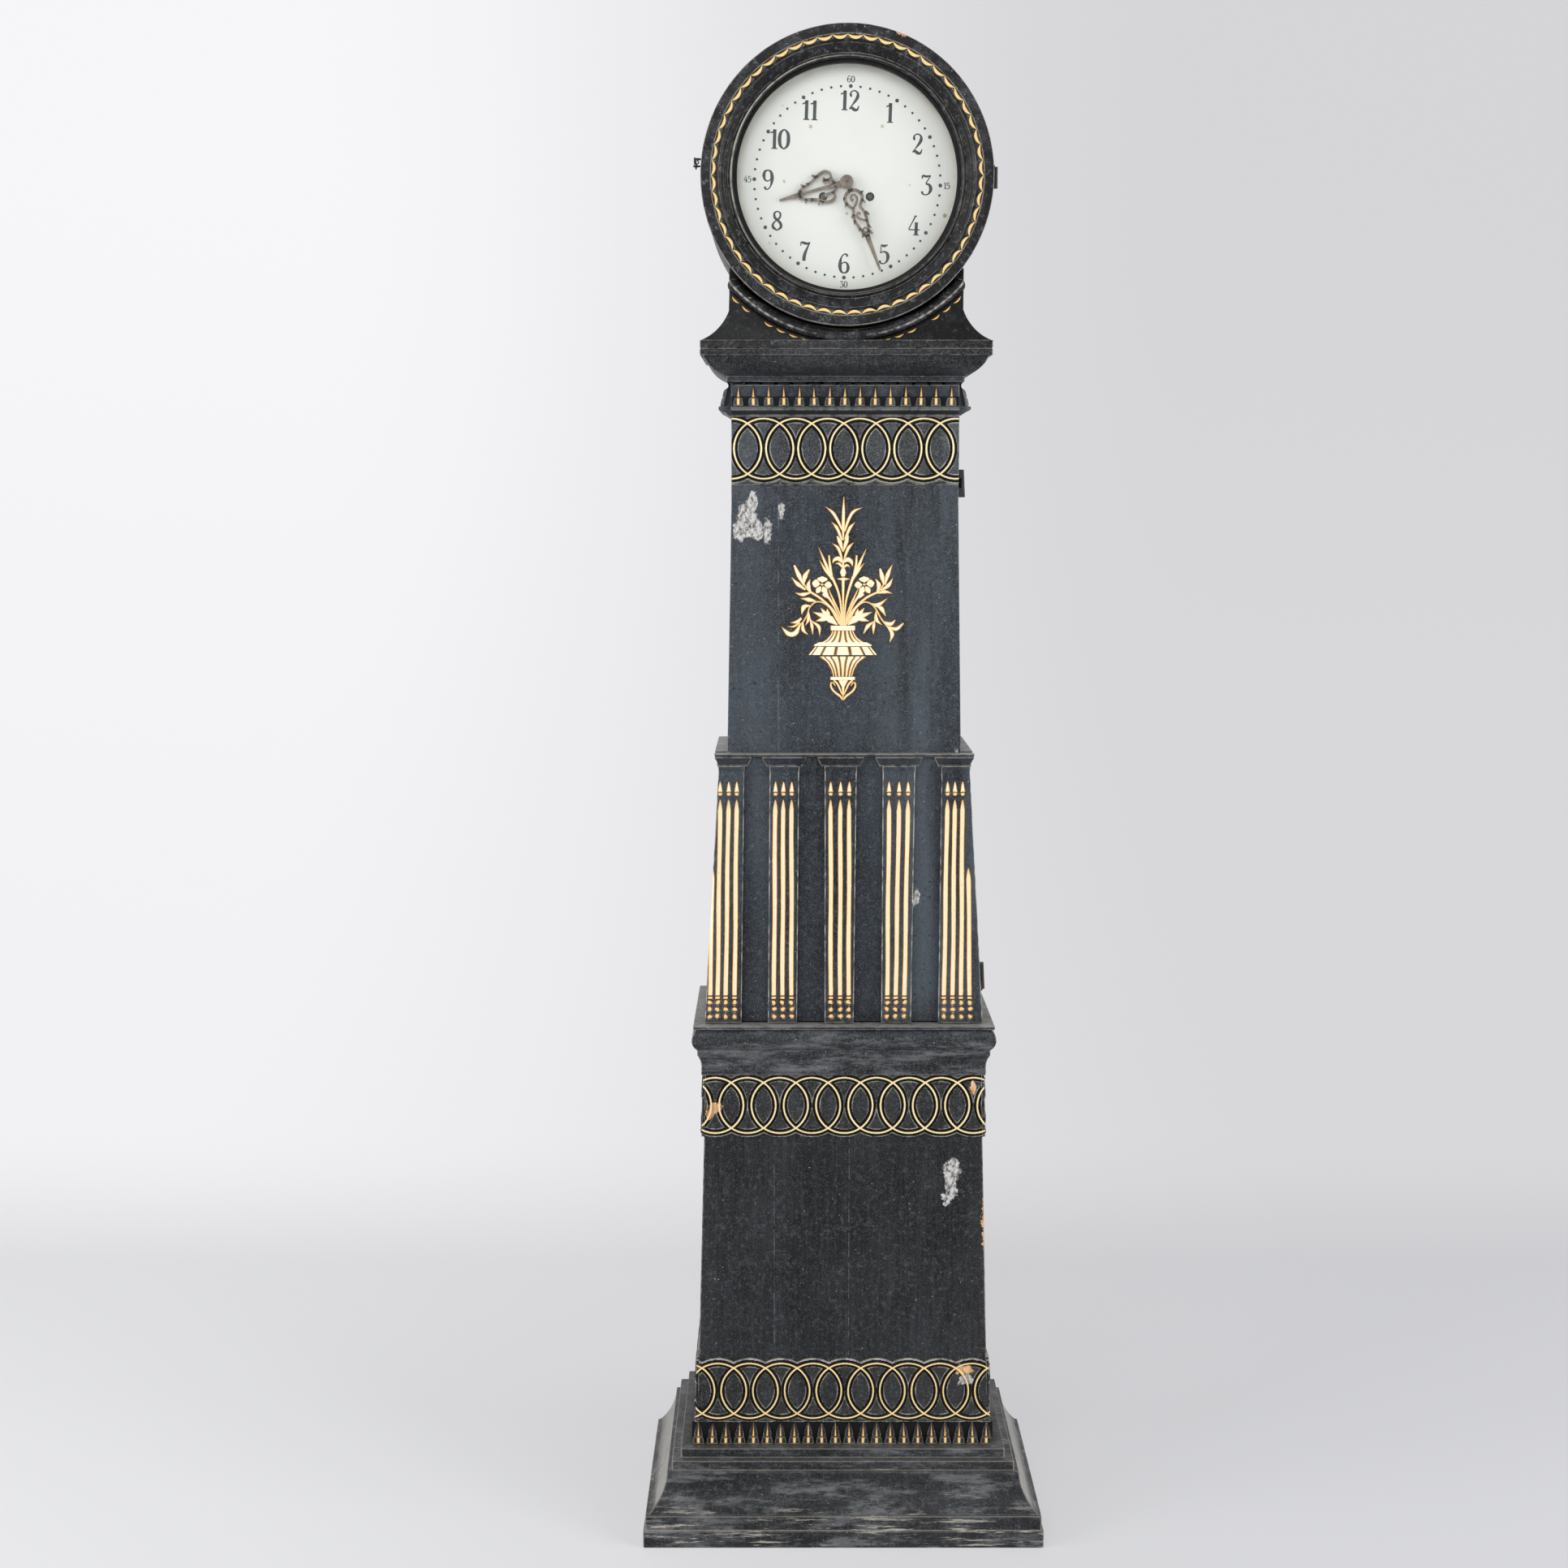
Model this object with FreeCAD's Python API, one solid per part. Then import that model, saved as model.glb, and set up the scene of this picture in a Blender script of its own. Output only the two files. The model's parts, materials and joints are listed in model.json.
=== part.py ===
"""Longcase clock of the mora form: painted wooden case, round head, weight-driven movement.

Millimetres, +Z up, +X to the right, front towards -Y. The origin is on the floor, at the
centre of the plinth. Every tier of the case stands back by the same step at the front and at
both sides, so one profile in (half-width, height) serves the front piece and the two returns.
"""
import FreeCAD
import Part
import math
import os

# Overall
BACK_Y = 162.35
TRUNK_FRONT_Y = -34.85
OVERRUN = 30.0
JOINT_GAP = 0.3
PIVOT_CLEARANCE = 0.05

# Half-widths, from the head of the trunk down to the floor, each from the one above it
TRUNK_TOP_HALF = 157.0
TRUNK_HEAD_TAPER = 0.3
TRUNK_PANEL_TAPER = 6.7
TRUNK_CAPITAL_STEP = 4.0
TRUNK_FOOT_FLARE = 20.0
LEDGE_STEP = 24.5
LEDGE_MOUTH_STEP = 15.0
TORUS_PROUD = 2.0
TORUS_BULGE = 7.5
WAIST_COVE_DEPTH = 5.5
WAIST_COVE_PROUD = 7.5
BASE_TAPER = 19.0
PLINTH_CAP_STEP = 19.5
PLINTH_BEAD_STEP = 12.5
PLINTH_COVE_LIP = 7.0
PLINTH_COVE_DEPTH = 25.5
PLINTH_COVE_FOOT_STEP = 4.0
PLINTH_UPPER_STEP = 3.0
TRUNK_PANEL_TOP_HALF = TRUNK_TOP_HALF + TRUNK_HEAD_TAPER
TRUNK_PANEL_FOOT_HALF = TRUNK_PANEL_TOP_HALF + TRUNK_PANEL_TAPER
TRUNK_CAPITAL_HALF = TRUNK_PANEL_FOOT_HALF + TRUNK_CAPITAL_STEP
TRUNK_FOOT_HALF = TRUNK_CAPITAL_HALF + TRUNK_FOOT_FLARE
LEDGE_HALF = TRUNK_FOOT_HALF + LEDGE_STEP
LEDGE_MOUTH_HALF = TRUNK_FOOT_HALF - LEDGE_MOUTH_STEP
WAIST_TORUS_HALF = LEDGE_HALF + TORUS_PROUD
WAIST_FILLET_HALF = WAIST_TORUS_HALF - TORUS_BULGE
WAIST_COVE_HALF = WAIST_FILLET_HALF - WAIST_COVE_DEPTH
BASE_TOP_HALF = WAIST_COVE_HALF - WAIST_COVE_PROUD
BASE_FOOT_HALF = BASE_TOP_HALF + BASE_TAPER
PLINTH_CAP_HALF = BASE_FOOT_HALF + PLINTH_CAP_STEP
PLINTH_BEAD_HALF = PLINTH_CAP_HALF + PLINTH_BEAD_STEP
PLINTH_COVE_TOP_HALF = PLINTH_BEAD_HALF + PLINTH_COVE_LIP
PLINTH_COVE_FOOT_HALF = PLINTH_COVE_TOP_HALF + PLINTH_COVE_DEPTH
PLINTH_UPPER_HALF = PLINTH_COVE_FOOT_HALF + PLINTH_COVE_FOOT_STEP
PLINTH_HALF = PLINTH_UPPER_HALF + PLINTH_UPPER_STEP

# Heights, from the floor up to the cornice, each from the one below it
PLINTH_LOWER_HEIGHT = 25.5
PLINTH_UPPER_HEIGHT = 20.5
PLINTH_COVE_HEIGHT = 52.0
PLINTH_BEAD_HEIGHT = 13.5
PLINTH_CAP_HEIGHT = 13.0
DART_ROW_HEIGHT = 31.5
BASE_BAND_HEIGHT = 95.0
LOWER_PANEL_HEIGHT = 326.0
WAIST_BAND_HEIGHT = 91.0
WAIST_CAP_HEIGHT = 8.5
WAIST_COVE_HEIGHT = 21.5
WAIST_FILLET_HEIGHT = 7.5
WAIST_TORUS_HEIGHT = 31.0
LEDGE_THICK = 4.5
PILASTER_HEIGHT = 359.0
CAPITAL_HEIGHT = 23.0
PANEL_HEIGHT = 348.0
DOOR_HEAD_HEIGHT = 165.0
CORNICE_FASCIA_HEIGHT = 8.0
CORNICE_OVOLO_HEIGHT = 26.0
CORNICE_FILLET_HEIGHT = 20.0
PLINTH_UPPER_TOP = PLINTH_LOWER_HEIGHT + PLINTH_UPPER_HEIGHT
PLINTH_COVE_TOP = PLINTH_UPPER_TOP + PLINTH_COVE_HEIGHT
PLINTH_BEAD_TOP = PLINTH_COVE_TOP + PLINTH_BEAD_HEIGHT
PLINTH_TOP = PLINTH_BEAD_TOP + PLINTH_CAP_HEIGHT
DART_ROW_TOP = PLINTH_TOP + DART_ROW_HEIGHT
BASE_BAND_TOP = DART_ROW_TOP + BASE_BAND_HEIGHT
WAIST_BAND_FOOT = BASE_BAND_TOP + LOWER_PANEL_HEIGHT
WAIST_BAND_TOP = WAIST_BAND_FOOT + WAIST_BAND_HEIGHT
WAIST_COVE_FOOT_Z = WAIST_BAND_TOP + WAIST_CAP_HEIGHT
WAIST_FILLET_Z = WAIST_COVE_FOOT_Z + WAIST_COVE_HEIGHT
WAIST_TORUS_Z = WAIST_FILLET_Z + WAIST_FILLET_HEIGHT
WAIST_TORUS_TOP = WAIST_TORUS_Z + WAIST_TORUS_HEIGHT
LEDGE_TOP = WAIST_TORUS_TOP + LEDGE_THICK
CAPITAL_NECK_Z = LEDGE_TOP + PILASTER_HEIGHT
CAPITAL_TOP_Z = CAPITAL_NECK_Z + CAPITAL_HEIGHT
PANEL_TOP_Z = CAPITAL_TOP_Z + PANEL_HEIGHT
TRUNK_TOP_Z = PANEL_TOP_Z + DOOR_HEAD_HEIGHT
CORNICE_FASCIA_TOP = TRUNK_TOP_Z + CORNICE_FASCIA_HEIGHT
CORNICE_OVOLO_TOP = CORNICE_FASCIA_TOP + CORNICE_OVOLO_HEIGHT
CORNICE_TOP = CORNICE_OVOLO_TOP + CORNICE_FILLET_HEIGHT

# Boards of the lower case
PLINTH_WALL = 24.0
COVE_SAG = 9.0
BASE_WALL = 18.0
BASE_FOOT_SINK = 26.0
LEDGE_REBATE = 1.5
BOTTOM_BOARD_THICK = 12.0
BACK_BOARD_THICK = 12.0
BOTTOM_BOARD_Z = PLINTH_UPPER_TOP
BASE_FOOT_Z = BOTTOM_BOARD_Z - BASE_FOOT_SINK
BASE_TOP_Z = WAIST_TORUS_TOP - LEDGE_REBATE
WAIST_COVE_SAG = 1.5

# Carved bands of the lower case
BAND_THICK = 4.0
DART_BAND_THICK = 2.5

# Line of the door's back, and the trunk boards behind it
SIDE_WALL = 14.0
DOOR_FOOT_THICK = 16.0
DOOR_MID_THICK = 20.0
DOOR_TOP_THICK = 21.0
DOOR_BACK_GAP = 1.5
DOOR_BACK_FOOT_HALF = TRUNK_FOOT_HALF - DOOR_FOOT_THICK
DOOR_BACK_MID_HALF = TRUNK_CAPITAL_HALF - DOOR_MID_THICK
DOOR_BACK_TOP_HALF = TRUNK_TOP_HALF - DOOR_TOP_THICK

# Trunk door
DOOR_FOOT_GAP = 2.0
DOOR_TOP_GAP = 3.5
DOOR_RING_RISE = 24.0
DOOR_RING_HEIGHT = 105.0
DOOR_RING_THICK = 5.0
FRIEZE_THICK = 5.0
VASE_THICK = 4.0
VASE_HEIGHT = 271.0
DOOR_RING_FOOT_Z = PANEL_TOP_Z + DOOR_RING_RISE
DOOR_RING_TOP_Z = DOOR_RING_FOOT_Z + DOOR_RING_HEIGHT
VASE_FOOT_Z = PANEL_TOP_Z - VASE_HEIGHT

# Pilasters
PILASTER_FOOT_PROUD = 9.0
PILASTER_TOP_PROUD = 8.0
CAPITAL_PROUD = 6.7
CAPITAL_NECK_HEIGHT = 4.0
PILASTER_INNER_HALF_WIDTH = 20.5
OUTER_PILASTER_FOOT_WIDTH = 52.5
OUTER_PILASTER_TOP_WIDTH = 36.0
PITCH_FOOT_SHARE = 0.5571
PITCH_TOP_SHARE = 0.575
CAPITAL_OVERHANG = 4.0
SIDE_PILASTER_WIDTH = 40.0
SIDE_PILASTER_COUNT = 3
PILASTER_FOOT_HALF = TRUNK_FOOT_HALF + PILASTER_FOOT_PROUD
PILASTER_TOP_HALF = TRUNK_CAPITAL_HALF + PILASTER_TOP_PROUD
CAPITAL_HALF = PILASTER_TOP_HALF + CAPITAL_PROUD
CAPITAL_FOOT_Z = CAPITAL_NECK_Z + CAPITAL_NECK_HEIGHT
OUTER_PILASTER_INNER_FOOT = PILASTER_FOOT_HALF - OUTER_PILASTER_FOOT_WIDTH
OUTER_PILASTER_INNER_TOP = PILASTER_TOP_HALF - OUTER_PILASTER_TOP_WIDTH
PILASTER_PITCH_FOOT = OUTER_PILASTER_INNER_FOOT * PITCH_FOOT_SHARE
PILASTER_PITCH_TOP = OUTER_PILASTER_INNER_TOP * PITCH_TOP_SHARE

# Side friezes under the cornice
SIDE_FRIEZE_PROUD = 19.0
SIDE_FRIEZE_HEIGHT = 46.0
SIDE_FRIEZE_SHOULDER = 8.0
SIDE_FRIEZE_SETBACK = 5.0
SIDE_FRIEZE_HALF = TRUNK_TOP_HALF + SIDE_FRIEZE_PROUD
SIDE_FRIEZE_FOOT_Z = TRUNK_TOP_Z - SIDE_FRIEZE_HEIGHT

# Cornice
CORNICE_FASCIA_PROUD = 6.5
CORNICE_OVOLO_FOOT_PROUD = 2.0
CORNICE_OVOLO_DEPTH = 29.0
CORNICE_FILLET_PROUD = 3.9
CORNICE_GROOVE_DROP = 11.0
CORNICE_GROOVE = 2.0
OVOLO_SAG = 6.0
CORNICE_FASCIA_HALF = TRUNK_TOP_HALF + CORNICE_FASCIA_PROUD
CORNICE_OVOLO_FOOT_HALF = CORNICE_FASCIA_HALF + CORNICE_OVOLO_FOOT_PROUD
CORNICE_OVOLO_TOP_HALF = CORNICE_OVOLO_FOOT_HALF + CORNICE_OVOLO_DEPTH
CORNICE_HALF = CORNICE_OVOLO_TOP_HALF + CORNICE_FILLET_PROUD
CORNICE_GROOVE_Z = CORNICE_TOP - CORNICE_GROOVE_DROP

# Radii of the round head, from the trunk's width
DRUM_OVERHANG = 37.5
BEZEL_OVERHANG = 1.5
CRADLE_GAP = 1.5
CRADLE_WIDTH = 19.0
DRUM_WALL = 8.0
DRUM_RADIUS = TRUNK_TOP_HALF + DRUM_OVERHANG
BEZEL_RADIUS = DRUM_RADIUS + BEZEL_OVERHANG
CRADLE_INNER_RADIUS = BEZEL_RADIUS + CRADLE_GAP
CRADLE_OUTER_RADIUS = CRADLE_INNER_RADIUS + CRADLE_WIDTH

# Head's height, neck and cradle moulding
CRADLE_SINK = 2.5
CRADLE_TIP_DROP = 136.0
CRADLE_PROUD = 12.0
NECK_OVERHANG = 1.5
NECK_FLARE_HEIGHT = 41.0
NECK_FRONT_Y = -67.0
NECK_BOARD_THICK = 14.0
NECK_SAG = 9.0
HEAD_Z = CORNICE_TOP + CRADLE_OUTER_RADIUS - CRADLE_SINK
CRADLE_TIP_Z = HEAD_Z - CRADLE_TIP_DROP
NECK_HALF = TRUNK_TOP_HALF + NECK_OVERHANG
NECK_FLARE_TOP_Z = CORNICE_TOP + NECK_FLARE_HEIGHT
CHEEK_HEAD_FRONT_Y = NECK_FRONT_Y + NECK_BOARD_THICK
CHEEK_CLEARANCE = 3.3
DRUM_INNER_RADIUS = DRUM_RADIUS - DRUM_WALL
CHEEK_DROP = math.sqrt(DRUM_INNER_RADIUS ** 2 - TRUNK_TOP_HALF ** 2)
CHEEK_TOP_Z = HEAD_Z - CHEEK_DROP - CHEEK_CLEARANCE
TOTAL_HEIGHT = HEAD_Z + BEZEL_RADIUS

# Bezel
RING_THICK = 12.0
BEZEL_BACK_GAP = 0.5
BEZEL_THICK = 21.9
BEZEL_RIM_WIDTH = 14.0
BEZEL_SCALLOP_WIDTH = 7.0
BEZEL_BAND_WIDTH = 16.5
BEZEL_LIP_WIDTH = 11.0
BEZEL_EDGE_ROUND = 1.5
BEZEL_SCALLOP_STEP = 3.5
BEZEL_BAND_DROP = 6.0
BEZEL_LIP_DROP = 5.0
GLASS_REBATE = 5.0
GLASS_REBATE_DEPTH = 6.5
GLASS_THICK = 3.0
GLASS_CLEARANCE = 0.3
RING_OPENING_GAP = 2.5
DIAL_LAP = 8.0
BEZEL_RIM_INNER_RADIUS = BEZEL_RADIUS - BEZEL_RIM_WIDTH
BEZEL_SCALLOP_INNER_RADIUS = BEZEL_RIM_INNER_RADIUS - BEZEL_SCALLOP_WIDTH
BEZEL_LIP_OUTER_RADIUS = BEZEL_SCALLOP_INNER_RADIUS - BEZEL_BAND_WIDTH
BEZEL_OPENING_RADIUS = BEZEL_LIP_OUTER_RADIUS - BEZEL_LIP_WIDTH
RING_OPENING_RADIUS = BEZEL_OPENING_RADIUS + RING_OPENING_GAP

# Bezel hinge and hook
BEZEL_HINGE_OUT = 3.6
BEZEL_HINGE_RADIUS = 2.8
BEZEL_PIN_RADIUS = 1.3
BEZEL_HINGE_HALF_LENGTH = 14.0
HINGE_LEAF_THICK = 1.4
BEZEL_LEAF_WIDTH = 14.0
CASE_LEAF_WIDTH = 24.0
HOOK_RISE = 19.0
HOOK_OUT = 7.5
HOOK_WIRE_RADIUS = 1.2
HOOK_PIVOT_Y = -80.0
HOOK_EYE_Y = -40.0
HOOK_EYE_RADIUS = 4.0
HOOK_LIFT = 3.0
HOOK_DROP = 7.0
BEZEL_HINGE_X = BEZEL_RADIUS + BEZEL_HINGE_OUT
HOOK_Z = HEAD_Z + HOOK_RISE
HOOK_X = BEZEL_RADIUS + HOOK_OUT

# Dial and hands
ARBOR_DROP = 4.0
DIAL_THICK = 1.5
DIAL_CENTRE_HOLE_RADIUS = 5.2
WINDING_HOLE_RADIUS = 5.9
MINUTE_HAND_INSET = 24.0
HOUR_HAND_INSET = 29.0
HOUR_HAND_TAIL = 9.0
HAND_THICK = 1.2
HOUR_HAND_Y = -60.0
MINUTE_HAND_Y = -64.5
HOUR_BOSS_RADIUS = 8.0
MINUTE_BOSS_RADIUS = 7.0
HAND_WAIST_WIDTH = 5.0
HAND_TIP_WIDTH = 1.6
HOUR_HAND_ANGLE = 254.0
MINUTE_HAND_ANGLE = 158.0
ARBOR_Z = HEAD_Z - ARBOR_DROP
DIAL_RADIUS = RING_OPENING_RADIUS + DIAL_LAP
MINUTE_HAND_LENGTH = RING_OPENING_RADIUS - MINUTE_HAND_INSET
HOUR_HAND_LENGTH = MINUTE_HAND_LENGTH - HOUR_HAND_INSET

# Trunk door hinges: the slanting pin line passes beside the door's edge at these heights
HINGE_UPPER_RISE = 3.0
HINGE_LOWER_RISE = 64.0
HINGE_UPPER_OUT = 6.05
HINGE_LOWER_OUT = 3.64
HINGE_UPPER_FORWARD = 2.56
HINGE_LOWER_FORWARD = 1.23
HINGE_RADIUS = 3.3
HINGE_PIN_RADIUS = 1.6
HINGE_HALF_LENGTH = 19.0
HINGE_KNUCKLE_HALF = 6.5
HINGE_LEAF_WIDTH = 13.0
HINGE_LEAF_DEPTH = 1.4
HINGE_LEAF_GAP = 0.5
HINGE_UPPER_Z = DOOR_RING_FOOT_Z + HINGE_UPPER_RISE
HINGE_LOWER_Z = LEDGE_TOP + HINGE_LOWER_RISE

# Movement frame
SEAT_THICK = 16.0
SEAT_FRONT_Y = -40.0
SEAT_BACK_Y = 50.0
PLATE_HALF_WIDTH = 66.0
PLATE_HEIGHT = 170.0
PLATE_THICK = 3.0
FRONT_PLATE_Y = -22.0
BACK_PLATE_Y = 45.0
PILLAR_RADIUS = 4.0
PILLAR_INSET = 9.0
LINE_SLOT_LENGTH = 26.0
LINE_SLOT_WIDTH = 16.0

# Trains: wheel teeth, arbor places measured from the centre arbor
WINDING_DX = 31.7
WINDING_DROP = 19.0
ARBOR_RADIUS = 1.5
CENTRE_ARBOR_RADIUS = 2.0
BARREL_ARBOR_RADIUS = 3.0
WHEEL_THICK = 2.4
PINION_LENGTH = 8.0
TIME_GREAT_TEETH = 72
STRIKE_GREAT_TEETH = 60
CENTRE_WHEEL_TEETH = 48
THIRD_WHEEL_TEETH = 45
ESCAPE_TEETH = 30
PIN_WHEEL_TEETH = 48
PINION_LEAVES = 6
CANNON_TEETH = 12
MINUTE_WHEEL_TEETH = 36
MINUTE_PINION_LEAVES = 10
HOUR_WHEEL_TEETH = 40
THIRD_MODULE = 0.9
ESCAPE_PINION_MODULE = 0.85
STRIKE_MODULE = 0.9
FLY_MODULE = 0.8
MOTION_DISTANCE = 20.0
THIRD_ARBOR_DX = 12.15
PIN_ARBOR_DX = -10.2
FLY_ARBOR_DX = 8.0
ESCAPE_RADIUS = 18.0
ESCAPE_TOOTH_DEPTH = 3.6
ANCHOR_RISE = 25.0
BARREL_RADIUS = 15.0
BARREL_FLANGE_RADIUS = 17.5
BARREL_FLANGE_THICK = 1.6
BARREL_FRONT_Y = 4.0
BARREL_BACK_Y = 27.0
TIME_GREAT_Y = 30.0
STRIKE_GREAT_Y = 30.0
CENTRE_WHEEL_Y = -15.0
THIRD_PINION_Y = -17.5
THIRD_WHEEL_Y = 5.0
ESCAPE_PINION_Y = 2.5
ESCAPE_WHEEL_Y = 14.0
CENTRE_PINION_Y = 27.0
PIN_PINION_Y = 27.0
PIN_WHEEL_Y = -11.0
FLY_PINION_Y = -14.0
FLY_VANE_FRONT_Y = 2.0
FLY_VANE_BACK_Y = 40.0
FLY_VANE_RADIUS = 12.0
FLY_VANE_THICK = 1.0
WHEEL_RIM = 4.0
WHEEL_HUB_RADIUS = 5.0
WHEEL_SPOKE_HALF = 1.6
PIN_COUNT = 8
PIN_CIRCLE_RADIUS = 14.0
PIN_RADIUS = 1.0
PIN_LENGTH = 5.0
CANNON_Y = -27.8
MINUTE_PINION_Y = -34.0
HOUR_WHEEL_Y = -33.4
HOUR_PIPE_RADIUS = 4.0
HOUR_PIPE_CLEARANCE = 0.08
ARBOR_SHOULDER = 1.2

# Escapement, pendulum and suspension
PALLET_CLEARANCE = 1.1
PALLET_SPAN_SHARE = 0.72
ANCHOR_THICK = 2.4
ANCHOR_BOSS_RADIUS = 4.0
ANCHOR_ARM_WIDTH = 3.2
PENDULUM_LENGTH = 994.0
ROD_WIDTH = 9.0
ROD_FRONT_Y = 54.0
ROD_BACK_Y = 60.0
ROD_HEAD_RADIUS = 7.0
SUSPENSION_PIN_RADIUS = 2.0
COCK_HALF_WIDTH = 10.0
COCK_RISE = 10.0
COCK_ARM_THICK = 5.0
COCK_BACK_Y = 65.0
COCK_STRAP_THICK = 3.0
CRUTCH_FRONT_Y = 49.6
CRUTCH_BACK_Y = 52.0
CRUTCH_LENGTH = 85.0
CRUTCH_HALF_WIDTH = 2.5
CRUTCH_PIN_RADIUS = 1.5
CRUTCH_PIN_CLEARANCE = 0.3
BOB_RADIUS = 62.0
BOB_THICK = 24.0
BOB_EDGE = 3.0
ROD_TAIL = 40.0
NUT_RADIUS = 8.0
NUT_HEIGHT = 8.0

# Hammer and bells
HAMMER_DX = -58.0
HAMMER_DZ = 35.0
HAMMER_Y = 10.0
HAMMER_ARM_RADIUS = 1.6
HAMMER_HEAD_RADIUS = 4.5
HAMMER_HEAD_LENGTH = 9.0
HAMMER_BELL_GAP = 0.6
HAMMER_TAIL = 12.0
BELL_DX = -14.0
BELL_RADIUS = 38.0
SMALL_BELL_RADIUS = 30.0
BELL_HEIGHT = 17.0
BELL_WALL = 2.0
BELL_RISE = 108.0
BELL_GAP = 23.0
BELL_ROD_RADIUS = 2.5
BELL_ROD_REACH = 25.0
BELL_COLLAR_RADIUS = 5.0
BELL_FOOT_Z = ARBOR_Z + BELL_RISE
SMALL_BELL_FOOT_Z = BELL_FOOT_Z + BELL_GAP
BELL_ROD_TOP_Z = SMALL_BELL_FOOT_Z + BELL_ROD_REACH

# Weights and lines
WEIGHT_RADIUS = 25.0
WEIGHT_LENGTH = 190.0
WEIGHT_DROP = 136.0
WEIGHT_EDGE = 4.0
WEIGHT_HOOK_RADIUS = 2.5
WEIGHT_HOOK_HEIGHT = 18.0
LINE_RADIUS = 0.9
LINE_TOP_DROP = 4.0
WEIGHT_TOP_Z = TRUNK_TOP_Z - WEIGHT_DROP

X_AXIS = FreeCAD.Vector(1, 0, 0)
Y_AXIS = FreeCAD.Vector(0, 1, 0)
Z_AXIS = FreeCAD.Vector(0, 0, 1)


def front_y(half_width):
    """Front plane of a tier: it stands back as far as its sides stand in."""
    return TRUNK_FRONT_Y + TRUNK_TOP_HALF - half_width


def vec(x, y, z):
    """Short name for a point."""
    return FreeCAD.Vector(x, y, z)


def between(z, low, high):
    """Value at height z on the straight line from low=(z, value) to high=(z, value)."""
    return low[1] + (high[1] - low[1]) * (z - low[0]) / (high[0] - low[0])


def face_from(steps, place):
    """Face inside an outline of lines (u, v) and arcs (u_mid, v_mid, u_end, v_end)."""
    start = place(*steps[0])
    last = start
    edges = []
    for step in steps[1:]:
        end = place(*step[-2:])
        if len(step) == 4:
            edges.append(Part.Arc(last, place(*step[:2]), end).toShape())
        else:
            edges.append(Part.LineSegment(last, end).toShape())
        last = end
    if not last.isEqual(start, PIVOT_CLEARANCE):
        edges.append(Part.LineSegment(last, start).toShape())
    return Part.Face(Part.Wire(edges))


def plate_xz(steps, front, back):
    """Solid whose outline is drawn in X and Z, between two Y planes."""
    return face_from(steps, lambda u, v: vec(u, front, v)).extrude(vec(0, back - front, 0))


def plate_yz(steps, left, right):
    """Solid whose outline is drawn in Y and Z, between two X planes."""
    return face_from(steps, lambda u, v: vec(left, u, v)).extrude(vec(right - left, 0, 0))


def block(x_low, x_high, y_low, y_high, z_low, z_high):
    """Box between three pairs of planes."""
    return Part.makeBox(x_high - x_low, y_high - y_low, z_high - z_low, vec(x_low, y_low, z_low))


def rod_y(x, z, radius, y_low, y_high):
    """Round bar along Y."""
    return Part.makeCylinder(radius, y_high - y_low, vec(x, y_low, z), Y_AXIS)


def mirrored(shape):
    """The same piece on the other side of the case."""
    return shape.mirror(vec(0, 0, 0), X_AXIS)


def prism_xy(points):
    """Upright prism over the whole height, from a plan outline."""
    low = -OVERRUN
    corners = [vec(x, y, low) for x, y in points]
    wire = Part.makePolygon(corners + corners[:1])
    return Part.Face(wire).extrude(vec(0, 0, TOTAL_HEIGHT + OVERRUN - low))


def front_mitre():
    """Space in front of both 45 degree mitre planes."""
    reach = PLINTH_HALF + OVERRUN
    return prism_xy([(-reach, front_y(reach)), (reach, front_y(reach)), (0, front_y(0))])


def side_mitre():
    """Space to the right of the right mitre plane."""
    reach = PLINTH_HALF + OVERRUN
    return prism_xy([(0, front_y(0)), (reach, front_y(reach)), (reach, BACK_Y), (0, BACK_Y)])


def front_run(profile):
    """Profile in (half-width, height) run along the front, not yet mitred."""
    reach = PLINTH_HALF + OVERRUN
    face = face_from(profile, lambda w, z: vec(-reach, front_y(w), z))
    return face.extrude(vec(2 * reach, 0, 0))


def side_run(profile):
    """The same profile run along the right side, not yet mitred."""
    start = -BACK_Y - OVERRUN
    face = face_from(profile, lambda w, z: vec(w, start, z))
    return face.extrude(vec(0, BACK_Y - start, 0))


def wrap(profile):
    """Front piece and the two mitred returns of one profile."""
    front = front_run(profile).common(front_mitre())
    right = side_run(profile).common(side_mitre())
    return front, mirrored(right), right


def base_half(z):
    """Half-width of the lower case at a height."""
    return between(z, (BASE_FOOT_Z, BASE_FOOT_HALF), (BASE_TOP_Z, BASE_TOP_HALF))


def pilaster_half(z):
    """Half-width of the pilasters' outer faces at a height."""
    return between(z, (LEDGE_TOP, PILASTER_FOOT_HALF), (CAPITAL_NECK_Z, PILASTER_TOP_HALF))


def ground_half(z):
    """Half-width of the ground behind the pilasters at a height."""
    return between(z, (LEDGE_TOP, TRUNK_FOOT_HALF), (CAPITAL_NECK_Z, TRUNK_CAPITAL_HALF))


def panel_half(z):
    """Half-width of the trunk at the carved panel and above it."""
    if z > PANEL_TOP_Z:
        return between(z, (PANEL_TOP_Z, TRUNK_PANEL_TOP_HALF), (TRUNK_TOP_Z, TRUNK_TOP_HALF))
    return between(z, (CAPITAL_TOP_Z, TRUNK_PANEL_FOOT_HALF), (PANEL_TOP_Z, TRUNK_PANEL_TOP_HALF))


def door_back_half(z):
    """Line of the door's back, as the half-width whose front plane it lies on."""
    if z > CAPITAL_NECK_Z:
        low = (CAPITAL_NECK_Z, DOOR_BACK_MID_HALF)
        return between(z, low, (TRUNK_TOP_Z, DOOR_BACK_TOP_HALF))
    return between(z, (LEDGE_TOP, DOOR_BACK_FOOT_HALF), (CAPITAL_NECK_Z, DOOR_BACK_MID_HALF))


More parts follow.
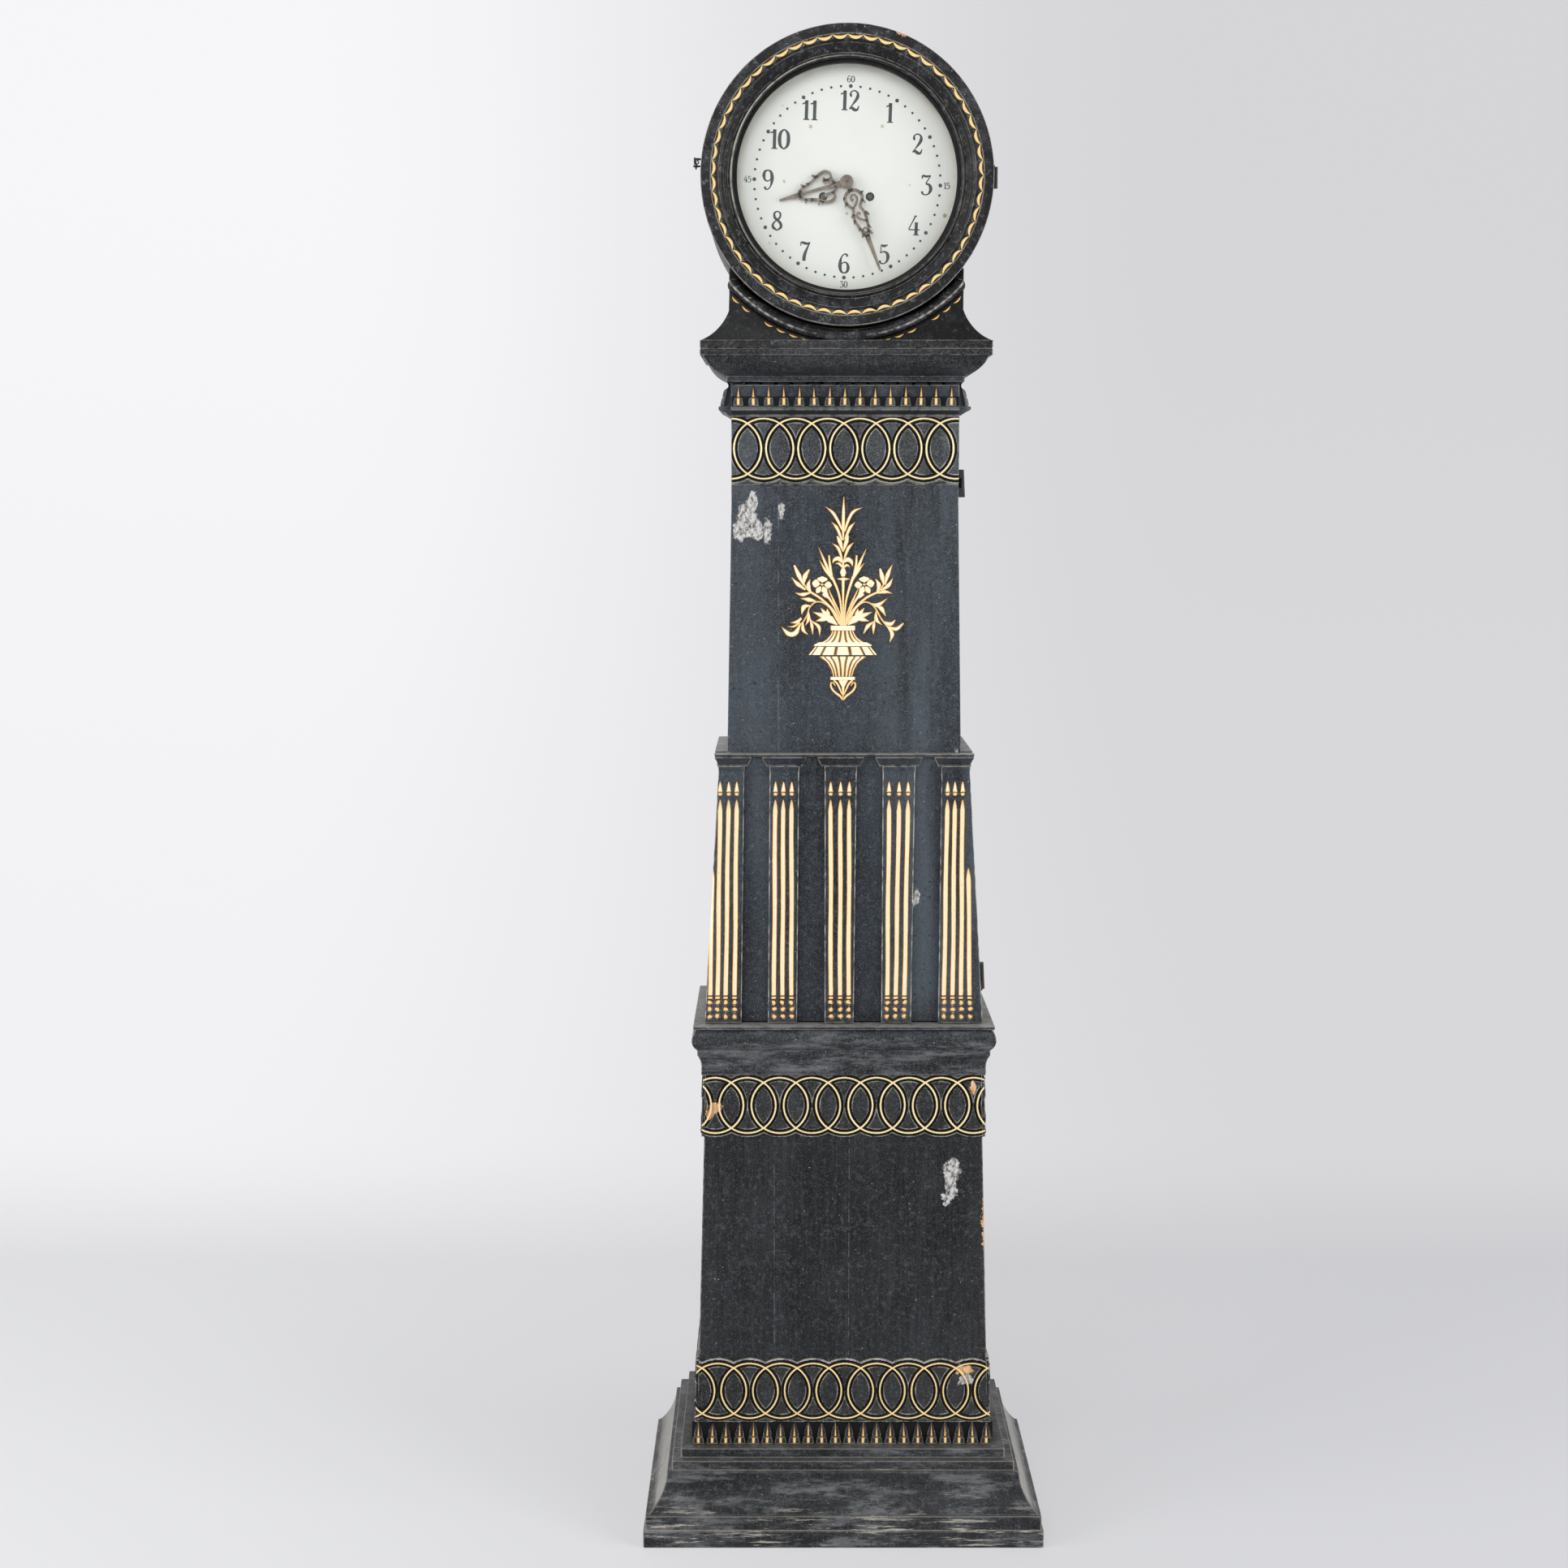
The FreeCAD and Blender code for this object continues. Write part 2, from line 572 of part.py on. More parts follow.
def make_plinth():
    """Stacked plinth moulding: two fascias, a deep cove, a bead and a cap fillet."""
    cove_mid_half = (PLINTH_COVE_FOOT_HALF + PLINTH_COVE_TOP_HALF) / 2 - COVE_SAG / 2
    cove_mid_z = (PLINTH_UPPER_TOP + PLINTH_COVE_TOP) / 2 - COVE_SAG / 2
    profile = [
        (PLINTH_HALF - PLINTH_WALL, 0),
        (PLINTH_HALF, 0),
        (PLINTH_HALF, PLINTH_LOWER_HEIGHT),
        (PLINTH_UPPER_HALF, PLINTH_LOWER_HEIGHT),
        (PLINTH_UPPER_HALF, PLINTH_UPPER_TOP),
        (PLINTH_COVE_FOOT_HALF, PLINTH_UPPER_TOP),
        (cove_mid_half, cove_mid_z, PLINTH_COVE_TOP_HALF, PLINTH_COVE_TOP),
        (PLINTH_BEAD_HALF, PLINTH_COVE_TOP),
        (PLINTH_BEAD_HALF, PLINTH_BEAD_TOP),
        (PLINTH_CAP_HALF, PLINTH_BEAD_TOP),
        (PLINTH_CAP_HALF, PLINTH_TOP),
        (base_half(PLINTH_TOP), PLINTH_TOP),
        (base_half(BOTTOM_BOARD_Z), BOTTOM_BOARD_Z),
        (PLINTH_HALF - PLINTH_WALL, BOTTOM_BOARD_Z - BOTTOM_BOARD_THICK),
    ]
    return wrap(profile)


def make_base_boards():
    """Front and side boards of the lower case."""
    profile = [
        (BASE_FOOT_HALF - BASE_WALL, BASE_FOOT_Z),
        (BASE_FOOT_HALF, BASE_FOOT_Z),
        (BASE_TOP_HALF, BASE_TOP_Z),
        (BASE_TOP_HALF - BASE_WALL, BASE_TOP_Z),
    ]
    return wrap(profile)


def make_bottom_board():
    """Floor of the lower case, between its boards."""
    half = base_half(BOTTOM_BOARD_Z + BOTTOM_BOARD_THICK) - BASE_WALL
    top = BOTTOM_BOARD_Z + BOTTOM_BOARD_THICK
    back = BACK_Y - BACK_BOARD_THICK
    return block(-half, half, front_y(half), back, BOTTOM_BOARD_Z, top)


def make_base_ring_band():
    """Carved band above the plinth: a thin dart row and the thicker ring row over it."""
    profile = [
        (base_half(PLINTH_TOP), PLINTH_TOP),
        (base_half(PLINTH_TOP) + DART_BAND_THICK, PLINTH_TOP),
        (base_half(DART_ROW_TOP) + DART_BAND_THICK, DART_ROW_TOP),
        (base_half(DART_ROW_TOP) + BAND_THICK, DART_ROW_TOP),
        (base_half(BASE_BAND_TOP) + BAND_THICK, BASE_BAND_TOP),
        (base_half(BASE_BAND_TOP), BASE_BAND_TOP),
    ]
    return Part.makeCompound(wrap(profile))


def make_waist_ring_band():
    """Carved band under the waist moulding."""
    profile = [
        (base_half(WAIST_BAND_FOOT), WAIST_BAND_FOOT),
        (base_half(WAIST_BAND_FOOT) + BAND_THICK, WAIST_BAND_FOOT),
        (base_half(WAIST_BAND_TOP) + BAND_THICK, WAIST_BAND_TOP),
        (base_half(WAIST_BAND_TOP), WAIST_BAND_TOP),
    ]
    return Part.makeCompound(wrap(profile))


def make_waist_moulding():
    """Cove, fillet, torus and ledge that close the lower case and carry the trunk."""
    cove_mid_half = (WAIST_COVE_HALF + WAIST_FILLET_HALF) / 2 - WAIST_COVE_SAG
    cove_mid_z = (WAIST_COVE_FOOT_Z + WAIST_FILLET_Z) / 2 + WAIST_COVE_SAG
    torus_mid_z = (WAIST_TORUS_Z + WAIST_TORUS_TOP) / 2
    profile = [
        (base_half(WAIST_BAND_TOP), WAIST_BAND_TOP),
        (WAIST_COVE_HALF, WAIST_BAND_TOP),
        (WAIST_COVE_HALF, WAIST_COVE_FOOT_Z),
        (cove_mid_half, cove_mid_z, WAIST_FILLET_HALF, WAIST_FILLET_Z),
        (WAIST_FILLET_HALF, WAIST_TORUS_Z),
        (WAIST_TORUS_HALF, torus_mid_z, WAIST_FILLET_HALF, WAIST_TORUS_TOP),
        (LEDGE_HALF, WAIST_TORUS_TOP),
        (LEDGE_HALF, LEDGE_TOP),
        (LEDGE_MOUTH_HALF - SIDE_WALL, LEDGE_TOP),
        (LEDGE_MOUTH_HALF - SIDE_WALL, BASE_TOP_Z),
        (BASE_TOP_HALF, BASE_TOP_Z),
    ]
    return wrap(profile)


def trunk_side_outline():
    """Outline in X and Z of the right trunk board, from the ledge up into the head."""
    return [
        (TRUNK_FOOT_HALF - SIDE_WALL, LEDGE_TOP),
        (TRUNK_FOOT_HALF, LEDGE_TOP),
        (TRUNK_CAPITAL_HALF, CAPITAL_NECK_Z),
        (TRUNK_PANEL_FOOT_HALF, CAPITAL_TOP_Z),
        (TRUNK_PANEL_TOP_HALF, PANEL_TOP_Z),
        (TRUNK_TOP_HALF, TRUNK_TOP_Z),
        (TRUNK_TOP_HALF, CHEEK_TOP_Z),
        (TRUNK_TOP_HALF - SIDE_WALL, CHEEK_TOP_Z),
        (TRUNK_TOP_HALF - SIDE_WALL, TRUNK_TOP_Z),
        (TRUNK_PANEL_TOP_HALF - SIDE_WALL, PANEL_TOP_Z),
        (TRUNK_PANEL_FOOT_HALF - SIDE_WALL, CAPITAL_TOP_Z),
        (TRUNK_CAPITAL_HALF - SIDE_WALL, CAPITAL_NECK_Z),
    ]


def make_trunk_side():
    """Right trunk board: its front edge follows the door's back, then the head ring."""
    board = plate_xz(trunk_side_outline(), -BACK_Y, BACK_Y)
    depth = [
        (front_y(DOOR_BACK_FOOT_HALF) + DOOR_BACK_GAP, LEDGE_TOP),
        (front_y(DOOR_BACK_MID_HALF) + DOOR_BACK_GAP, CAPITAL_NECK_Z),
        (front_y(DOOR_BACK_TOP_HALF) + DOOR_BACK_GAP, TRUNK_TOP_Z),
        (front_y(DOOR_BACK_TOP_HALF) + DOOR_BACK_GAP, CORNICE_TOP),
        (CHEEK_HEAD_FRONT_Y, CORNICE_TOP),
        (CHEEK_HEAD_FRONT_Y, CHEEK_TOP_Z),
        (BACK_Y, CHEEK_TOP_Z),
        (BACK_Y, LEDGE_TOP),
    ]
    return board.common(plate_yz(depth, 0, PLINTH_HALF))


def make_side_pilasters():
    """Pilasters and capitals on the outside of both trunk boards."""
    profile = [
        (ground_half(LEDGE_TOP), LEDGE_TOP),
        (pilaster_half(LEDGE_TOP), LEDGE_TOP),
        (pilaster_half(CAPITAL_NECK_Z), CAPITAL_NECK_Z),
        (CAPITAL_HALF, CAPITAL_FOOT_Z),
        (CAPITAL_HALF, CAPITAL_TOP_Z),
        (TRUNK_PANEL_FOOT_HALF, CAPITAL_TOP_Z),
        (TRUNK_CAPITAL_HALF, CAPITAL_NECK_Z),
    ]
    run = side_run(profile)
    wide = SIDE_PILASTER_WIDTH
    foot_front = front_y(DOOR_BACK_FOOT_HALF) + DOOR_BACK_GAP
    top_front = front_y(DOOR_BACK_MID_HALF) + DOOR_BACK_GAP
    foot_pitch = (BACK_Y - foot_front - wide) / (SIDE_PILASTER_COUNT - 1)
    top_pitch = (BACK_Y - top_front - wide) / (SIDE_PILASTER_COUNT - 1)
    pieces = []
    for index in range(SIDE_PILASTER_COUNT):
        foot = foot_front + index * foot_pitch
        top = top_front + index * top_pitch
        outline = [
            (foot, LEDGE_TOP),
            (top, CAPITAL_NECK_Z),
            (top, CAPITAL_TOP_Z),
            (top + wide, CAPITAL_TOP_Z),
            (top + wide, CAPITAL_NECK_Z),
            (foot + wide, LEDGE_TOP),
        ]
        right = run.common(plate_yz(outline, 0, PLINTH_HALF))
        pieces += [right, mirrored(right)]
    return Part.makeCompound(pieces)


def make_cornice():
    """Fascia, ovolo and grooved top fillets; the front piece is deeper than its returns."""
    ovolo_mid_half = (CORNICE_OVOLO_FOOT_HALF + CORNICE_OVOLO_TOP_HALF) / 2 + OVOLO_SAG / 2
    ovolo_mid_z = (CORNICE_FASCIA_TOP + CORNICE_OVOLO_TOP) / 2 - OVOLO_SAG / 2
    groove_low = CORNICE_GROOVE_Z - CORNICE_GROOVE / 2
    groove_high = CORNICE_GROOVE_Z + CORNICE_GROOVE / 2

    def profile(inner_half):
        """Closed outline from the inner line outwards."""
        return [
            (inner_half, TRUNK_TOP_Z),
            (CORNICE_FASCIA_HALF, TRUNK_TOP_Z),
            (CORNICE_FASCIA_HALF, CORNICE_FASCIA_TOP),
            (CORNICE_OVOLO_FOOT_HALF, CORNICE_FASCIA_TOP),
            (ovolo_mid_half, ovolo_mid_z, CORNICE_OVOLO_TOP_HALF, CORNICE_OVOLO_TOP),
            (CORNICE_HALF, CORNICE_OVOLO_TOP),
            (CORNICE_HALF, groove_low),
            (CORNICE_HALF - CORNICE_GROOVE, CORNICE_GROOVE_Z),
            (CORNICE_HALF, groove_high),
            (CORNICE_HALF, CORNICE_TOP),
            (inner_half, CORNICE_TOP),
        ]

    front = front_run(profile(DOOR_BACK_TOP_HALF)).common(front_mitre())
    right = side_run(profile(TRUNK_TOP_HALF)).common(side_mitre())
    return front, mirrored(right), right


def make_side_friezes():
    """Dart friezes that stand out from the trunk sides under the cornice."""
    foot = SIDE_FRIEZE_FOOT_Z
    profile = [
        (panel_half(foot), foot),
        (SIDE_FRIEZE_HALF, foot + SIDE_FRIEZE_SHOULDER),
        (SIDE_FRIEZE_HALF, TRUNK_TOP_Z - SIDE_FRIEZE_SHOULDER),
        (CORNICE_FASCIA_HALF, TRUNK_TOP_Z),
        (TRUNK_TOP_HALF, TRUNK_TOP_Z),
    ]
    start = front_y(door_back_half(foot)) + DOOR_BACK_GAP + SIDE_FRIEZE_SETBACK
    right = side_run(profile).common(block(0, PLINTH_HALF, start, BACK_Y, foot, TRUNK_TOP_Z))
    return Part.makeCompound([right, mirrored(right)])


def flare_mid():
    """Middle point of the concave flare at the foot of the neck."""
    mid_half = (NECK_HALF + CORNICE_HALF) / 2 - NECK_SAG / 2
    mid_z = (NECK_FLARE_TOP_Z + CORNICE_TOP) / 2 - NECK_SAG / 2
    return mid_half, mid_z


def make_neck_front():
    """Board between the cornice and the round head, hollowed to the cradle's arc."""
    mid_half, mid_z = flare_mid()
    radius = CRADLE_INNER_RADIUS
    top_z = HEAD_Z - math.sqrt(radius ** 2 - NECK_HALF ** 2)
    outline = [
        (-CORNICE_HALF, CORNICE_TOP),
        (CORNICE_HALF, CORNICE_TOP),
        (mid_half, mid_z, NECK_HALF, NECK_FLARE_TOP_Z),
        (NECK_HALF, top_z),
        (0, HEAD_Z - radius, -NECK_HALF, top_z),
        (-NECK_HALF, NECK_FLARE_TOP_Z),
        (-mid_half, mid_z, -CORNICE_HALF, CORNICE_TOP),
    ]
    return plate_xz(outline, NECK_FRONT_Y, CHEEK_HEAD_FRONT_Y)


def make_neck_sides():
    """Coved returns of the neck, under the drum on both sides."""
    mid_half, mid_z = flare_mid()
    outline = [
        (TRUNK_TOP_HALF, CORNICE_TOP),
        (CORNICE_HALF, CORNICE_TOP),
        (mid_half, mid_z, NECK_HALF, NECK_FLARE_TOP_Z),
        (NECK_HALF, HEAD_Z),
        (TRUNK_TOP_HALF, HEAD_Z),
    ]
    right = plate_xz(outline, CHEEK_HEAD_FRONT_Y, BACK_Y)
    right = right.cut(rod_y(0, HEAD_Z, DRUM_RADIUS, -BACK_Y, BACK_Y + OVERRUN))
    return Part.makeCompound([right, mirrored(right)])


def ring_sector(section, z_limit):
    """Section in (radius, y) turned about the head's axis and kept below a height."""
    face = face_from(section, lambda r, y: vec(r, y, HEAD_Z))
    ring = face.revolve(vec(0, 0, HEAD_Z), Y_AXIS, 360)
    reach = PLINTH_HALF
    return ring.common(block(-reach, reach, -BACK_Y, BACK_Y, CORNICE_TOP, z_limit))


def make_cradle():
    """Half-round moulding that hugs the round head from below."""
    middle = (CRADLE_INNER_RADIUS + CRADLE_OUTER_RADIUS) / 2
    section = [
        (CRADLE_INNER_RADIUS, NECK_FRONT_Y),
        (middle, NECK_FRONT_Y - CRADLE_PROUD, CRADLE_OUTER_RADIUS, NECK_FRONT_Y),
    ]
    return ring_sector(section, CRADLE_TIP_Z)


def make_drum():
    """Bent shell of the round head, open below between the trunk boards."""
    outer = rod_y(0, HEAD_Z, DRUM_RADIUS, NECK_FRONT_Y + RING_THICK, BACK_Y)
    inner_radius = DRUM_INNER_RADIUS
    shell = outer.cut(rod_y(0, HEAD_Z, inner_radius, -BACK_Y, BACK_Y + OVERRUN))
    half = TRUNK_TOP_HALF
    below = block(-half, half, -BACK_Y, BACK_Y + OVERRUN, CORNICE_TOP, HEAD_Z)
    return shell.cut(below)


def make_head_ring():
    """Front ring board of the head, which the dial and the bezel lie against."""
    ring = rod_y(0, HEAD_Z, DRUM_RADIUS, NECK_FRONT_Y, NECK_FRONT_Y + RING_THICK)
    return ring.cut(rod_y(0, HEAD_Z, RING_OPENING_RADIUS, -BACK_Y, BACK_Y))


def make_back_board():
    """Back of the case in one board, with its round top inside the drum."""
    gap = JOINT_GAP
    base_inner = base_half(BOTTOM_BOARD_Z) - BASE_WALL - gap
    top_inner = BASE_TOP_HALF - BASE_WALL - gap
    trunk_foot = TRUNK_FOOT_HALF - SIDE_WALL - gap
    trunk_neck = TRUNK_CAPITAL_HALF - SIDE_WALL - gap
    panel_foot = TRUNK_PANEL_FOOT_HALF - SIDE_WALL - gap
    panel_top = TRUNK_PANEL_TOP_HALF - SIDE_WALL - gap
    trunk_top = TRUNK_TOP_HALF - SIDE_WALL - gap
    mouth = LEDGE_MOUTH_HALF - SIDE_WALL - gap
    right = [
        (base_inner, BOTTOM_BOARD_Z),
        (top_inner, BASE_TOP_Z),
        (mouth, BASE_TOP_Z),
        (mouth, LEDGE_TOP),
        (trunk_foot, LEDGE_TOP),
        (trunk_neck, CAPITAL_NECK_Z),
        (panel_foot, CAPITAL_TOP_Z),
        (panel_top, PANEL_TOP_Z),
        (trunk_top, TRUNK_TOP_Z),
        (trunk_top, CHEEK_TOP_Z),
    ]
    outline = right + [(-w, z) for w, z in reversed(right)]
    front = BACK_Y - BACK_BOARD_THICK
    board = plate_xz(outline, front, BACK_Y)
    disc = rod_y(0, HEAD_Z, DRUM_INNER_RADIUS - gap, front, BACK_Y)
    outer = TRUNK_TOP_HALF + gap
    right_cheek = block(trunk_top, outer, front, BACK_Y, CORNICE_TOP, CHEEK_TOP_Z + gap)
    disc = disc.cut(right_cheek).cut(mirrored(right_cheek))
    below = block(-DRUM_RADIUS, DRUM_RADIUS, front, BACK_Y, CORNICE_TOP, CHEEK_TOP_Z)
    middle = block(-trunk_top, trunk_top, front, BACK_Y, CORNICE_TOP, CHEEK_TOP_Z)
    return board.fuse(disc.cut(below.cut(middle))).removeSplitter()


def door_outline(low, high, inset=0.0):
    """Outline in X and Z of a door piece between two heights."""
    heights = [low]
    heights += [z for z in (CAPITAL_NECK_Z, CAPITAL_TOP_Z, PANEL_TOP_Z) if low < z < high]
    heights.append(high)

    def half(z):
        """Half-width of the door's side edge."""
        edge = pilaster_half(z) if z <= CAPITAL_NECK_Z else panel_half(z)
        return edge - inset

    right = [(half(z), z) for z in heights]
    return right + [(-w, z) for w, z in reversed(right)]


def make_door_panel():
    """Full-height door board that every carved piece is planted on."""
    foot = LEDGE_TOP + DOOR_FOOT_GAP
    top = TRUNK_TOP_Z - DOOR_TOP_GAP
    ring_ground = panel_half(DOOR_RING_FOOT_Z) - DOOR_RING_THICK
    profile = [
        (door_back_half(foot), foot),
        (ground_half(foot), foot),
        (ground_half(CAPITAL_NECK_Z), CAPITAL_NECK_Z),
        (panel_half(CAPITAL_TOP_Z), CAPITAL_TOP_Z),
        (panel_half(PANEL_TOP_Z), PANEL_TOP_Z),
        (panel_half(DOOR_RING_FOOT_Z), DOOR_RING_FOOT_Z),
        (ring_ground, DOOR_RING_FOOT_Z),
        (panel_half(top) - DOOR_RING_THICK, top),
        (door_back_half(top), top),
        (door_back_half(CAPITAL_NECK_Z), CAPITAL_NECK_Z),
    ]
    return front_run(profile).common(plate_xz(door_outline(foot, top), -BACK_Y, BACK_Y))


def door_strip(low, high, thickness, inset=0.0):
    """Strip planted on the door's upper ground, between two heights."""
    profile = [
        (panel_half(low) - DOOR_RING_THICK, low),
        (panel_half(low) - DOOR_RING_THICK + thickness, low),
        (panel_half(high) - DOOR_RING_THICK + thickness, high),
        (panel_half(high) - DOOR_RING_THICK, high),
    ]
    outline = plate_xz(door_outline(low, high, inset), -BACK_Y, BACK_Y)
    return front_run(profile).common(outline)


def make_door_ring_band():
    """Ring band across the door."""
    return door_strip(DOOR_RING_FOOT_Z, DOOR_RING_TOP_Z, DOOR_RING_THICK)


def make_door_frieze():
    """Dart frieze at the head of the door."""
    return door_strip(DOOR_RING_TOP_Z, TRUNK_TOP_Z - DOOR_TOP_GAP, FRIEZE_THICK)


VASE_SHARES = (
    (0.30, 0.00), (0.30, 0.03), (0.16, 0.06), (0.08, 0.12), (0.20, 0.17), (0.42, 0.24),
    (0.52, 0.32), (0.60, 0.34), (0.30, 0.38), (0.55, 0.48), (0.92, 0.56), (0.98, 0.66),
    (0.62, 0.72), (0.40, 0.80), (0.22, 0.90), (0.06, 1.00),
)
VASE_HALF_WIDTH = 84.0


def make_vase():
    """Carved vase of flowers, as one relief on the panel."""
    height = PANEL_TOP_Z - VASE_FOOT_Z
    right = [(w * VASE_HALF_WIDTH, VASE_FOOT_Z + s * height) for w, s in VASE_SHARES]
    outline = right + [(-w, z) for w, z in reversed(right)]
    profile = [
        (panel_half(VASE_FOOT_Z), VASE_FOOT_Z),
        (panel_half(VASE_FOOT_Z) + VASE_THICK, VASE_FOOT_Z),
        (panel_half(PANEL_TOP_Z) + VASE_THICK, PANEL_TOP_Z),
        (panel_half(PANEL_TOP_Z), PANEL_TOP_Z),
    ]
    return front_run(profile).common(plate_xz(outline, -BACK_Y, BACK_Y))


def make_door_pilasters():
    """Five fluted pilasters of the door, each with its capital."""
    foot = LEDGE_TOP + DOOR_FOOT_GAP
    neck = CAPITAL_NECK_Z
    shaft = [
        (ground_half(foot), foot),
        (pilaster_half(foot), foot),
        (pilaster_half(neck), neck),
        (CAPITAL_HALF, CAPITAL_FOOT_Z),
        (CAPITAL_HALF, CAPITAL_TOP_Z),
        (panel_half(CAPITAL_TOP_Z), CAPITAL_TOP_Z),
        (ground_half(neck), neck),
    ]
    run = front_run(shaft)
    wide = PILASTER_INNER_HALF_WIDTH
    cap = wide + CAPITAL_OVERHANG
    pieces = []
    for index in (-1, 0, 1):
        foot_x = index * PILASTER_PITCH_FOOT
        top_x = index * PILASTER_PITCH_TOP
        outline = [
            (foot_x - wide, foot),
            (foot_x + wide, foot),
            (top_x + wide, neck),
            (top_x + cap, CAPITAL_FOOT_Z),
            (top_x + cap, CAPITAL_TOP_Z),
            (top_x - cap, CAPITAL_TOP_Z),
            (top_x - cap, CAPITAL_FOOT_Z),
            (top_x - wide, neck),
        ]
        pieces.append(run.common(plate_xz(outline, -BACK_Y, BACK_Y)))
    outer = [
        (OUTER_PILASTER_INNER_FOOT, foot),
        (pilaster_half(foot), foot),
        (pilaster_half(neck), neck),
        (CAPITAL_HALF, CAPITAL_FOOT_Z),
        (CAPITAL_HALF, CAPITAL_TOP_Z),
        (OUTER_PILASTER_INNER_TOP - CAPITAL_OVERHANG, CAPITAL_TOP_Z),
        (OUTER_PILASTER_INNER_TOP - CAPITAL_OVERHANG, CAPITAL_FOOT_Z),
        (OUTER_PILASTER_INNER_TOP, neck),
    ]
    right = run.common(plate_xz(outer, -BACK_Y, BACK_Y))
    pieces += [right, mirrored(right)]
    return Part.makeCompound(pieces)


def make_bezel():
    """Turned ring of the head door, with the step that carries its scallops."""
    back = NECK_FRONT_Y - BEZEL_BACK_GAP
    front = back - BEZEL_THICK
    band_y = front + BEZEL_SCALLOP_STEP + BEZEL_BAND_DROP
    lip_y = front + BEZEL_LIP_DROP
    lip_mid = (BEZEL_LIP_OUTER_RADIUS + BEZEL_OPENING_RADIUS) / 2
    rebate_y = back - GLASS_REBATE_DEPTH
    section = [
        (BEZEL_RADIUS, back),
        (BEZEL_RADIUS, front + BEZEL_EDGE_ROUND),
        (BEZEL_RADIUS - BEZEL_EDGE_ROUND, front),
        (BEZEL_RIM_INNER_RADIUS, front),
        (BEZEL_RIM_INNER_RADIUS, front + BEZEL_SCALLOP_STEP),
        (BEZEL_SCALLOP_INNER_RADIUS, front + BEZEL_SCALLOP_STEP),
        (BEZEL_LIP_OUTER_RADIUS, band_y),
        (lip_mid, lip_y, BEZEL_OPENING_RADIUS, band_y),
        (BEZEL_OPENING_RADIUS, rebate_y),
        (BEZEL_OPENING_RADIUS + GLASS_REBATE, rebate_y),
        (BEZEL_OPENING_RADIUS + GLASS_REBATE, back),
    ]
    face = face_from(section, lambda r, y: vec(r, y, HEAD_Z))
    return face.revolve(vec(0, 0, HEAD_Z), Y_AXIS, 360)


def make_glass():
    """Round pane in the bezel's rebate."""
    front = NECK_FRONT_Y - BEZEL_BACK_GAP - GLASS_REBATE_DEPTH
    radius = BEZEL_OPENING_RADIUS + GLASS_REBATE - GLASS_CLEARANCE
    return rod_y(0, HEAD_Z, radius, front, front + GLASS_THICK)


def make_bezel_hinge():
    """Bezel leaf with its end knuckles, and case leaf with the middle knuckle and the pin."""
    knuckle = BEZEL_HINGE_HALF_LENGTH / 3
    pin_y = NECK_FRONT_Y - BEZEL_BACK_GAP / 2
    low = HEAD_Z - BEZEL_HINGE_HALF_LENGTH
    high = HEAD_Z + BEZEL_HINGE_HALF_LENGTH
    centre = vec(BEZEL_HINGE_X, pin_y, low)
    barrel = Part.makeCylinder(BEZEL_HINGE_RADIUS, high - low, centre, Z_AXIS)
    pin = Part.makeCylinder(BEZEL_PIN_RADIUS, high - low, centre, Z_AXIS)
    bore_radius = BEZEL_PIN_RADIUS + PIVOT_CLEARANCE
    bore = Part.makeCylinder(bore_radius, high - low, centre, Z_AXIS)
    reach = PLINTH_HALF
    middle = block(0, reach, -BACK_Y, BACK_Y, HEAD_Z - knuckle, HEAD_Z + knuckle)
    gap = PIVOT_CLEARANCE
    ends_space = block(0, reach, -BACK_Y, BACK_Y, HEAD_Z - knuckle - gap, HEAD_Z + knuckle + gap)
    leaf_in = BEZEL_RADIUS - BEZEL_HINGE_RADIUS
    leaf_out = BEZEL_RADIUS + HINGE_LEAF_THICK
    bezel_leaf = block(leaf_in, leaf_out, pin_y - BEZEL_LEAF_WIDTH, pin_y, low, high)
    bezel_leaf = bezel_leaf.fuse(barrel.cut(bore)).cut(ends_space)
    bezel_leaf = bezel_leaf.cut(bore)
    bezel_leaf = bezel_leaf.cut(rod_y(0, HEAD_Z, BEZEL_RADIUS, -BACK_Y, BACK_Y))
    case_back = pin_y + CASE_LEAF_WIDTH
    case_leaf = block(leaf_in, leaf_out, pin_y, case_back, HEAD_Z - knuckle, HEAD_Z + knuckle)
    case_leaf = case_leaf.fuse(barrel.common(middle)).fuse(pin)
    case_leaf = case_leaf.cut(rod_y(0, HEAD_Z, DRUM_RADIUS, -BACK_Y, BACK_Y))
    clear = BEZEL_RADIUS + PIVOT_CLEARANCE
    bezel_room = rod_y(0, HEAD_Z, clear, -BACK_Y, NECK_FRONT_Y)
    return bezel_leaf, case_leaf.cut(bezel_room)


def door_pin_line():
    """Lower point and direction of the trunk door's slanting pin line."""
    low_x = pilaster_half(HINGE_LOWER_Z) + HINGE_LOWER_OUT
    low_y = front_y(door_back_half(HINGE_LOWER_Z)) - HINGE_LOWER_FORWARD
    high_x = panel_half(HINGE_UPPER_Z) + HINGE_UPPER_OUT
    high_y = front_y(door_back_half(HINGE_UPPER_Z)) - HINGE_UPPER_FORWARD
    low = vec(low_x, low_y, HINGE_LOWER_Z)
    high = vec(high_x, high_y, HINGE_UPPER_Z)
    return low, high, (high - low).normalize()


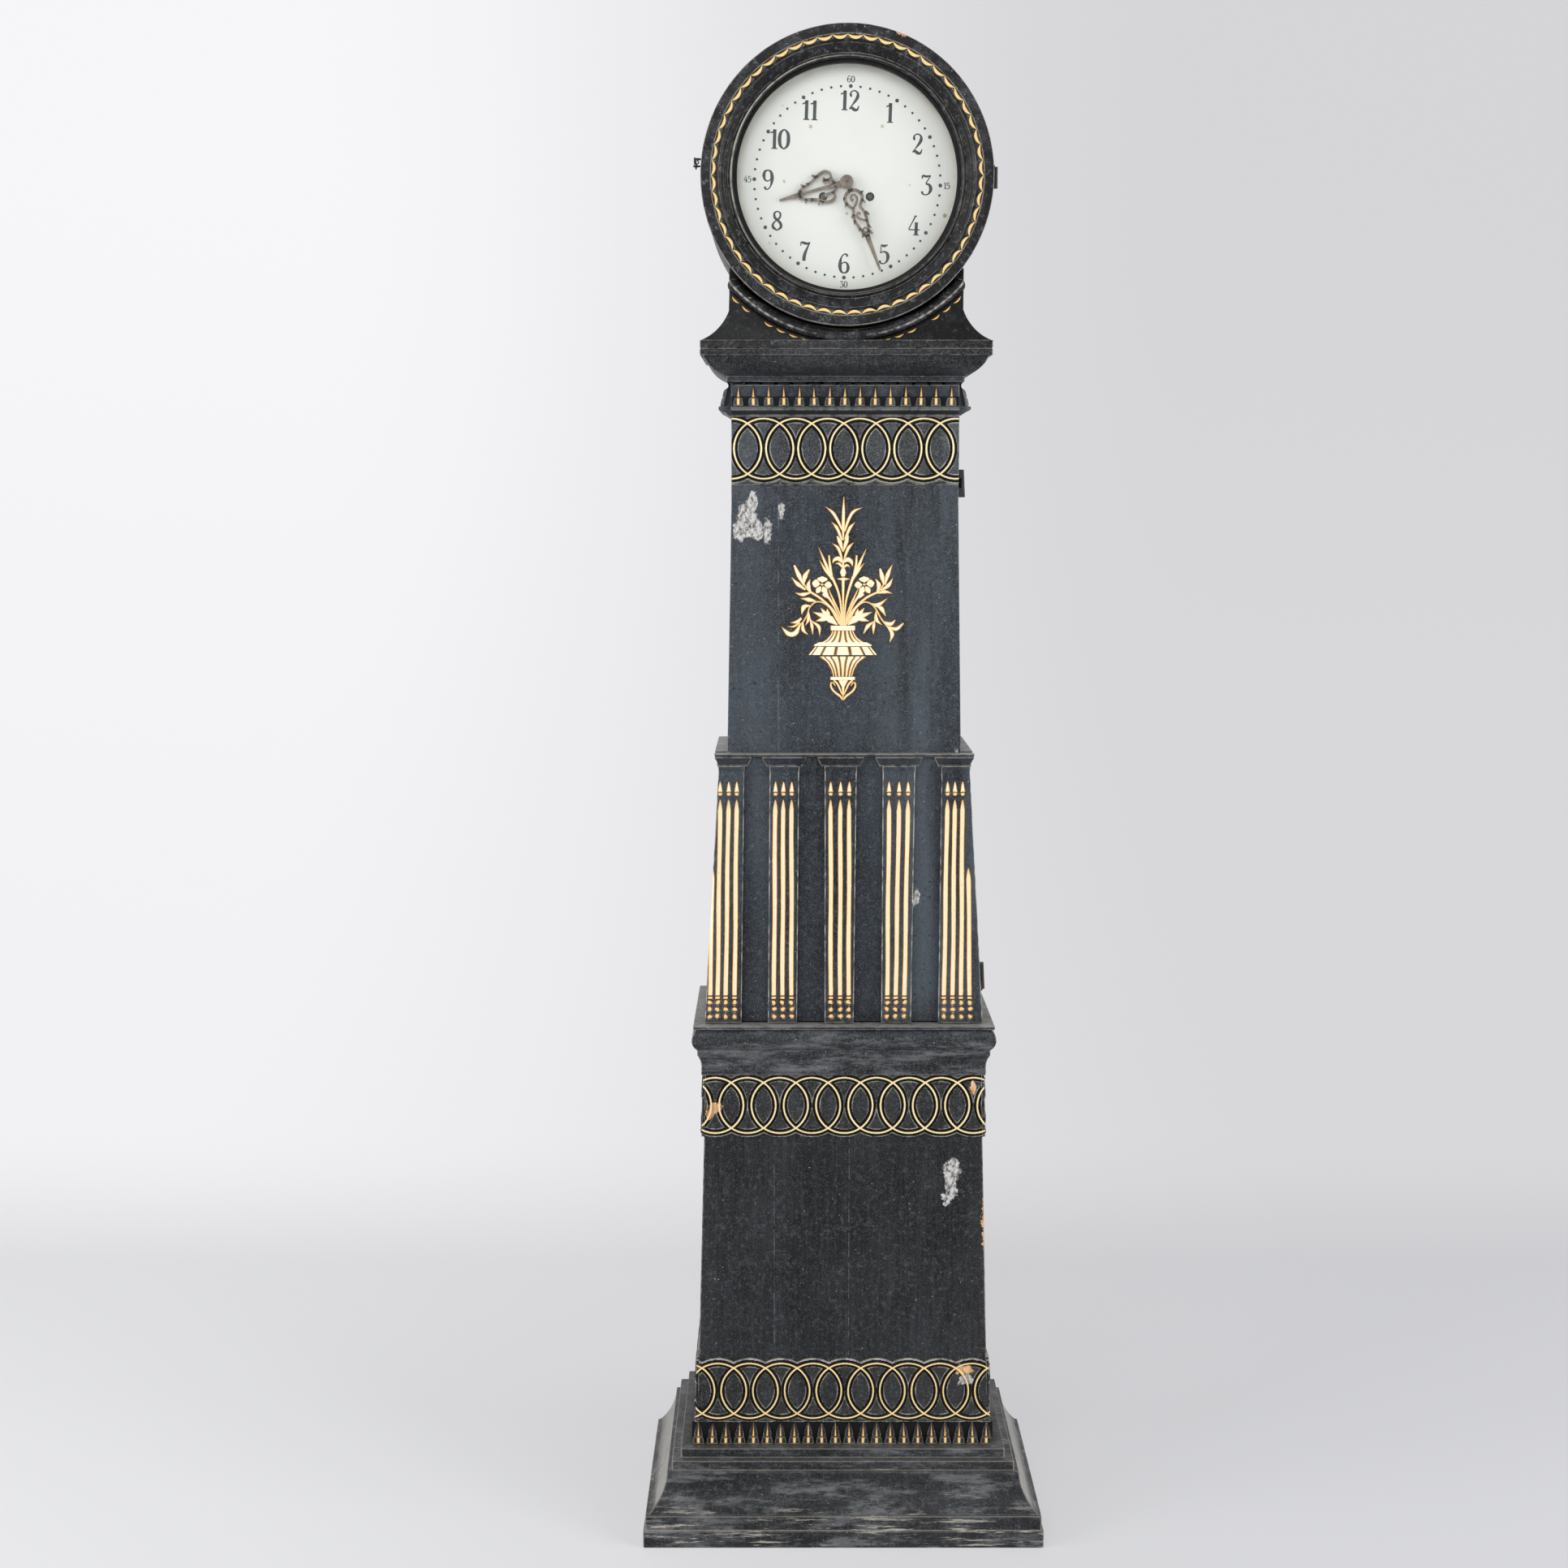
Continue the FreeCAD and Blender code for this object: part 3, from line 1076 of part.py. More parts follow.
def make_door_hinges(door, trunk_side):
    """Leaves of the two barrel hinges: on the door, and on the case with the pins."""
    low, high, axis = door_pin_line()
    door_leaves = []
    case_leaves = []
    for centre in (low, high):
        foot = centre - axis * HINGE_HALF_LENGTH
        length = 2 * HINGE_HALF_LENGTH
        barrel = Part.makeCylinder(HINGE_RADIUS, length, foot, axis)
        pin = Part.makeCylinder(HINGE_PIN_RADIUS, length, foot, axis)
        bore = Part.makeCylinder(HINGE_PIN_RADIUS + PIVOT_CLEARANCE, length, foot, axis)
        span = 2 * HINGE_KNUCKLE_HALF
        start = centre - axis * HINGE_KNUCKLE_HALF
        middle = Part.makeCylinder(HINGE_RADIUS + OVERRUN, span, start, axis)
        gap = PIVOT_CLEARANCE
        ends_start = start - axis * gap
        ends_space = Part.makeCylinder(HINGE_RADIUS + OVERRUN, span + 2 * gap, ends_start, axis)
        left = centre.x - HINGE_RADIUS - HINGE_LEAF_DEPTH
        right = centre.x
        z_low = centre.z - HINGE_HALF_LENGTH
        z_high = centre.z + HINGE_HALF_LENGTH
        leaf = block(left, right, centre.y - HINGE_LEAF_WIDTH, centre.y, z_low, z_high)
        door_leaves.append(leaf.fuse(barrel).cut(ends_space).cut(bore).cut(door))
        back = centre.y + HINGE_LEAF_WIDTH
        start_y = centre.y + DOOR_BACK_GAP + HINGE_LEAF_GAP
        leaf = block(left, right, start_y, back, z_low, z_high).common(middle)
        case_leaves.append(leaf.fuse(barrel.common(middle)).fuse(pin).cut(trunk_side))
    return Part.makeCompound(door_leaves), case_leaves


def make_hook():
    """Wire hook on the bezel's left edge, and the eye on the drum that it drops into."""
    z = HOOK_Z
    x = -HOOK_X
    wire = HOOK_WIRE_RADIUS
    rod_z = z + HOOK_LIFT
    tip_y = HOOK_EYE_Y
    rod = Part.makeCylinder(wire, tip_y - HOOK_PIVOT_Y, vec(x, HOOK_PIVOT_Y, rod_z), Y_AXIS)
    tip = Part.makeCylinder(wire, HOOK_DROP, vec(x, tip_y, rod_z - HOOK_DROP), Z_AXIS)
    corner = Part.makeSphere(wire, vec(x, tip_y, rod_z))
    pivot = Part.makeCylinder(2 * wire, 2 * wire, vec(x - wire, HOOK_PIVOT_Y, rod_z), X_AXIS)
    near_z = rod_z - wire - HEAD_Z
    rim_x = -math.sqrt(BEZEL_RADIUS ** 2 - near_z ** 2) - PIVOT_CLEARANCE
    stem_start = x + wire
    stem = Part.makeCylinder(wire, rim_x - stem_start, vec(stem_start, HOOK_PIVOT_Y, rod_z), X_AXIS)
    hook = rod.fuse(tip).fuse(corner).fuse(pivot).fuse(stem)
    eye = Part.makeTorus(HOOK_EYE_RADIUS - wire, wire, vec(x, tip_y, z), Z_AXIS)
    shank_start = x + HOOK_EYE_RADIUS - wire
    shank = Part.makeCylinder(wire, DRUM_WALL, vec(shank_start, tip_y, z), X_AXIS)
    eye = eye.fuse(shank).cut(rod_y(0, HEAD_Z, DRUM_RADIUS, -BACK_Y, BACK_Y))
    return hook, eye


def make_dial():
    """Round dial plate behind the head ring, with its centre and winding holes."""
    front = NECK_FRONT_Y + RING_THICK
    back = front + DIAL_THICK
    dial = rod_y(0, ARBOR_Z, DIAL_RADIUS, front, back)
    dial = dial.cut(rod_y(0, ARBOR_Z, DIAL_CENTRE_HOLE_RADIUS, front, back))
    for side in (-1, 1):
        x = side * WINDING_DX
        z = ARBOR_Z - WINDING_DROP
        dial = dial.cut(rod_y(x, z, WINDING_HOLE_RADIUS, front, back))
    return dial


def make_hand(length, tail, boss_radius, bore_radius, y, angle):
    """Flat tapering hand with a round boss, turned to its place on the dial."""
    tip = HAND_TIP_WIDTH / 2
    waist = HAND_WAIST_WIDTH / 2
    outline = [
        (-waist, ARBOR_Z - tail),
        (waist, ARBOR_Z - tail),
        (tip, ARBOR_Z + length),
        (-tip, ARBOR_Z + length),
    ]
    hand = plate_xz(outline, y, y + HAND_THICK)
    hand = hand.fuse(rod_y(0, ARBOR_Z, boss_radius, y, y + HAND_THICK))
    hand = hand.cut(rod_y(0, ARBOR_Z, bore_radius, y, y + HAND_THICK))
    hand.rotate(vec(0, 0, ARBOR_Z), Y_AXIS, angle)
    return hand


def gear_face(teeth, pitch_radius, addendum, dedendum, root_share, tip_share, turn, y):
    """Toothed outline with straight flanks, one tooth at the angle named turn."""
    step = 2 * math.pi / teeth
    points = []
    for index in range(teeth):
        middle = math.radians(turn) + index * step
        for share, reach in ((-root_share, -dedendum), (-tip_share, addendum),
                             (tip_share, addendum), (root_share, -dedendum)):
            angle = middle + share * step / 2
            radius = pitch_radius + reach
            points.append(vec(radius * math.sin(angle), y, radius * math.cos(angle)))
    return Part.Face(Part.makePolygon(points + points[:1]))


WHEEL_ROOT_SHARE = 0.62
WHEEL_TIP_SHARE = 0.22
LEAF_ROOT_SHARE = 0.42
LEAF_TIP_SHARE = 0.24
WHEEL_ADDENDUM_SHARE = 0.75
WHEEL_DEDENDUM_SHARE = 1.25
LEAF_ADDENDUM_SHARE = 0.75
LEAF_DEDENDUM_SHARE = 1.35


def make_wheel(teeth, module, y, thickness, turn=0.0):
    """Crossed-out wheel with four spokes, centred on the Y axis."""
    pitch = module * teeth / 2
    face = gear_face(teeth, pitch, module * WHEEL_ADDENDUM_SHARE, module * WHEEL_DEDENDUM_SHARE,
                     WHEEL_ROOT_SHARE, WHEEL_TIP_SHARE, turn, y)
    wheel = face.extrude(vec(0, thickness, 0))
    rim = pitch - module * WHEEL_DEDENDUM_SHARE - WHEEL_RIM
    if rim > WHEEL_HUB_RADIUS + WHEEL_RIM:
        room = rod_y(0, 0, rim, y, y + thickness).cut(rod_y(0, 0, WHEEL_HUB_RADIUS, y, y + thickness))
        half = WHEEL_SPOKE_HALF
        cross = block(-rim, rim, y, y + thickness, -half, half)
        cross = cross.fuse(block(-half, half, y, y + thickness, -rim, rim))
        wheel = wheel.cut(room.cut(cross))
    return wheel


def make_pinion(leaves, module, y, length, turn=0.0):
    """Small pinion with slim leaves."""
    pitch = module * leaves / 2
    face = gear_face(leaves, pitch, module * LEAF_ADDENDUM_SHARE, module * LEAF_DEDENDUM_SHARE,
                     LEAF_ROOT_SHARE, LEAF_TIP_SHARE, turn, y)
    return face.extrude(vec(0, length, 0))


def placed(shape, x, z):
    """Shape moved from the Y axis to its arbor's place."""
    shape.translate(vec(x, 0, z))
    return shape


def mesh_turn(followed, follower, teeth):
    """Turn of a pinion that puts a gap on the line to a wheel's tooth there."""
    dx = followed[0] - follower[0]
    dz = followed[1] - follower[1]
    toward = math.degrees(math.atan2(dx, dz))
    return toward + 180.0 / teeth


def tooth_turn(followed, follower, teeth):
    """Turn of a wheel that puts one of its teeth on the line to its pinion."""
    dx = follower[0] - followed[0]
    dz = follower[1] - followed[1]
    return math.degrees(math.atan2(dx, dz))


def train_places():
    """Arbor places (x, z) of both trains, worked out from teeth, modules and offsets."""
    centre = (0.0, ARBOR_Z)
    time_barrel = (WINDING_DX, ARBOR_Z - WINDING_DROP)
    strike_barrel = (-WINDING_DX, ARBOR_Z - WINDING_DROP)

    def above(origin, distance, dx):
        """Place at a distance from another arbor, with a given sideways offset."""
        return origin[0] + dx, origin[1] + math.sqrt(distance ** 2 - dx ** 2)

    third_distance = THIRD_MODULE * (CENTRE_WHEEL_TEETH + PINION_LEAVES) / 2
    escape_distance = ESCAPE_PINION_MODULE * (THIRD_WHEEL_TEETH + PINION_LEAVES) / 2
    pin_distance = STRIKE_MODULE * (STRIKE_GREAT_TEETH + PINION_LEAVES) / 2
    fly_distance = FLY_MODULE * (PIN_WHEEL_TEETH + PINION_LEAVES) / 2
    third = above(centre, third_distance, THIRD_ARBOR_DX)
    escape = above(third, escape_distance, -THIRD_ARBOR_DX)
    pin = above(strike_barrel, pin_distance, PIN_ARBOR_DX)
    fly = above(pin, fly_distance, FLY_ARBOR_DX)
    return {
        "centre": centre,
        "time_barrel": time_barrel,
        "strike_barrel": strike_barrel,
        "third": third,
        "escape": escape,
        "anchor": (0.0, escape[1] + ANCHOR_RISE),
        "pin": pin,
        "fly": fly,
        "minute": (0.0, ARBOR_Z - MOTION_DISTANCE),
        "hammer": (HAMMER_DX, ARBOR_Z + HAMMER_DZ),
    }


PLACES = train_places()
PLATE_FOOT_Z = CHEEK_TOP_Z + SEAT_THICK
PLATE_TOP_Z = PLATE_FOOT_Z + PLATE_HEIGHT
PLATE_BACK_FACE_Y = BACK_PLATE_Y + PLATE_THICK
ARBOR_ROOM_SHARES = (
    ("centre", CENTRE_ARBOR_RADIUS),
    ("time_barrel", BARREL_ARBOR_RADIUS),
    ("strike_barrel", BARREL_ARBOR_RADIUS),
    ("third", ARBOR_RADIUS),
    ("escape", ARBOR_RADIUS),
    ("anchor", ARBOR_RADIUS),
    ("pin", ARBOR_RADIUS),
    ("fly", ARBOR_RADIUS),
    ("hammer", ARBOR_RADIUS),
)


def drill_plate(plate, y_low, y_high):
    """Pivot holes of both trains through one plate."""
    for name, radius in ARBOR_ROOM_SHARES:
        x, z = PLACES[name]
        plate = plate.cut(rod_y(x, z, radius + PIVOT_CLEARANCE, y_low, y_high))
    return plate


def line_x(side):
    """Place of a gut line: it leaves the left of its barrel, so the weight drives it."""
    return side * WINDING_DX - BARREL_RADIUS - LINE_RADIUS


def make_seat_board():
    """Board across the cheeks, slotted for the lines and open behind for the pendulum."""
    half = TRUNK_TOP_HALF
    foot = CHEEK_TOP_Z
    board = block(-half, half, SEAT_FRONT_Y, SEAT_BACK_Y, foot, PLATE_FOOT_Z)
    line_y = (BARREL_FRONT_Y + BARREL_BACK_Y) / 2
    for side in (-1, 1):
        x_low = line_x(side) - LINE_SLOT_WIDTH / 2
        y_low = line_y - LINE_SLOT_LENGTH / 2
        x_high = x_low + LINE_SLOT_WIDTH
        slot = block(x_low, x_high, y_low, y_low + LINE_SLOT_LENGTH, foot, PLATE_FOOT_Z)
        board = board.cut(slot)
    return board


def make_front_plate():
    """Front plate with the stud of the minute wheel."""
    back = FRONT_PLATE_Y + PLATE_THICK
    half = PLATE_HALF_WIDTH
    plate = block(-half, half, FRONT_PLATE_Y, back, PLATE_FOOT_Z, PLATE_TOP_Z)
    plate = drill_plate(plate, FRONT_PLATE_Y, back)
    x, z = PLACES["minute"]
    stud_end = MINUTE_PINION_Y - ARBOR_SHOULDER
    return plate.fuse(rod_y(x, z, ARBOR_RADIUS, stud_end, FRONT_PLATE_Y))


def make_back_plate():
    """Back plate with its four pillars, the pendulum cock and the bell standard."""
    half = PLATE_HALF_WIDTH
    plate = block(-half, half, BACK_PLATE_Y, PLATE_BACK_FACE_Y, PLATE_FOOT_Z, PLATE_TOP_Z)
    plate = drill_plate(plate, BACK_PLATE_Y, PLATE_BACK_FACE_Y)
    for side in (-1, 1):
        x = side * (half - PILLAR_INSET)
        for z in (PLATE_FOOT_Z + PILLAR_INSET, PLATE_TOP_Z - PILLAR_INSET):
            pillar = rod_y(x, z, PILLAR_RADIUS, FRONT_PLATE_Y + PLATE_THICK, BACK_PLATE_Y)
            plate = plate.fuse(pillar)
    x, z = PLACES["anchor"]
    width = COCK_HALF_WIDTH
    arm_low = z + COCK_RISE
    arm_high = arm_low + COCK_ARM_THICK
    strap_front = COCK_BACK_Y - COCK_STRAP_THICK
    arm = block(-width, width, PLATE_BACK_FACE_Y, COCK_BACK_Y, arm_low, arm_high)
    strap = block(-width, width, strap_front, COCK_BACK_Y, z - width / 2, arm_high)
    pin = rod_y(x, z, SUSPENSION_PIN_RADIUS, ROD_FRONT_Y - JOINT_GAP, strap_front)
    standard_foot = PLATE_TOP_Z - PILLAR_INSET
    height = BELL_ROD_TOP_Z - standard_foot
    middle_y = BACK_PLATE_Y + PLATE_THICK / 2
    standard = Part.makeCylinder(BELL_ROD_RADIUS, height, vec(BELL_DX, middle_y, standard_foot))
    return plate.fuse(arm).fuse(strap).fuse(pin).fuse(standard)


def make_barrel(place, great_y):
    """Winding barrel on its arbor, which reaches forward into the dial's winding hole."""
    x, z = place
    front = NECK_FRONT_Y + RING_THICK
    arbor = rod_y(x, z, BARREL_ARBOR_RADIUS, front, PLATE_BACK_FACE_Y)
    drum = rod_y(x, z, BARREL_RADIUS, BARREL_FRONT_Y, BARREL_BACK_Y)
    flange_back = BARREL_FRONT_Y + BARREL_FLANGE_THICK
    flange = rod_y(x, z, BARREL_FLANGE_RADIUS, BARREL_FRONT_Y, flange_back)
    rear_front = BARREL_BACK_Y - BARREL_FLANGE_THICK
    rear = rod_y(x, z, BARREL_FLANGE_RADIUS, rear_front, BARREL_BACK_Y)
    collar_end = great_y - PIVOT_CLEARANCE
    collar = rod_y(x, z, WHEEL_HUB_RADIUS, BARREL_BACK_Y, collar_end)
    return arbor.fuse(drum).fuse(flange).fuse(rear).fuse(collar)


def make_great_wheel(place, follower, teeth, module, y):
    """Great wheel, free to turn on the barrel's arbor."""
    wheel = make_wheel(teeth, module, y, WHEEL_THICK, tooth_turn(place, follower, teeth))
    wheel = wheel.cut(rod_y(0, 0, BARREL_ARBOR_RADIUS + PIVOT_CLEARANCE, y, y + WHEEL_THICK))
    return placed(wheel, *place)


def train_arbor(name, pinion, wheel, y_low, y_high, radius=ARBOR_RADIUS):
    """Arbor with the pinion and the wheel that it carries, moved to its place."""
    arbor = rod_y(0, 0, radius, y_low, y_high)
    for piece in (pinion, wheel):
        if piece is not None:
            arbor = arbor.fuse(piece)
    return placed(arbor, *PLACES[name])


def great_module():
    """Module of the going great wheel, from the distance between the arbors."""
    distance = math.hypot(WINDING_DX, WINDING_DROP)
    return 2 * distance / (TIME_GREAT_TEETH + PINION_LEAVES)


def make_centre_arbor():
    """Centre arbor: pinion, centre wheel, cannon wheel and the seat of the minute hand."""
    centre = PLACES["centre"]
    leaf_turn = mesh_turn(PLACES["time_barrel"], centre, PINION_LEAVES)
    pinion = make_pinion(PINION_LEAVES, great_module(), CENTRE_PINION_Y, PINION_LENGTH, leaf_turn)
    wheel_turn = tooth_turn(centre, PLACES["third"], CENTRE_WHEEL_TEETH)
    wheel = make_wheel(CENTRE_WHEEL_TEETH, THIRD_MODULE, CENTRE_WHEEL_Y, WHEEL_THICK, wheel_turn)
    arbor = train_arbor("centre", pinion, wheel, MINUTE_HAND_Y - ARBOR_SHOULDER,
                        PLATE_BACK_FACE_Y, CENTRE_ARBOR_RADIUS)
    cannon_module = 2 * MOTION_DISTANCE / (CANNON_TEETH + MINUTE_WHEEL_TEETH)
    cannon = make_pinion(CANNON_TEETH, cannon_module, CANNON_Y, WHEEL_THICK,
                         mesh_turn(PLACES["minute"], centre, CANNON_TEETH))
    return arbor.fuse(placed(cannon, *centre))


def make_third_wheel():
    """Third arbor with its pinion and wheel."""
    place = PLACES["third"]
    pinion = make_pinion(PINION_LEAVES, THIRD_MODULE, THIRD_PINION_Y, PINION_LENGTH,
                         mesh_turn(PLACES["centre"], place, PINION_LEAVES))
    wheel = make_wheel(THIRD_WHEEL_TEETH, ESCAPE_PINION_MODULE, THIRD_WHEEL_Y, WHEEL_THICK,
                       tooth_turn(place, PLACES["escape"], THIRD_WHEEL_TEETH))
    return train_arbor("third", pinion, wheel, FRONT_PLATE_Y, PLATE_BACK_FACE_Y)


def make_escape_wheel():
    """Escape arbor: pinion, and the wheel with thirty slanting teeth."""
    place = PLACES["escape"]
    pinion = make_pinion(PINION_LEAVES, ESCAPE_PINION_MODULE, ESCAPE_PINION_Y, PINION_LENGTH,
                         mesh_turn(PLACES["third"], place, PINION_LEAVES))
    step = 2 * math.pi / ESCAPE_TEETH
    root = ESCAPE_RADIUS - ESCAPE_TOOTH_DEPTH
    points = []
    for index in range(ESCAPE_TEETH):
        angle = index * step
        points.append(vec(root * math.sin(angle), ESCAPE_WHEEL_Y, root * math.cos(angle)))
        lean = angle + step / 3
        tip_x = ESCAPE_RADIUS * math.sin(lean)
        points.append(vec(tip_x, ESCAPE_WHEEL_Y, ESCAPE_RADIUS * math.cos(lean)))
    rim = Part.Face(Part.makePolygon(points + points[:1]))
    wheel = rim.extrude(vec(0, WHEEL_THICK, 0))
    back = ESCAPE_WHEEL_Y + WHEEL_THICK
    room = rod_y(0, 0, root - WHEEL_RIM / 2, ESCAPE_WHEEL_Y, back)
    room = room.cut(rod_y(0, 0, WHEEL_HUB_RADIUS, ESCAPE_WHEEL_Y, back))
    half = WHEEL_SPOKE_HALF
    cross = block(-root, root, ESCAPE_WHEEL_Y, back, -half, half)
    cross = cross.fuse(block(-half, half, ESCAPE_WHEEL_Y, back, -root, root))
    wheel = wheel.cut(room.cut(cross))
    return train_arbor("escape", pinion, wheel, FRONT_PLATE_Y, PLATE_BACK_FACE_Y)


def make_anchor():
    """Anchor with two pallets over the escape wheel, its arbor, and the crutch behind."""
    x, z = PLACES["anchor"]
    escape_z = PLACES["escape"][1]
    front = ESCAPE_WHEEL_Y
    back = front + ANCHOR_THICK
    reach = ESCAPE_RADIUS + PALLET_CLEARANCE
    foot_x = reach * PALLET_SPAN_SHARE
    foot_z = escape_z + math.sqrt(reach ** 2 - foot_x ** 2)
    width = ANCHOR_ARM_WIDTH
    arm = [
        (0, z - width / 2),
        (foot_x, foot_z + width),
        (foot_x, foot_z),
        (foot_x + width, foot_z + width / 2),
        (foot_x + width, foot_z + 2 * width),
        (0, z + width),
    ]
    right = plate_xz(arm, front, back)
    anchor = right.fuse(mirrored(right)).fuse(rod_y(x, z, ANCHOR_BOSS_RADIUS, front, back))
    anchor = anchor.fuse(rod_y(x, z, ARBOR_RADIUS, FRONT_PLATE_Y, CRUTCH_BACK_Y))
    half = CRUTCH_HALF_WIDTH
    low = z - CRUTCH_LENGTH
    crutch = block(-half, half, CRUTCH_FRONT_Y, CRUTCH_BACK_Y, low - half, z + half)
    pin = rod_y(x, low, CRUTCH_PIN_RADIUS, CRUTCH_BACK_Y, ROD_BACK_Y)
    return anchor.fuse(crutch).fuse(pin)


def make_pendulum_rod():
    """Flat rod with the eye over the cock's pin and a hole for the crutch's pin."""
    x, z = PLACES["anchor"]
    half = ROD_WIDTH / 2
    low = z - PENDULUM_LENGTH - BOB_RADIUS - ROD_TAIL
    rod = block(-half, half, ROD_FRONT_Y, ROD_BACK_Y, low, z)
    rod = rod.fuse(rod_y(x, z, ROD_HEAD_RADIUS, ROD_FRONT_Y, ROD_BACK_Y))
    hole = SUSPENSION_PIN_RADIUS + PIVOT_CLEARANCE
    rod = rod.cut(rod_y(x, z, hole, ROD_FRONT_Y, ROD_BACK_Y))
    pin_hole = CRUTCH_PIN_RADIUS + CRUTCH_PIN_CLEARANCE
    return rod.cut(rod_y(x, z - CRUTCH_LENGTH, pin_hole, ROD_FRONT_Y, ROD_BACK_Y))


def make_bob():
    """Lens-shaped bob, slotted for the rod."""
    z = PLACES["anchor"][1] - PENDULUM_LENGTH
    middle = (ROD_FRONT_Y + ROD_BACK_Y) / 2
    half = BOB_THICK / 2
    edge = BOB_EDGE / 2
    share_radius = BOB_RADIUS * math.sqrt(0.5)
    share_half = edge + (half - edge) / 2
    section = [
        (0, middle - half),
        (share_radius, middle - share_half, BOB_RADIUS, middle - edge),
        (BOB_RADIUS, middle + edge),
        (share_radius, middle + share_half, 0, middle + half),
    ]
    face = face_from(section, lambda r, y: vec(r, y, z))
    bob = face.revolve(vec(0, 0, z), Y_AXIS, 360)
    slot = ROD_WIDTH / 2
    high = z + BOB_RADIUS
    return bob.cut(block(-slot, slot, ROD_FRONT_Y, ROD_BACK_Y, z - BOB_RADIUS, high))


def make_rating_nut():
    """Nut under the bob."""
    z = PLACES["anchor"][1] - PENDULUM_LENGTH - BOB_RADIUS - NUT_HEIGHT
    middle = (ROD_FRONT_Y + ROD_BACK_Y) / 2
    nut = Part.makeCylinder(NUT_RADIUS, NUT_HEIGHT, vec(0, middle, z))
    half = ROD_WIDTH / 2
    return nut.cut(block(-half, half, ROD_FRONT_Y, ROD_BACK_Y, z, z + NUT_HEIGHT))


def make_minute_wheel():
    """Motion work: minute wheel with its pinion, free on the front plate's stud."""
    minute = PLACES["minute"]
    centre = PLACES["centre"]
    wheel_module = 2 * MOTION_DISTANCE / (CANNON_TEETH + MINUTE_WHEEL_TEETH)
    pinion_module = 2 * MOTION_DISTANCE / (MINUTE_PINION_LEAVES + HOUR_WHEEL_TEETH)
    wheel = make_wheel(MINUTE_WHEEL_TEETH, wheel_module, CANNON_Y, WHEEL_THICK,
                       tooth_turn(minute, centre, MINUTE_WHEEL_TEETH))
    length = CANNON_Y - MINUTE_PINION_Y
    pinion = make_pinion(MINUTE_PINION_LEAVES, pinion_module, MINUTE_PINION_Y, length,
                         mesh_turn(centre, minute, MINUTE_PINION_LEAVES))
    back = CANNON_Y + WHEEL_THICK
    bore = rod_y(0, 0, ARBOR_RADIUS + PIVOT_CLEARANCE, MINUTE_PINION_Y, back)
    return placed(wheel.fuse(pinion).cut(bore), *minute)


def make_hour_wheel():
    """Hour wheel on the pipe that carries the hour hand through the dial."""
    centre = PLACES["centre"]
    module = 2 * MOTION_DISTANCE / (MINUTE_PINION_LEAVES + HOUR_WHEEL_TEETH)
    wheel = make_wheel(HOUR_WHEEL_TEETH, module, HOUR_WHEEL_Y, WHEEL_THICK,
                       tooth_turn(centre, PLACES["minute"], HOUR_WHEEL_TEETH))
    back = HOUR_WHEEL_Y + WHEEL_THICK
    pipe = rod_y(0, 0, HOUR_PIPE_RADIUS, HOUR_HAND_Y, back)
    bore = rod_y(0, 0, CENTRE_ARBOR_RADIUS + HOUR_PIPE_CLEARANCE, HOUR_HAND_Y, back)
    return placed(wheel.fuse(pipe).cut(bore), *centre)


def make_pin_wheel():
    """Pin wheel of the striking train, with eight pins that lift the hammer."""
    place = PLACES["pin"]
    pinion = make_pinion(PINION_LEAVES, STRIKE_MODULE, PIN_PINION_Y, PINION_LENGTH,
                         mesh_turn(PLACES["strike_barrel"], place, PINION_LEAVES))
    wheel = make_wheel(PIN_WHEEL_TEETH, FLY_MODULE, PIN_WHEEL_Y, WHEEL_THICK,
                       tooth_turn(place, PLACES["fly"], PIN_WHEEL_TEETH))
    start = PIN_WHEEL_Y + WHEEL_THICK
    for index in range(PIN_COUNT):
        angle = 2 * math.pi * index / PIN_COUNT
        x = PIN_CIRCLE_RADIUS * math.sin(angle)
        z = PIN_CIRCLE_RADIUS * math.cos(angle)
        wheel = wheel.fuse(rod_y(x, z, PIN_RADIUS, start, start + PIN_LENGTH))
    return train_arbor("pin", pinion, wheel, FRONT_PLATE_Y, PLATE_BACK_FACE_Y)


def make_fly():
    """Air brake of the striking train: its pinion and two flat vanes."""
    place = PLACES["fly"]
    pinion = make_pinion(PINION_LEAVES, FLY_MODULE, FLY_PINION_Y, PINION_LENGTH,
                         mesh_turn(PLACES["pin"], place, PINION_LEAVES))
    half = FLY_VANE_THICK / 2
    vane = block(-FLY_VANE_RADIUS, FLY_VANE_RADIUS, FLY_VANE_FRONT_Y, FLY_VANE_BACK_Y, -half, half)
    return train_arbor("fly", pinion, vane, FRONT_PLATE_Y, PLATE_BACK_FACE_Y)


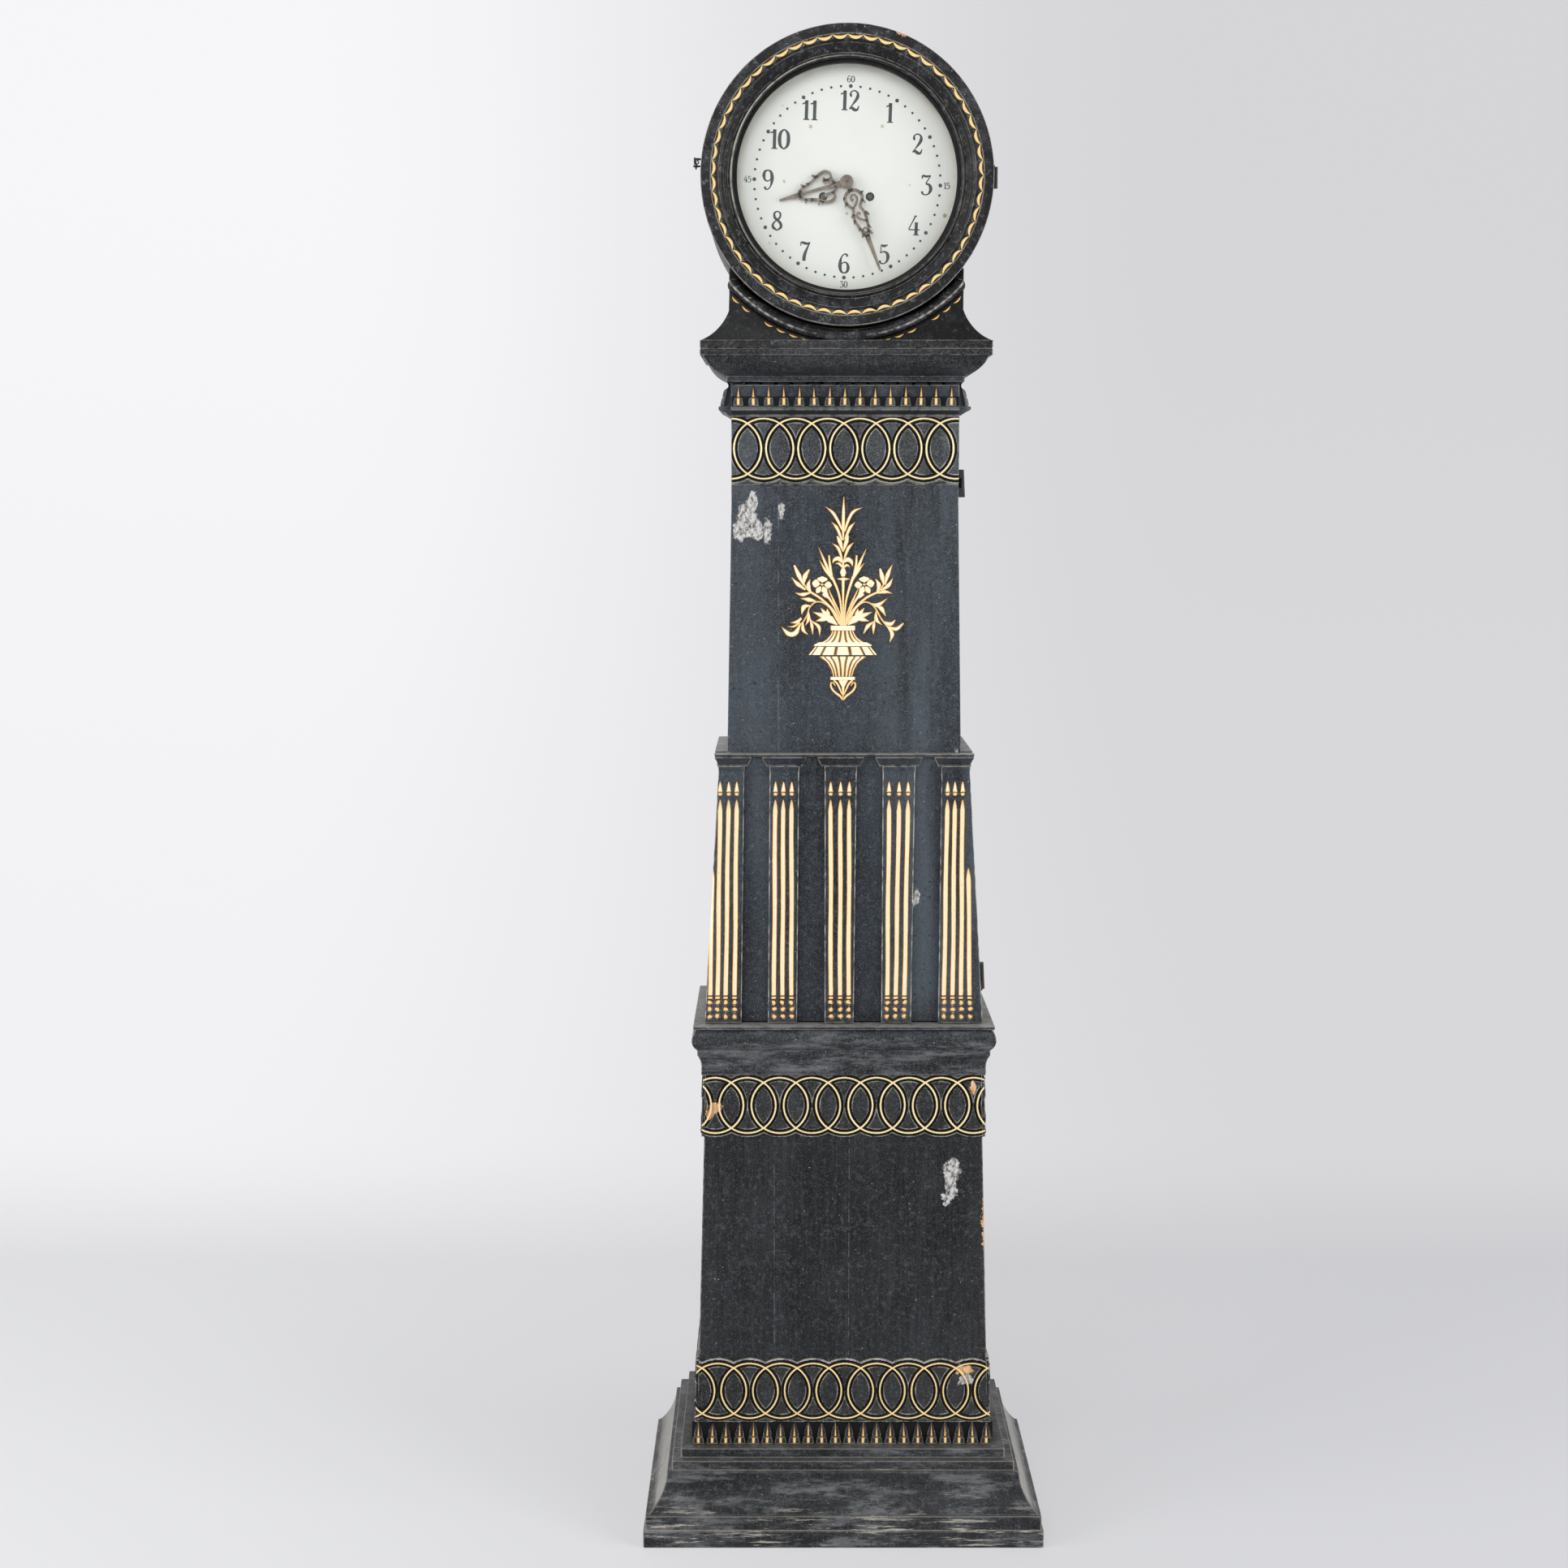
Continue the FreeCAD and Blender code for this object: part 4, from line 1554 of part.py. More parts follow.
def make_hammer():
    """Hammer on its arbor, with the tail that the pins lift and the head at the bell."""
    x, z = PLACES["hammer"]
    arbor_end = PLATE_BACK_FACE_Y + 2 * HAMMER_ARM_RADIUS + JOINT_GAP
    arbor = rod_y(x, z, ARBOR_RADIUS, FRONT_PLATE_Y, arbor_end)
    arm_y = PLATE_BACK_FACE_Y + HAMMER_ARM_RADIUS + JOINT_GAP
    head_z = BELL_FOOT_Z + BELL_HEIGHT / 3
    arm_x = BELL_DX - BELL_RADIUS - HAMMER_BELL_GAP - HAMMER_HEAD_LENGTH / 2
    foot = vec(x, arm_y, z)
    top = vec(arm_x, arm_y, head_z)
    arm = Part.makeCylinder(HAMMER_ARM_RADIUS, (top - foot).Length, foot, top - foot)
    head_x = arm_x - HAMMER_HEAD_LENGTH / 2
    head = Part.makeCylinder(HAMMER_HEAD_RADIUS, HAMMER_HEAD_LENGTH, vec(head_x, arm_y, head_z), X_AXIS)
    tail_y = PIN_WHEEL_Y + WHEEL_THICK + PIN_LENGTH
    tail_half = HAMMER_ARM_RADIUS / 2
    tail = block(x, x + HAMMER_TAIL, tail_y + JOINT_GAP, tail_y + JOINT_GAP + WHEEL_THICK,
                 z - tail_half, z + tail_half)
    return arbor.fuse(arm).fuse(head).fuse(tail)


def make_bell(foot_z, radius):
    """Shallow turned bell on the standard."""
    middle_y = BACK_PLATE_Y + PLATE_THICK / 2
    wall = BELL_WALL
    top = foot_z + BELL_HEIGHT
    shoulder = radius * math.sqrt(0.5)
    inner = radius - wall
    section = [
        (0, top),
        (shoulder, top - BELL_HEIGHT / 4, radius, foot_z),
        (inner, foot_z),
        (inner * math.sqrt(0.5), top - wall - BELL_HEIGHT / 4, 0, top - wall),
    ]
    face = face_from(section, lambda r, z: vec(BELL_DX + r, middle_y, z))
    bell = face.revolve(vec(BELL_DX, middle_y, 0), Z_AXIS, 360)
    bore = Part.makeCylinder(BELL_ROD_RADIUS, 2 * BELL_HEIGHT, vec(BELL_DX, middle_y, foot_z))
    return bell.cut(bore)


def make_bells():
    """Two bells, the small one above the large one."""
    large = make_bell(BELL_FOOT_Z, BELL_RADIUS)
    small = make_bell(SMALL_BELL_FOOT_Z, SMALL_BELL_RADIUS)
    return Part.makeCompound([large, small])


def make_weight_and_line(side):
    """Cast weight with its hook, and the gut line from the barrel down to it."""
    x = line_x(side)
    y = (BARREL_FRONT_Y + BARREL_BACK_Y) / 2
    foot = WEIGHT_TOP_Z - WEIGHT_LENGTH
    body = Part.makeCylinder(WEIGHT_RADIUS, WEIGHT_LENGTH, vec(x, y, foot))
    rims = [e for e in body.Edges if e.Curve.TypeId == "Part::GeomCircle"]
    body = body.makeFillet(WEIGHT_EDGE, rims)
    hook = Part.makeCylinder(WEIGHT_HOOK_RADIUS, WEIGHT_HOOK_HEIGHT, vec(x, y, WEIGHT_TOP_Z))
    line_foot = WEIGHT_TOP_Z + WEIGHT_HOOK_HEIGHT
    line_top = PLACES["time_barrel"][1] - LINE_TOP_DROP
    line = Part.makeCylinder(LINE_RADIUS, line_top - line_foot, vec(x, y, line_foot))
    return body.fuse(hook), line


def build():
    """Every node of the clock, by name."""
    nodes = {}
    plinth = make_plinth()
    nodes["plinth_front"] = plinth[0]
    nodes["plinth_sides"] = Part.makeCompound(plinth[1:])
    nodes["base_front"], nodes["base_left"], nodes["base_right"] = make_base_boards()
    nodes["base_bottom"] = make_bottom_board()
    nodes["base_ring_band"] = make_base_ring_band()
    nodes["waist_ring_band"] = make_waist_ring_band()
    waist = make_waist_moulding()
    nodes["waist_moulding_front"] = waist[0]
    nodes["waist_moulding_sides"] = Part.makeCompound(waist[1:])
    trunk_right = make_trunk_side()
    nodes["trunk_right"] = trunk_right
    nodes["trunk_left"] = mirrored(trunk_right)
    side_pilasters = make_side_pilasters()
    nodes["side_trim"] = Part.makeCompound([side_pilasters, make_side_friezes()])
    cornice = make_cornice()
    nodes["cornice_front"] = cornice[0]
    nodes["cornice_sides"] = Part.makeCompound(cornice[1:])
    nodes["neck_front"] = make_neck_front()
    nodes["neck_sides"] = make_neck_sides()
    nodes["cradle_moulding"] = make_cradle()
    nodes["head_drum"] = make_drum()
    nodes["head_ring"] = make_head_ring()
    nodes["back_board"] = make_back_board()
    door = make_door_panel()
    nodes["door_panel"] = door
    nodes["door_frieze"] = make_door_frieze()
    nodes["door_ring_band"] = make_door_ring_band()
    nodes["door_vase"] = make_vase()
    nodes["door_pilasters"] = make_door_pilasters()
    door_solids = door
    for name in ("door_frieze", "door_ring_band", "door_pilasters"):
        door_solids = door_solids.fuse(nodes[name])
    case_side = trunk_right.fuse(side_pilasters)
    door_leaves, case_leaves = make_door_hinges(door_solids, case_side)
    nodes["door_hinge_leaves"] = door_leaves
    bezel_leaf, case_bezel_leaf = make_bezel_hinge()
    nodes["bezel_hinge_leaf"] = bezel_leaf
    nodes["case_hinge_leaves"] = Part.makeCompound(case_leaves + [case_bezel_leaf])
    nodes["bezel_ring"] = make_bezel()
    nodes["bezel_glass"] = make_glass()
    nodes["bezel_hook"], nodes["hook_eye"] = make_hook()
    nodes["dial_plate"] = make_dial()
    nodes["hour_hand"] = make_hand(HOUR_HAND_LENGTH, HOUR_HAND_TAIL, HOUR_BOSS_RADIUS,
                                   HOUR_PIPE_RADIUS, HOUR_HAND_Y, HOUR_HAND_ANGLE)
    nodes["minute_hand"] = make_hand(MINUTE_HAND_LENGTH, HOUR_HAND_TAIL, MINUTE_BOSS_RADIUS,
                                     CENTRE_ARBOR_RADIUS, MINUTE_HAND_Y, MINUTE_HAND_ANGLE)
    nodes["seat_board"] = make_seat_board()
    nodes["front_plate"] = make_front_plate()
    nodes["back_plate"] = make_back_plate()
    nodes["time_barrel"] = make_barrel(PLACES["time_barrel"], TIME_GREAT_Y)
    nodes["strike_barrel"] = make_barrel(PLACES["strike_barrel"], STRIKE_GREAT_Y)
    nodes["time_great_wheel"] = make_great_wheel(
        PLACES["time_barrel"], PLACES["centre"], TIME_GREAT_TEETH, great_module(), TIME_GREAT_Y)
    nodes["strike_great_wheel"] = make_great_wheel(
        PLACES["strike_barrel"], PLACES["pin"], STRIKE_GREAT_TEETH, STRIKE_MODULE, STRIKE_GREAT_Y)
    nodes["centre_arbor"] = make_centre_arbor()
    nodes["third_wheel"] = make_third_wheel()
    nodes["escape_wheel"] = make_escape_wheel()
    nodes["anchor"] = make_anchor()
    nodes["minute_wheel"] = make_minute_wheel()
    nodes["hour_wheel"] = make_hour_wheel()
    nodes["pin_wheel"] = make_pin_wheel()
    nodes["fly"] = make_fly()
    nodes["hammer"] = make_hammer()
    nodes["bells"] = make_bells()
    nodes["pendulum_rod"] = make_pendulum_rod()
    nodes["pendulum_bob"] = make_bob()
    nodes["rating_nut"] = make_rating_nut()
    nodes["time_weight"], nodes["time_line"] = make_weight_and_line(1)
    nodes["strike_weight"], nodes["strike_line"] = make_weight_and_line(-1)
    return nodes


def main():
    """Write one STEP file for each node."""
    os.makedirs("parts", exist_ok=True)
    nodes = build()
    for name, shape in sorted(nodes.items()):
        shape.exportStep(f"parts/{name}.step")
        print(name, "solids", len(shape.Solids), "valid", shape.isValid(), "mm3", round(shape.Volume))
    print(len(nodes), "nodes")


if __name__ == "__main__":
    main()
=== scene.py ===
"""Looks of the mora clock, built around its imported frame.

Lengths are millimetres until a mesh is made. Heights are from the floor, and the front faces -Y.
Every tier's front stands back as far as its sides stand in, so a half-width gives both.
"""
import json
import logging
import math
from collections.abc import Callable, Sequence
from dataclasses import dataclass
from enum import Enum

import bmesh
import bpy
import numpy as np
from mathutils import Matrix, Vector

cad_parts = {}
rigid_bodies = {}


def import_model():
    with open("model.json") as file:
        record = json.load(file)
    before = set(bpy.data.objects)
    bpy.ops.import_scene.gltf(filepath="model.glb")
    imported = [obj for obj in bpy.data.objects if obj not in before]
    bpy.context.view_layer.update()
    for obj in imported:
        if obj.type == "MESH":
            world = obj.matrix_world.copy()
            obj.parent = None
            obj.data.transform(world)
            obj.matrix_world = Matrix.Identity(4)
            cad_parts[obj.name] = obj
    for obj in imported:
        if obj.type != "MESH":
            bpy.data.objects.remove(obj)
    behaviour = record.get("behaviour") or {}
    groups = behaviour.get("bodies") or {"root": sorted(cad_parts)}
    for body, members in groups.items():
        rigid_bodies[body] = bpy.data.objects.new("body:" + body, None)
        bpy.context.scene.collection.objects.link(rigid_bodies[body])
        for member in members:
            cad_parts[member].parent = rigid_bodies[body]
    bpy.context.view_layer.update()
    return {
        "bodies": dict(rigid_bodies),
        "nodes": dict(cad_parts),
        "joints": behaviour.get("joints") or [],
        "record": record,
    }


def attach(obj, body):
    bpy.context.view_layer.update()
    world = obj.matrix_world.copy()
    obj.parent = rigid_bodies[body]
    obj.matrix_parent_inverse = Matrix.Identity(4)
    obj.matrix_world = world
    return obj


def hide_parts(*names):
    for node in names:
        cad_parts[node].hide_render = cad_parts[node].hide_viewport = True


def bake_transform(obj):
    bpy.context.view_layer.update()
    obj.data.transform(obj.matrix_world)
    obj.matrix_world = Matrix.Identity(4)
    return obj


LOG = logging.getLogger("mora_clock")
MM = 0.001
DATUM_Y = 122.15
BACK_Y = 162.35
HEAD_Z = 1904.0
ARBOR_Z = 1900.0
PRINT_TURN = math.radians(1.9)
Array = np.ndarray
Socket = bpy.types.NodeSocket
Lay = Callable[[Array, Array, Array], tuple[Array, Array, Array]]


def linear(red: int, green: int, blue: int) -> tuple[float, float, float, float]:
    """Screen colour from 0 to 255 as the linear colour that a socket holds."""
    def channel(value: int) -> float:
        """One channel, decoded."""
        share = value / 255
        return share / 12.92 if share <= 0.04045 else ((share + 0.055) / 1.055) ** 2.4

    return channel(red), channel(green), channel(blue), 1.0


def smooth(value: Array) -> Array:
    """Smooth step from 0 to 1 as value goes from 0 to 1."""
    held = np.clip(value, 0, 1)
    return held * held * (3 - 2 * held)


@dataclass(frozen=True)
class Slope:
    """One tapering tier of the case, by its half-width at two heights."""

    z_low: float
    half_low: float
    z_high: float
    half_high: float

    def half(self, z: Array) -> Array:
        """Half-width at a height."""
        share = (z - self.z_low) / (self.z_high - self.z_low)
        return self.half_low + (self.half_high - self.half_low) * share

    def front(self, u: Array, v: Array, w: Array) -> tuple[Array, Array, Array]:
        """Place of a point on the front: u across, v up, w out of the surface."""
        return u, DATUM_Y - self.half(v) - w, v

    def side(self, sign: int) -> Lay:
        """Lay of the right (1) or left (-1) side: u is the depth, v up, w out."""
        return lambda u, v, w: (sign * (self.half(v) + w), u, v)


BASE = Slope(20.0, 213.0, 735.0, 194.0)
PILASTER_FACE = Slope(741.0, 197.0, 1100.0, 176.0)
PILASTER_GROUND = Slope(741.0, 188.0, 1100.0, 168.0)
PANEL = Slope(1123.0, 164.0, 1471.0, 157.3)
DOOR_HEAD = Slope(1471.0, 157.3, 1636.0, 157.0)


def head_lay(y_front: float) -> Lay:
    """Lay round the head's centre: u is the angle clockwise from the top, v the radius."""
    return lambda u, v, w: (v * np.sin(u), y_front - w, HEAD_Z + v * np.cos(u))


class Brush:
    """Adds nodes to one material and hands back their output sockets."""

    def __init__(self, name: str) -> None:
        """Starts a material with one shader and the piece's own coordinates."""
        self.material = bpy.data.materials.new(name)
        self.material.use_nodes = True
        self.tree = self.material.node_tree
        self.shader = self.tree.nodes["Principled BSDF"]
        coordinates = self.node("ShaderNodeTexCoord")
        self.place = coordinates.outputs["Object"]
        self.facing = coordinates.outputs["Normal"]

    def node(self, kind: str, **settings: object) -> bpy.types.Node:
        """Adds one node and sets its properties."""
        made = self.tree.nodes.new(kind)
        for key, value in settings.items():
            setattr(made, key, value)
        return made

    def feed(self, socket: Socket, value: object) -> None:
        """Links a socket into another, or sets its constant."""
        if isinstance(value, Socket):
            self.tree.links.new(value, socket)
        else:
            socket.default_value = value

    def math(self, operation: str, first: object, second: object = 0.0) -> Socket:
        """Output of one math node, not clamped."""
        made = self.node("ShaderNodeMath", operation=operation)
        self.feed(made.inputs[0], first)
        self.feed(made.inputs[1], second)
        return made.outputs[0]

    def vector(self, operation: str, first: object, second: object) -> bpy.types.Node:
        """A vector math node with both inputs fed."""
        made = self.node("ShaderNodeVectorMath", operation=operation)
        self.feed(made.inputs[0], first)
        self.feed(made.inputs[1], second)
        return made

    def mix(self, share: object, first: object, second: object) -> Socket:
        """Colour between first and second."""
        made = self.node("ShaderNodeMix", data_type="RGBA")
        self.feed(made.inputs[0], share)
        self.feed(made.inputs[6], first)
        self.feed(made.inputs[7], second)
        return made.outputs[2]

    def ramp(self, value: object, low: float, high: float, top: float = 1.0) -> Socket:
        """Smooth step of a value from 0 at low to top at high."""
        made = self.node("ShaderNodeMapRange", interpolation_type="SMOOTHSTEP")
        self.feed(made.inputs[0], value)
        for socket, number in zip(made.inputs[1:5], (low, high, 0.0, top)):
            socket.default_value = number
        return made.outputs[0]

    def noise(self, scale: float, detail: float = 3.0, stretch: Sequence[float] = (1, 1, 1),
              rough: float = 0.55, colour: bool = False) -> Socket:
        """Noise on the piece's own coordinates.

        Args:
            scale: Cells per metre.
            detail: Octaves.
            stretch: Factors on the three axes; a small one draws the pattern out along it.
            rough: Strength of the finer octaves.
            colour: Whether to hand back three channels.

        Returns:
            The noise's value, or its colour.
        """
        placed = self.vector("MULTIPLY", self.place, tuple(stretch)).outputs[0]
        made = self.node("ShaderNodeTexNoise")
        self.feed(made.inputs["Vector"], placed)
        made.inputs["Scale"].default_value = scale
        made.inputs["Detail"].default_value = detail
        made.inputs["Roughness"].default_value = rough
        return made.outputs["Color" if colour else "Fac"]

    def attribute(self, name: str) -> Socket:
        """A float that the mesh carries at its points."""
        return self.node("ShaderNodeAttribute", attribute_name=name).outputs["Fac"]

    def axes(self, vector: Socket) -> tuple[Socket, ...]:
        """The three parts of a vector."""
        made = self.node("ShaderNodeSeparateXYZ")
        self.feed(made.inputs[0], vector)
        return tuple(made.outputs)

    def edges(self, radius: float) -> Socket:
        """How far a bevel of this radius in metres would turn the surface, 0 on flats."""
        bevel = self.node("ShaderNodeBevel", samples=6)
        bevel.inputs["Radius"].default_value = radius
        normal = self.node("ShaderNodeNewGeometry").outputs["Normal"]
        dot = self.vector("DOT_PRODUCT", bevel.outputs[0], normal).outputs["Value"]
        return self.math("SUBTRACT", 1.0, dot)

    def bump(self, height: Socket, distance: float, strength: float = 1.0) -> None:
        """Feeds a height between 0 and 1, standing for a distance in metres, into the normal."""
        made = self.node("ShaderNodeBump")
        made.inputs["Strength"].default_value = strength
        made.inputs["Distance"].default_value = distance
        self.feed(made.inputs["Height"], height)
        self.tree.links.new(made.outputs[0], self.shader.inputs["Normal"])

    def finish(self, colour: object, roughness: object, **constants: float) -> bpy.types.Material:
        """Feeds the shader and returns the material."""
        self.feed(self.shader.inputs["Base Color"], colour)
        self.feed(self.shader.inputs["Roughness"], roughness)
        for name, value in constants.items():
            self.shader.inputs[name.replace("_", " ")].default_value = value
        return self.material


class Under(Enum):
    """What a scrape lays bare."""

    FILLER = "filler"
    WOOD = "wood"


@dataclass(frozen=True)
class Scrape:
    """A patch where the paint is gone, as an ellipsoid with a ragged edge."""

    centre: tuple[float, float, float]
    radii: tuple[float, float, float]
    under: Under


SCRAPES = (
    Scrape((-135, -36, 1449), (13, 12, 25), Under.FILLER),
    Scrape((-128, -36, 1470), (7, 12, 19), Under.FILLER),
    Scrape((-146, -36, 1431), (9, 12, 14), Under.FILLER),
    Scrape((-122, -36, 1436), (8, 12, 15), Under.FILLER),
    Scrape((-107, -36, 1431), (6.5, 12, 17), Under.FILLER),
    Scrape((-87, -36, 1461), (5.5, 12, 12), Under.FILLER),
    Scrape((101, -57, 918), (6, 10, 15), Under.FILLER),
    Scrape((156, -77, 527), (11.5, 10, 20), Under.FILLER),
    Scrape((154, -77, 502), (9, 10, 15), Under.FILLER),
    Scrape((146, -78, 486), (5.5, 10, 10), Under.FILLER),
    Scrape((-180, -79, 620), (8, 8, 8), Under.WOOD),
    Scrape((-190, -79, 612), (5, 8, 12), Under.WOOD),
    Scrape((184, -79, 648), (4, 8, 10), Under.WOOD),
    Scrape((176, -91, 233), (15, 9, 7.5), Under.WOOD),
    Scrape((177, -91, 218), (12, 9, 7), Under.FILLER),
    Scrape((201.5, -79, 452), (2.8, 12, 40), Under.WOOD),
    Scrape((72, -88, 2088), (10, 14, 4), Under.WOOD),
    Scrape((198, -58, 800), (4.5, 12, 26), Under.WOOD),
    Scrape((158, -30, 1128), (8, 12, 10), Under.FILLER),
)


@dataclass(frozen=True)
class CasePaint:
    """Old black oil paint with gilded carving, rubbed edges, scrapes and dust, with painted highlights and
    painted shade taken from the rub attribute.
    """

    black: tuple = linear(17, 17, 18)
    black_grey: tuple = linear(40, 40, 42)
    blue_black: tuple = linear(14, 16, 19)
    blue_grey: tuple = linear(46, 53, 61)
    # Pale worn paint, which also colours the painted highlights.
    worn: tuple = linear(172, 167, 156)
    dust: tuple = linear(160, 157, 151)
    plaster: tuple = linear(205, 202, 198)
    wood: tuple = linear(228, 194, 156)
    gold: tuple = linear(253, 241, 208)
    deep_gold: tuple = linear(243, 210, 138)
    warm_gold: tuple = linear(238, 190, 104)
    gold_edge: tuple = linear(140, 84, 38)

    @staticmethod
    def scraped(brush: Brush, under: Under) -> Socket:
        """Mask of the scrapes down to wood or down to the filler."""
        shake = brush.noise(95.0, 5.0, colour=True, rough=0.7)
        centred = brush.vector("SUBTRACT", shake, (0.5, 0.5, 0.5)).outputs[0]
        shift = brush.vector("MULTIPLY", centred, (0.022, 0.010, 0.026)).outputs[0]
        place = brush.vector("ADD", brush.place, shift).outputs[0]
        total: object = 0.0
        for scrape in (found for found in SCRAPES if found.under is under):
            away = brush.vector("SUBTRACT", place, tuple(c * MM for c in scrape.centre)).outputs[0]
            scale = tuple(1 / (r * MM) for r in scrape.radii)
            reach = brush.node("ShaderNodeVectorMath", operation="LENGTH")
            brush.feed(reach.inputs[0], brush.vector("MULTIPLY", away, scale).outputs[0])
            mask = brush.ramp(reach.outputs["Value"], 1.10, 0.90)
            total = brush.math("MAXIMUM", total, mask)
        return total

    def gilding(self, brush: Brush, height: Socket) -> Socket:
        """Gold leaf: pale on the trunk, deeper on the foot and the head, brown at its edges."""
        low = brush.ramp(height, 0.40, 0.30, 0.45)
        high = brush.ramp(height, 1.56, 1.59, 0.8)
        deep = brush.math("MAXIMUM", low, high)
        leaf = brush.mix(deep, self.gold, self.deep_gold)
        rub = brush.ramp(brush.noise(160.0, 4.0), 0.56, 0.74, 0.5)
        leaf = brush.mix(rub, leaf, self.deep_gold)
        leaf = brush.mix(brush.ramp(brush.attribute("gilt"), 2.1, 0.8, 0.85), leaf, self.warm_gold)
        rim = brush.ramp(brush.attribute("gilt"), 0.9, 0.3, 0.95)
        uneven = brush.ramp(brush.noise(90.0, 4.0, rough=0.7), 0.22, 0.50)
        return brush.mix(brush.math("MULTIPLY", rim, uneven), leaf, self.gold_edge)

    def build(self) -> bpy.types.Material:
        """Makes the material."""
        brush = Brush("black_case_paint")
        across, _, height = brush.axes(brush.place)
        rub = brush.attribute("rub")
        paint = self.brushwork(brush, across, height)
        paint = self.patches(brush, height, paint)
        paint = self.dusted(brush, height, paint)
        paint = self.cracks(brush, across, height, paint)
        paint = brush.mix(self.scuffs(brush, height), paint, self.worn)
        # Painted shade: below nought, rub darkens grooves, gaps and undersides almost to black.
        painted_shade = brush.ramp(rub, -0.05, -0.7, 0.94)
        paint = brush.mix(painted_shade, paint, linear(5, 5, 6))
        wear = self.edge_wear(brush, height, rub, painted_shade)
        paint = brush.mix(wear, paint, self.worn)
        filler = brush.mix(brush.ramp(brush.noise(170.0, 7.0, (1, 1, 0.6), 0.85), 0.40, 0.57),
                           linear(66, 66, 68), self.plaster)
        wood = brush.mix(brush.ramp(brush.noise(200.0, 4.0, (1, 1, 0.15)), 0.35, 0.65), self.wood,
                         linear(198, 142, 92))
        gold = self.gilding(brush, height)
        gilt = brush.ramp(brush.attribute("gilt"), 0.02, 0.10)
        colour = brush.mix(gilt, paint, gold)
        colour = brush.mix(self.scraped(brush, Under.FILLER), colour, filler)
        colour = brush.mix(self.scraped(brush, Under.WOOD), colour, wood)
        roughness = brush.node("ShaderNodeMapRange")
        brush.feed(roughness.inputs[0], brush.noise(26.0, 4.0))
        for socket, number in zip(roughness.inputs[1:5], (0.3, 0.7, 0.32, 0.52)):
            socket.default_value = number
        dull = brush.math("MAXIMUM", roughness.outputs[0], brush.math("MULTIPLY", wear, 0.8))
        brush.bump(brush.noise(520.0, 4.0, rough=0.65), 0.0006, 0.45)
        return brush.finish(colour, dull, Specular_IOR_Level=0.2)

    def brushwork(self, brush: Brush, across: Socket, height: Socket) -> Socket:
        """Black paint, bluer on the trunk, with its brush marks, grain, mottling and pits."""
        cloud = brush.ramp(brush.noise(8.0, 7.0, (1.0, 1.0, 0.35), 0.68), 0.34, 0.66)
        trunk = brush.math("MULTIPLY", brush.ramp(height, 0.70, 0.80), brush.ramp(height, 1.66, 1.62))
        low = brush.mix(cloud, self.black, self.black_grey)
        paint = brush.mix(trunk, low, brush.mix(cloud, self.blue_black, self.blue_grey))
        sweep = brush.math("MAXIMUM", brush.ramp(across, -0.01, 0.11, 0.72),
                           brush.ramp(across, -0.07, -0.13, 0.3))
        sweep = brush.math("MULTIPLY", sweep,
                           brush.ramp(brush.noise(16.0, 4.0, (1.0, 1.0, 0.12)), 0.30, 0.62))
        paint = brush.mix(brush.math("MULTIPLY", sweep, trunk), paint, linear(78, 86, 93))
        streaks = brush.ramp(brush.noise(260.0, 4.0, (1.0, 1.0, 0.03), 0.7), 0.45, 0.72, 0.12)
        paint = brush.mix(streaks, paint, linear(96, 101, 108))
        grain = brush.math("MULTIPLY", brush.ramp(brush.noise(560.0, 3.0, rough=0.7), 0.50, 0.66, 0.55),
                           brush.math("ADD", brush.ramp(height, 0.58, 0.66, 0.45), 0.55))
        paint = brush.mix(grain, paint, linear(100, 104, 108))
        mottle = brush.ramp(brush.noise(130.0, 5.0, rough=0.8), 0.50, 0.72, 0.42)
        paint = brush.mix(mottle, paint, linear(102, 105, 109))
        pits = brush.ramp(brush.noise(210.0, 4.0, rough=0.75), 0.44, 0.30, 0.75)
        paint = brush.mix(pits, paint, linear(5, 5, 6))
        return paint

    @staticmethod
    def patches(brush: Brush, height: Socket, paint: Socket) -> Socket:
        """Chalky bloom and dark hollows of the head, brushed marks of the plinth and the waist ledge."""
        head = brush.ramp(height, 1.675, 1.69)
        chalk = brush.ramp(brush.noise(120.0, 7.0, rough=0.88), 0.55, 0.64, 0.72)
        hollow = brush.ramp(brush.noise(40.0, 5.0, rough=0.7), 0.36, 0.54, 0.85)
        paint = brush.mix(brush.math("MULTIPLY", hollow, head), paint, linear(12, 12, 13))
        paint = brush.mix(brush.math("MULTIPLY", chalk, head), paint, linear(124, 126, 128))
        ledges = brush.math("MAXIMUM", brush.ramp(height, 0.130, 0.120), brush.math(
            "MULTIPLY", brush.ramp(height, 0.660, 0.668), brush.ramp(height, 0.746, 0.742)))
        brushed = brush.ramp(brush.noise(34.0, 7.0, (0.35, 0.6, 1.6), 0.78), 0.47, 0.66, 0.68)
        paint = brush.mix(brush.math("MULTIPLY", brushed, ledges), paint, linear(116, 118, 120))
        return paint

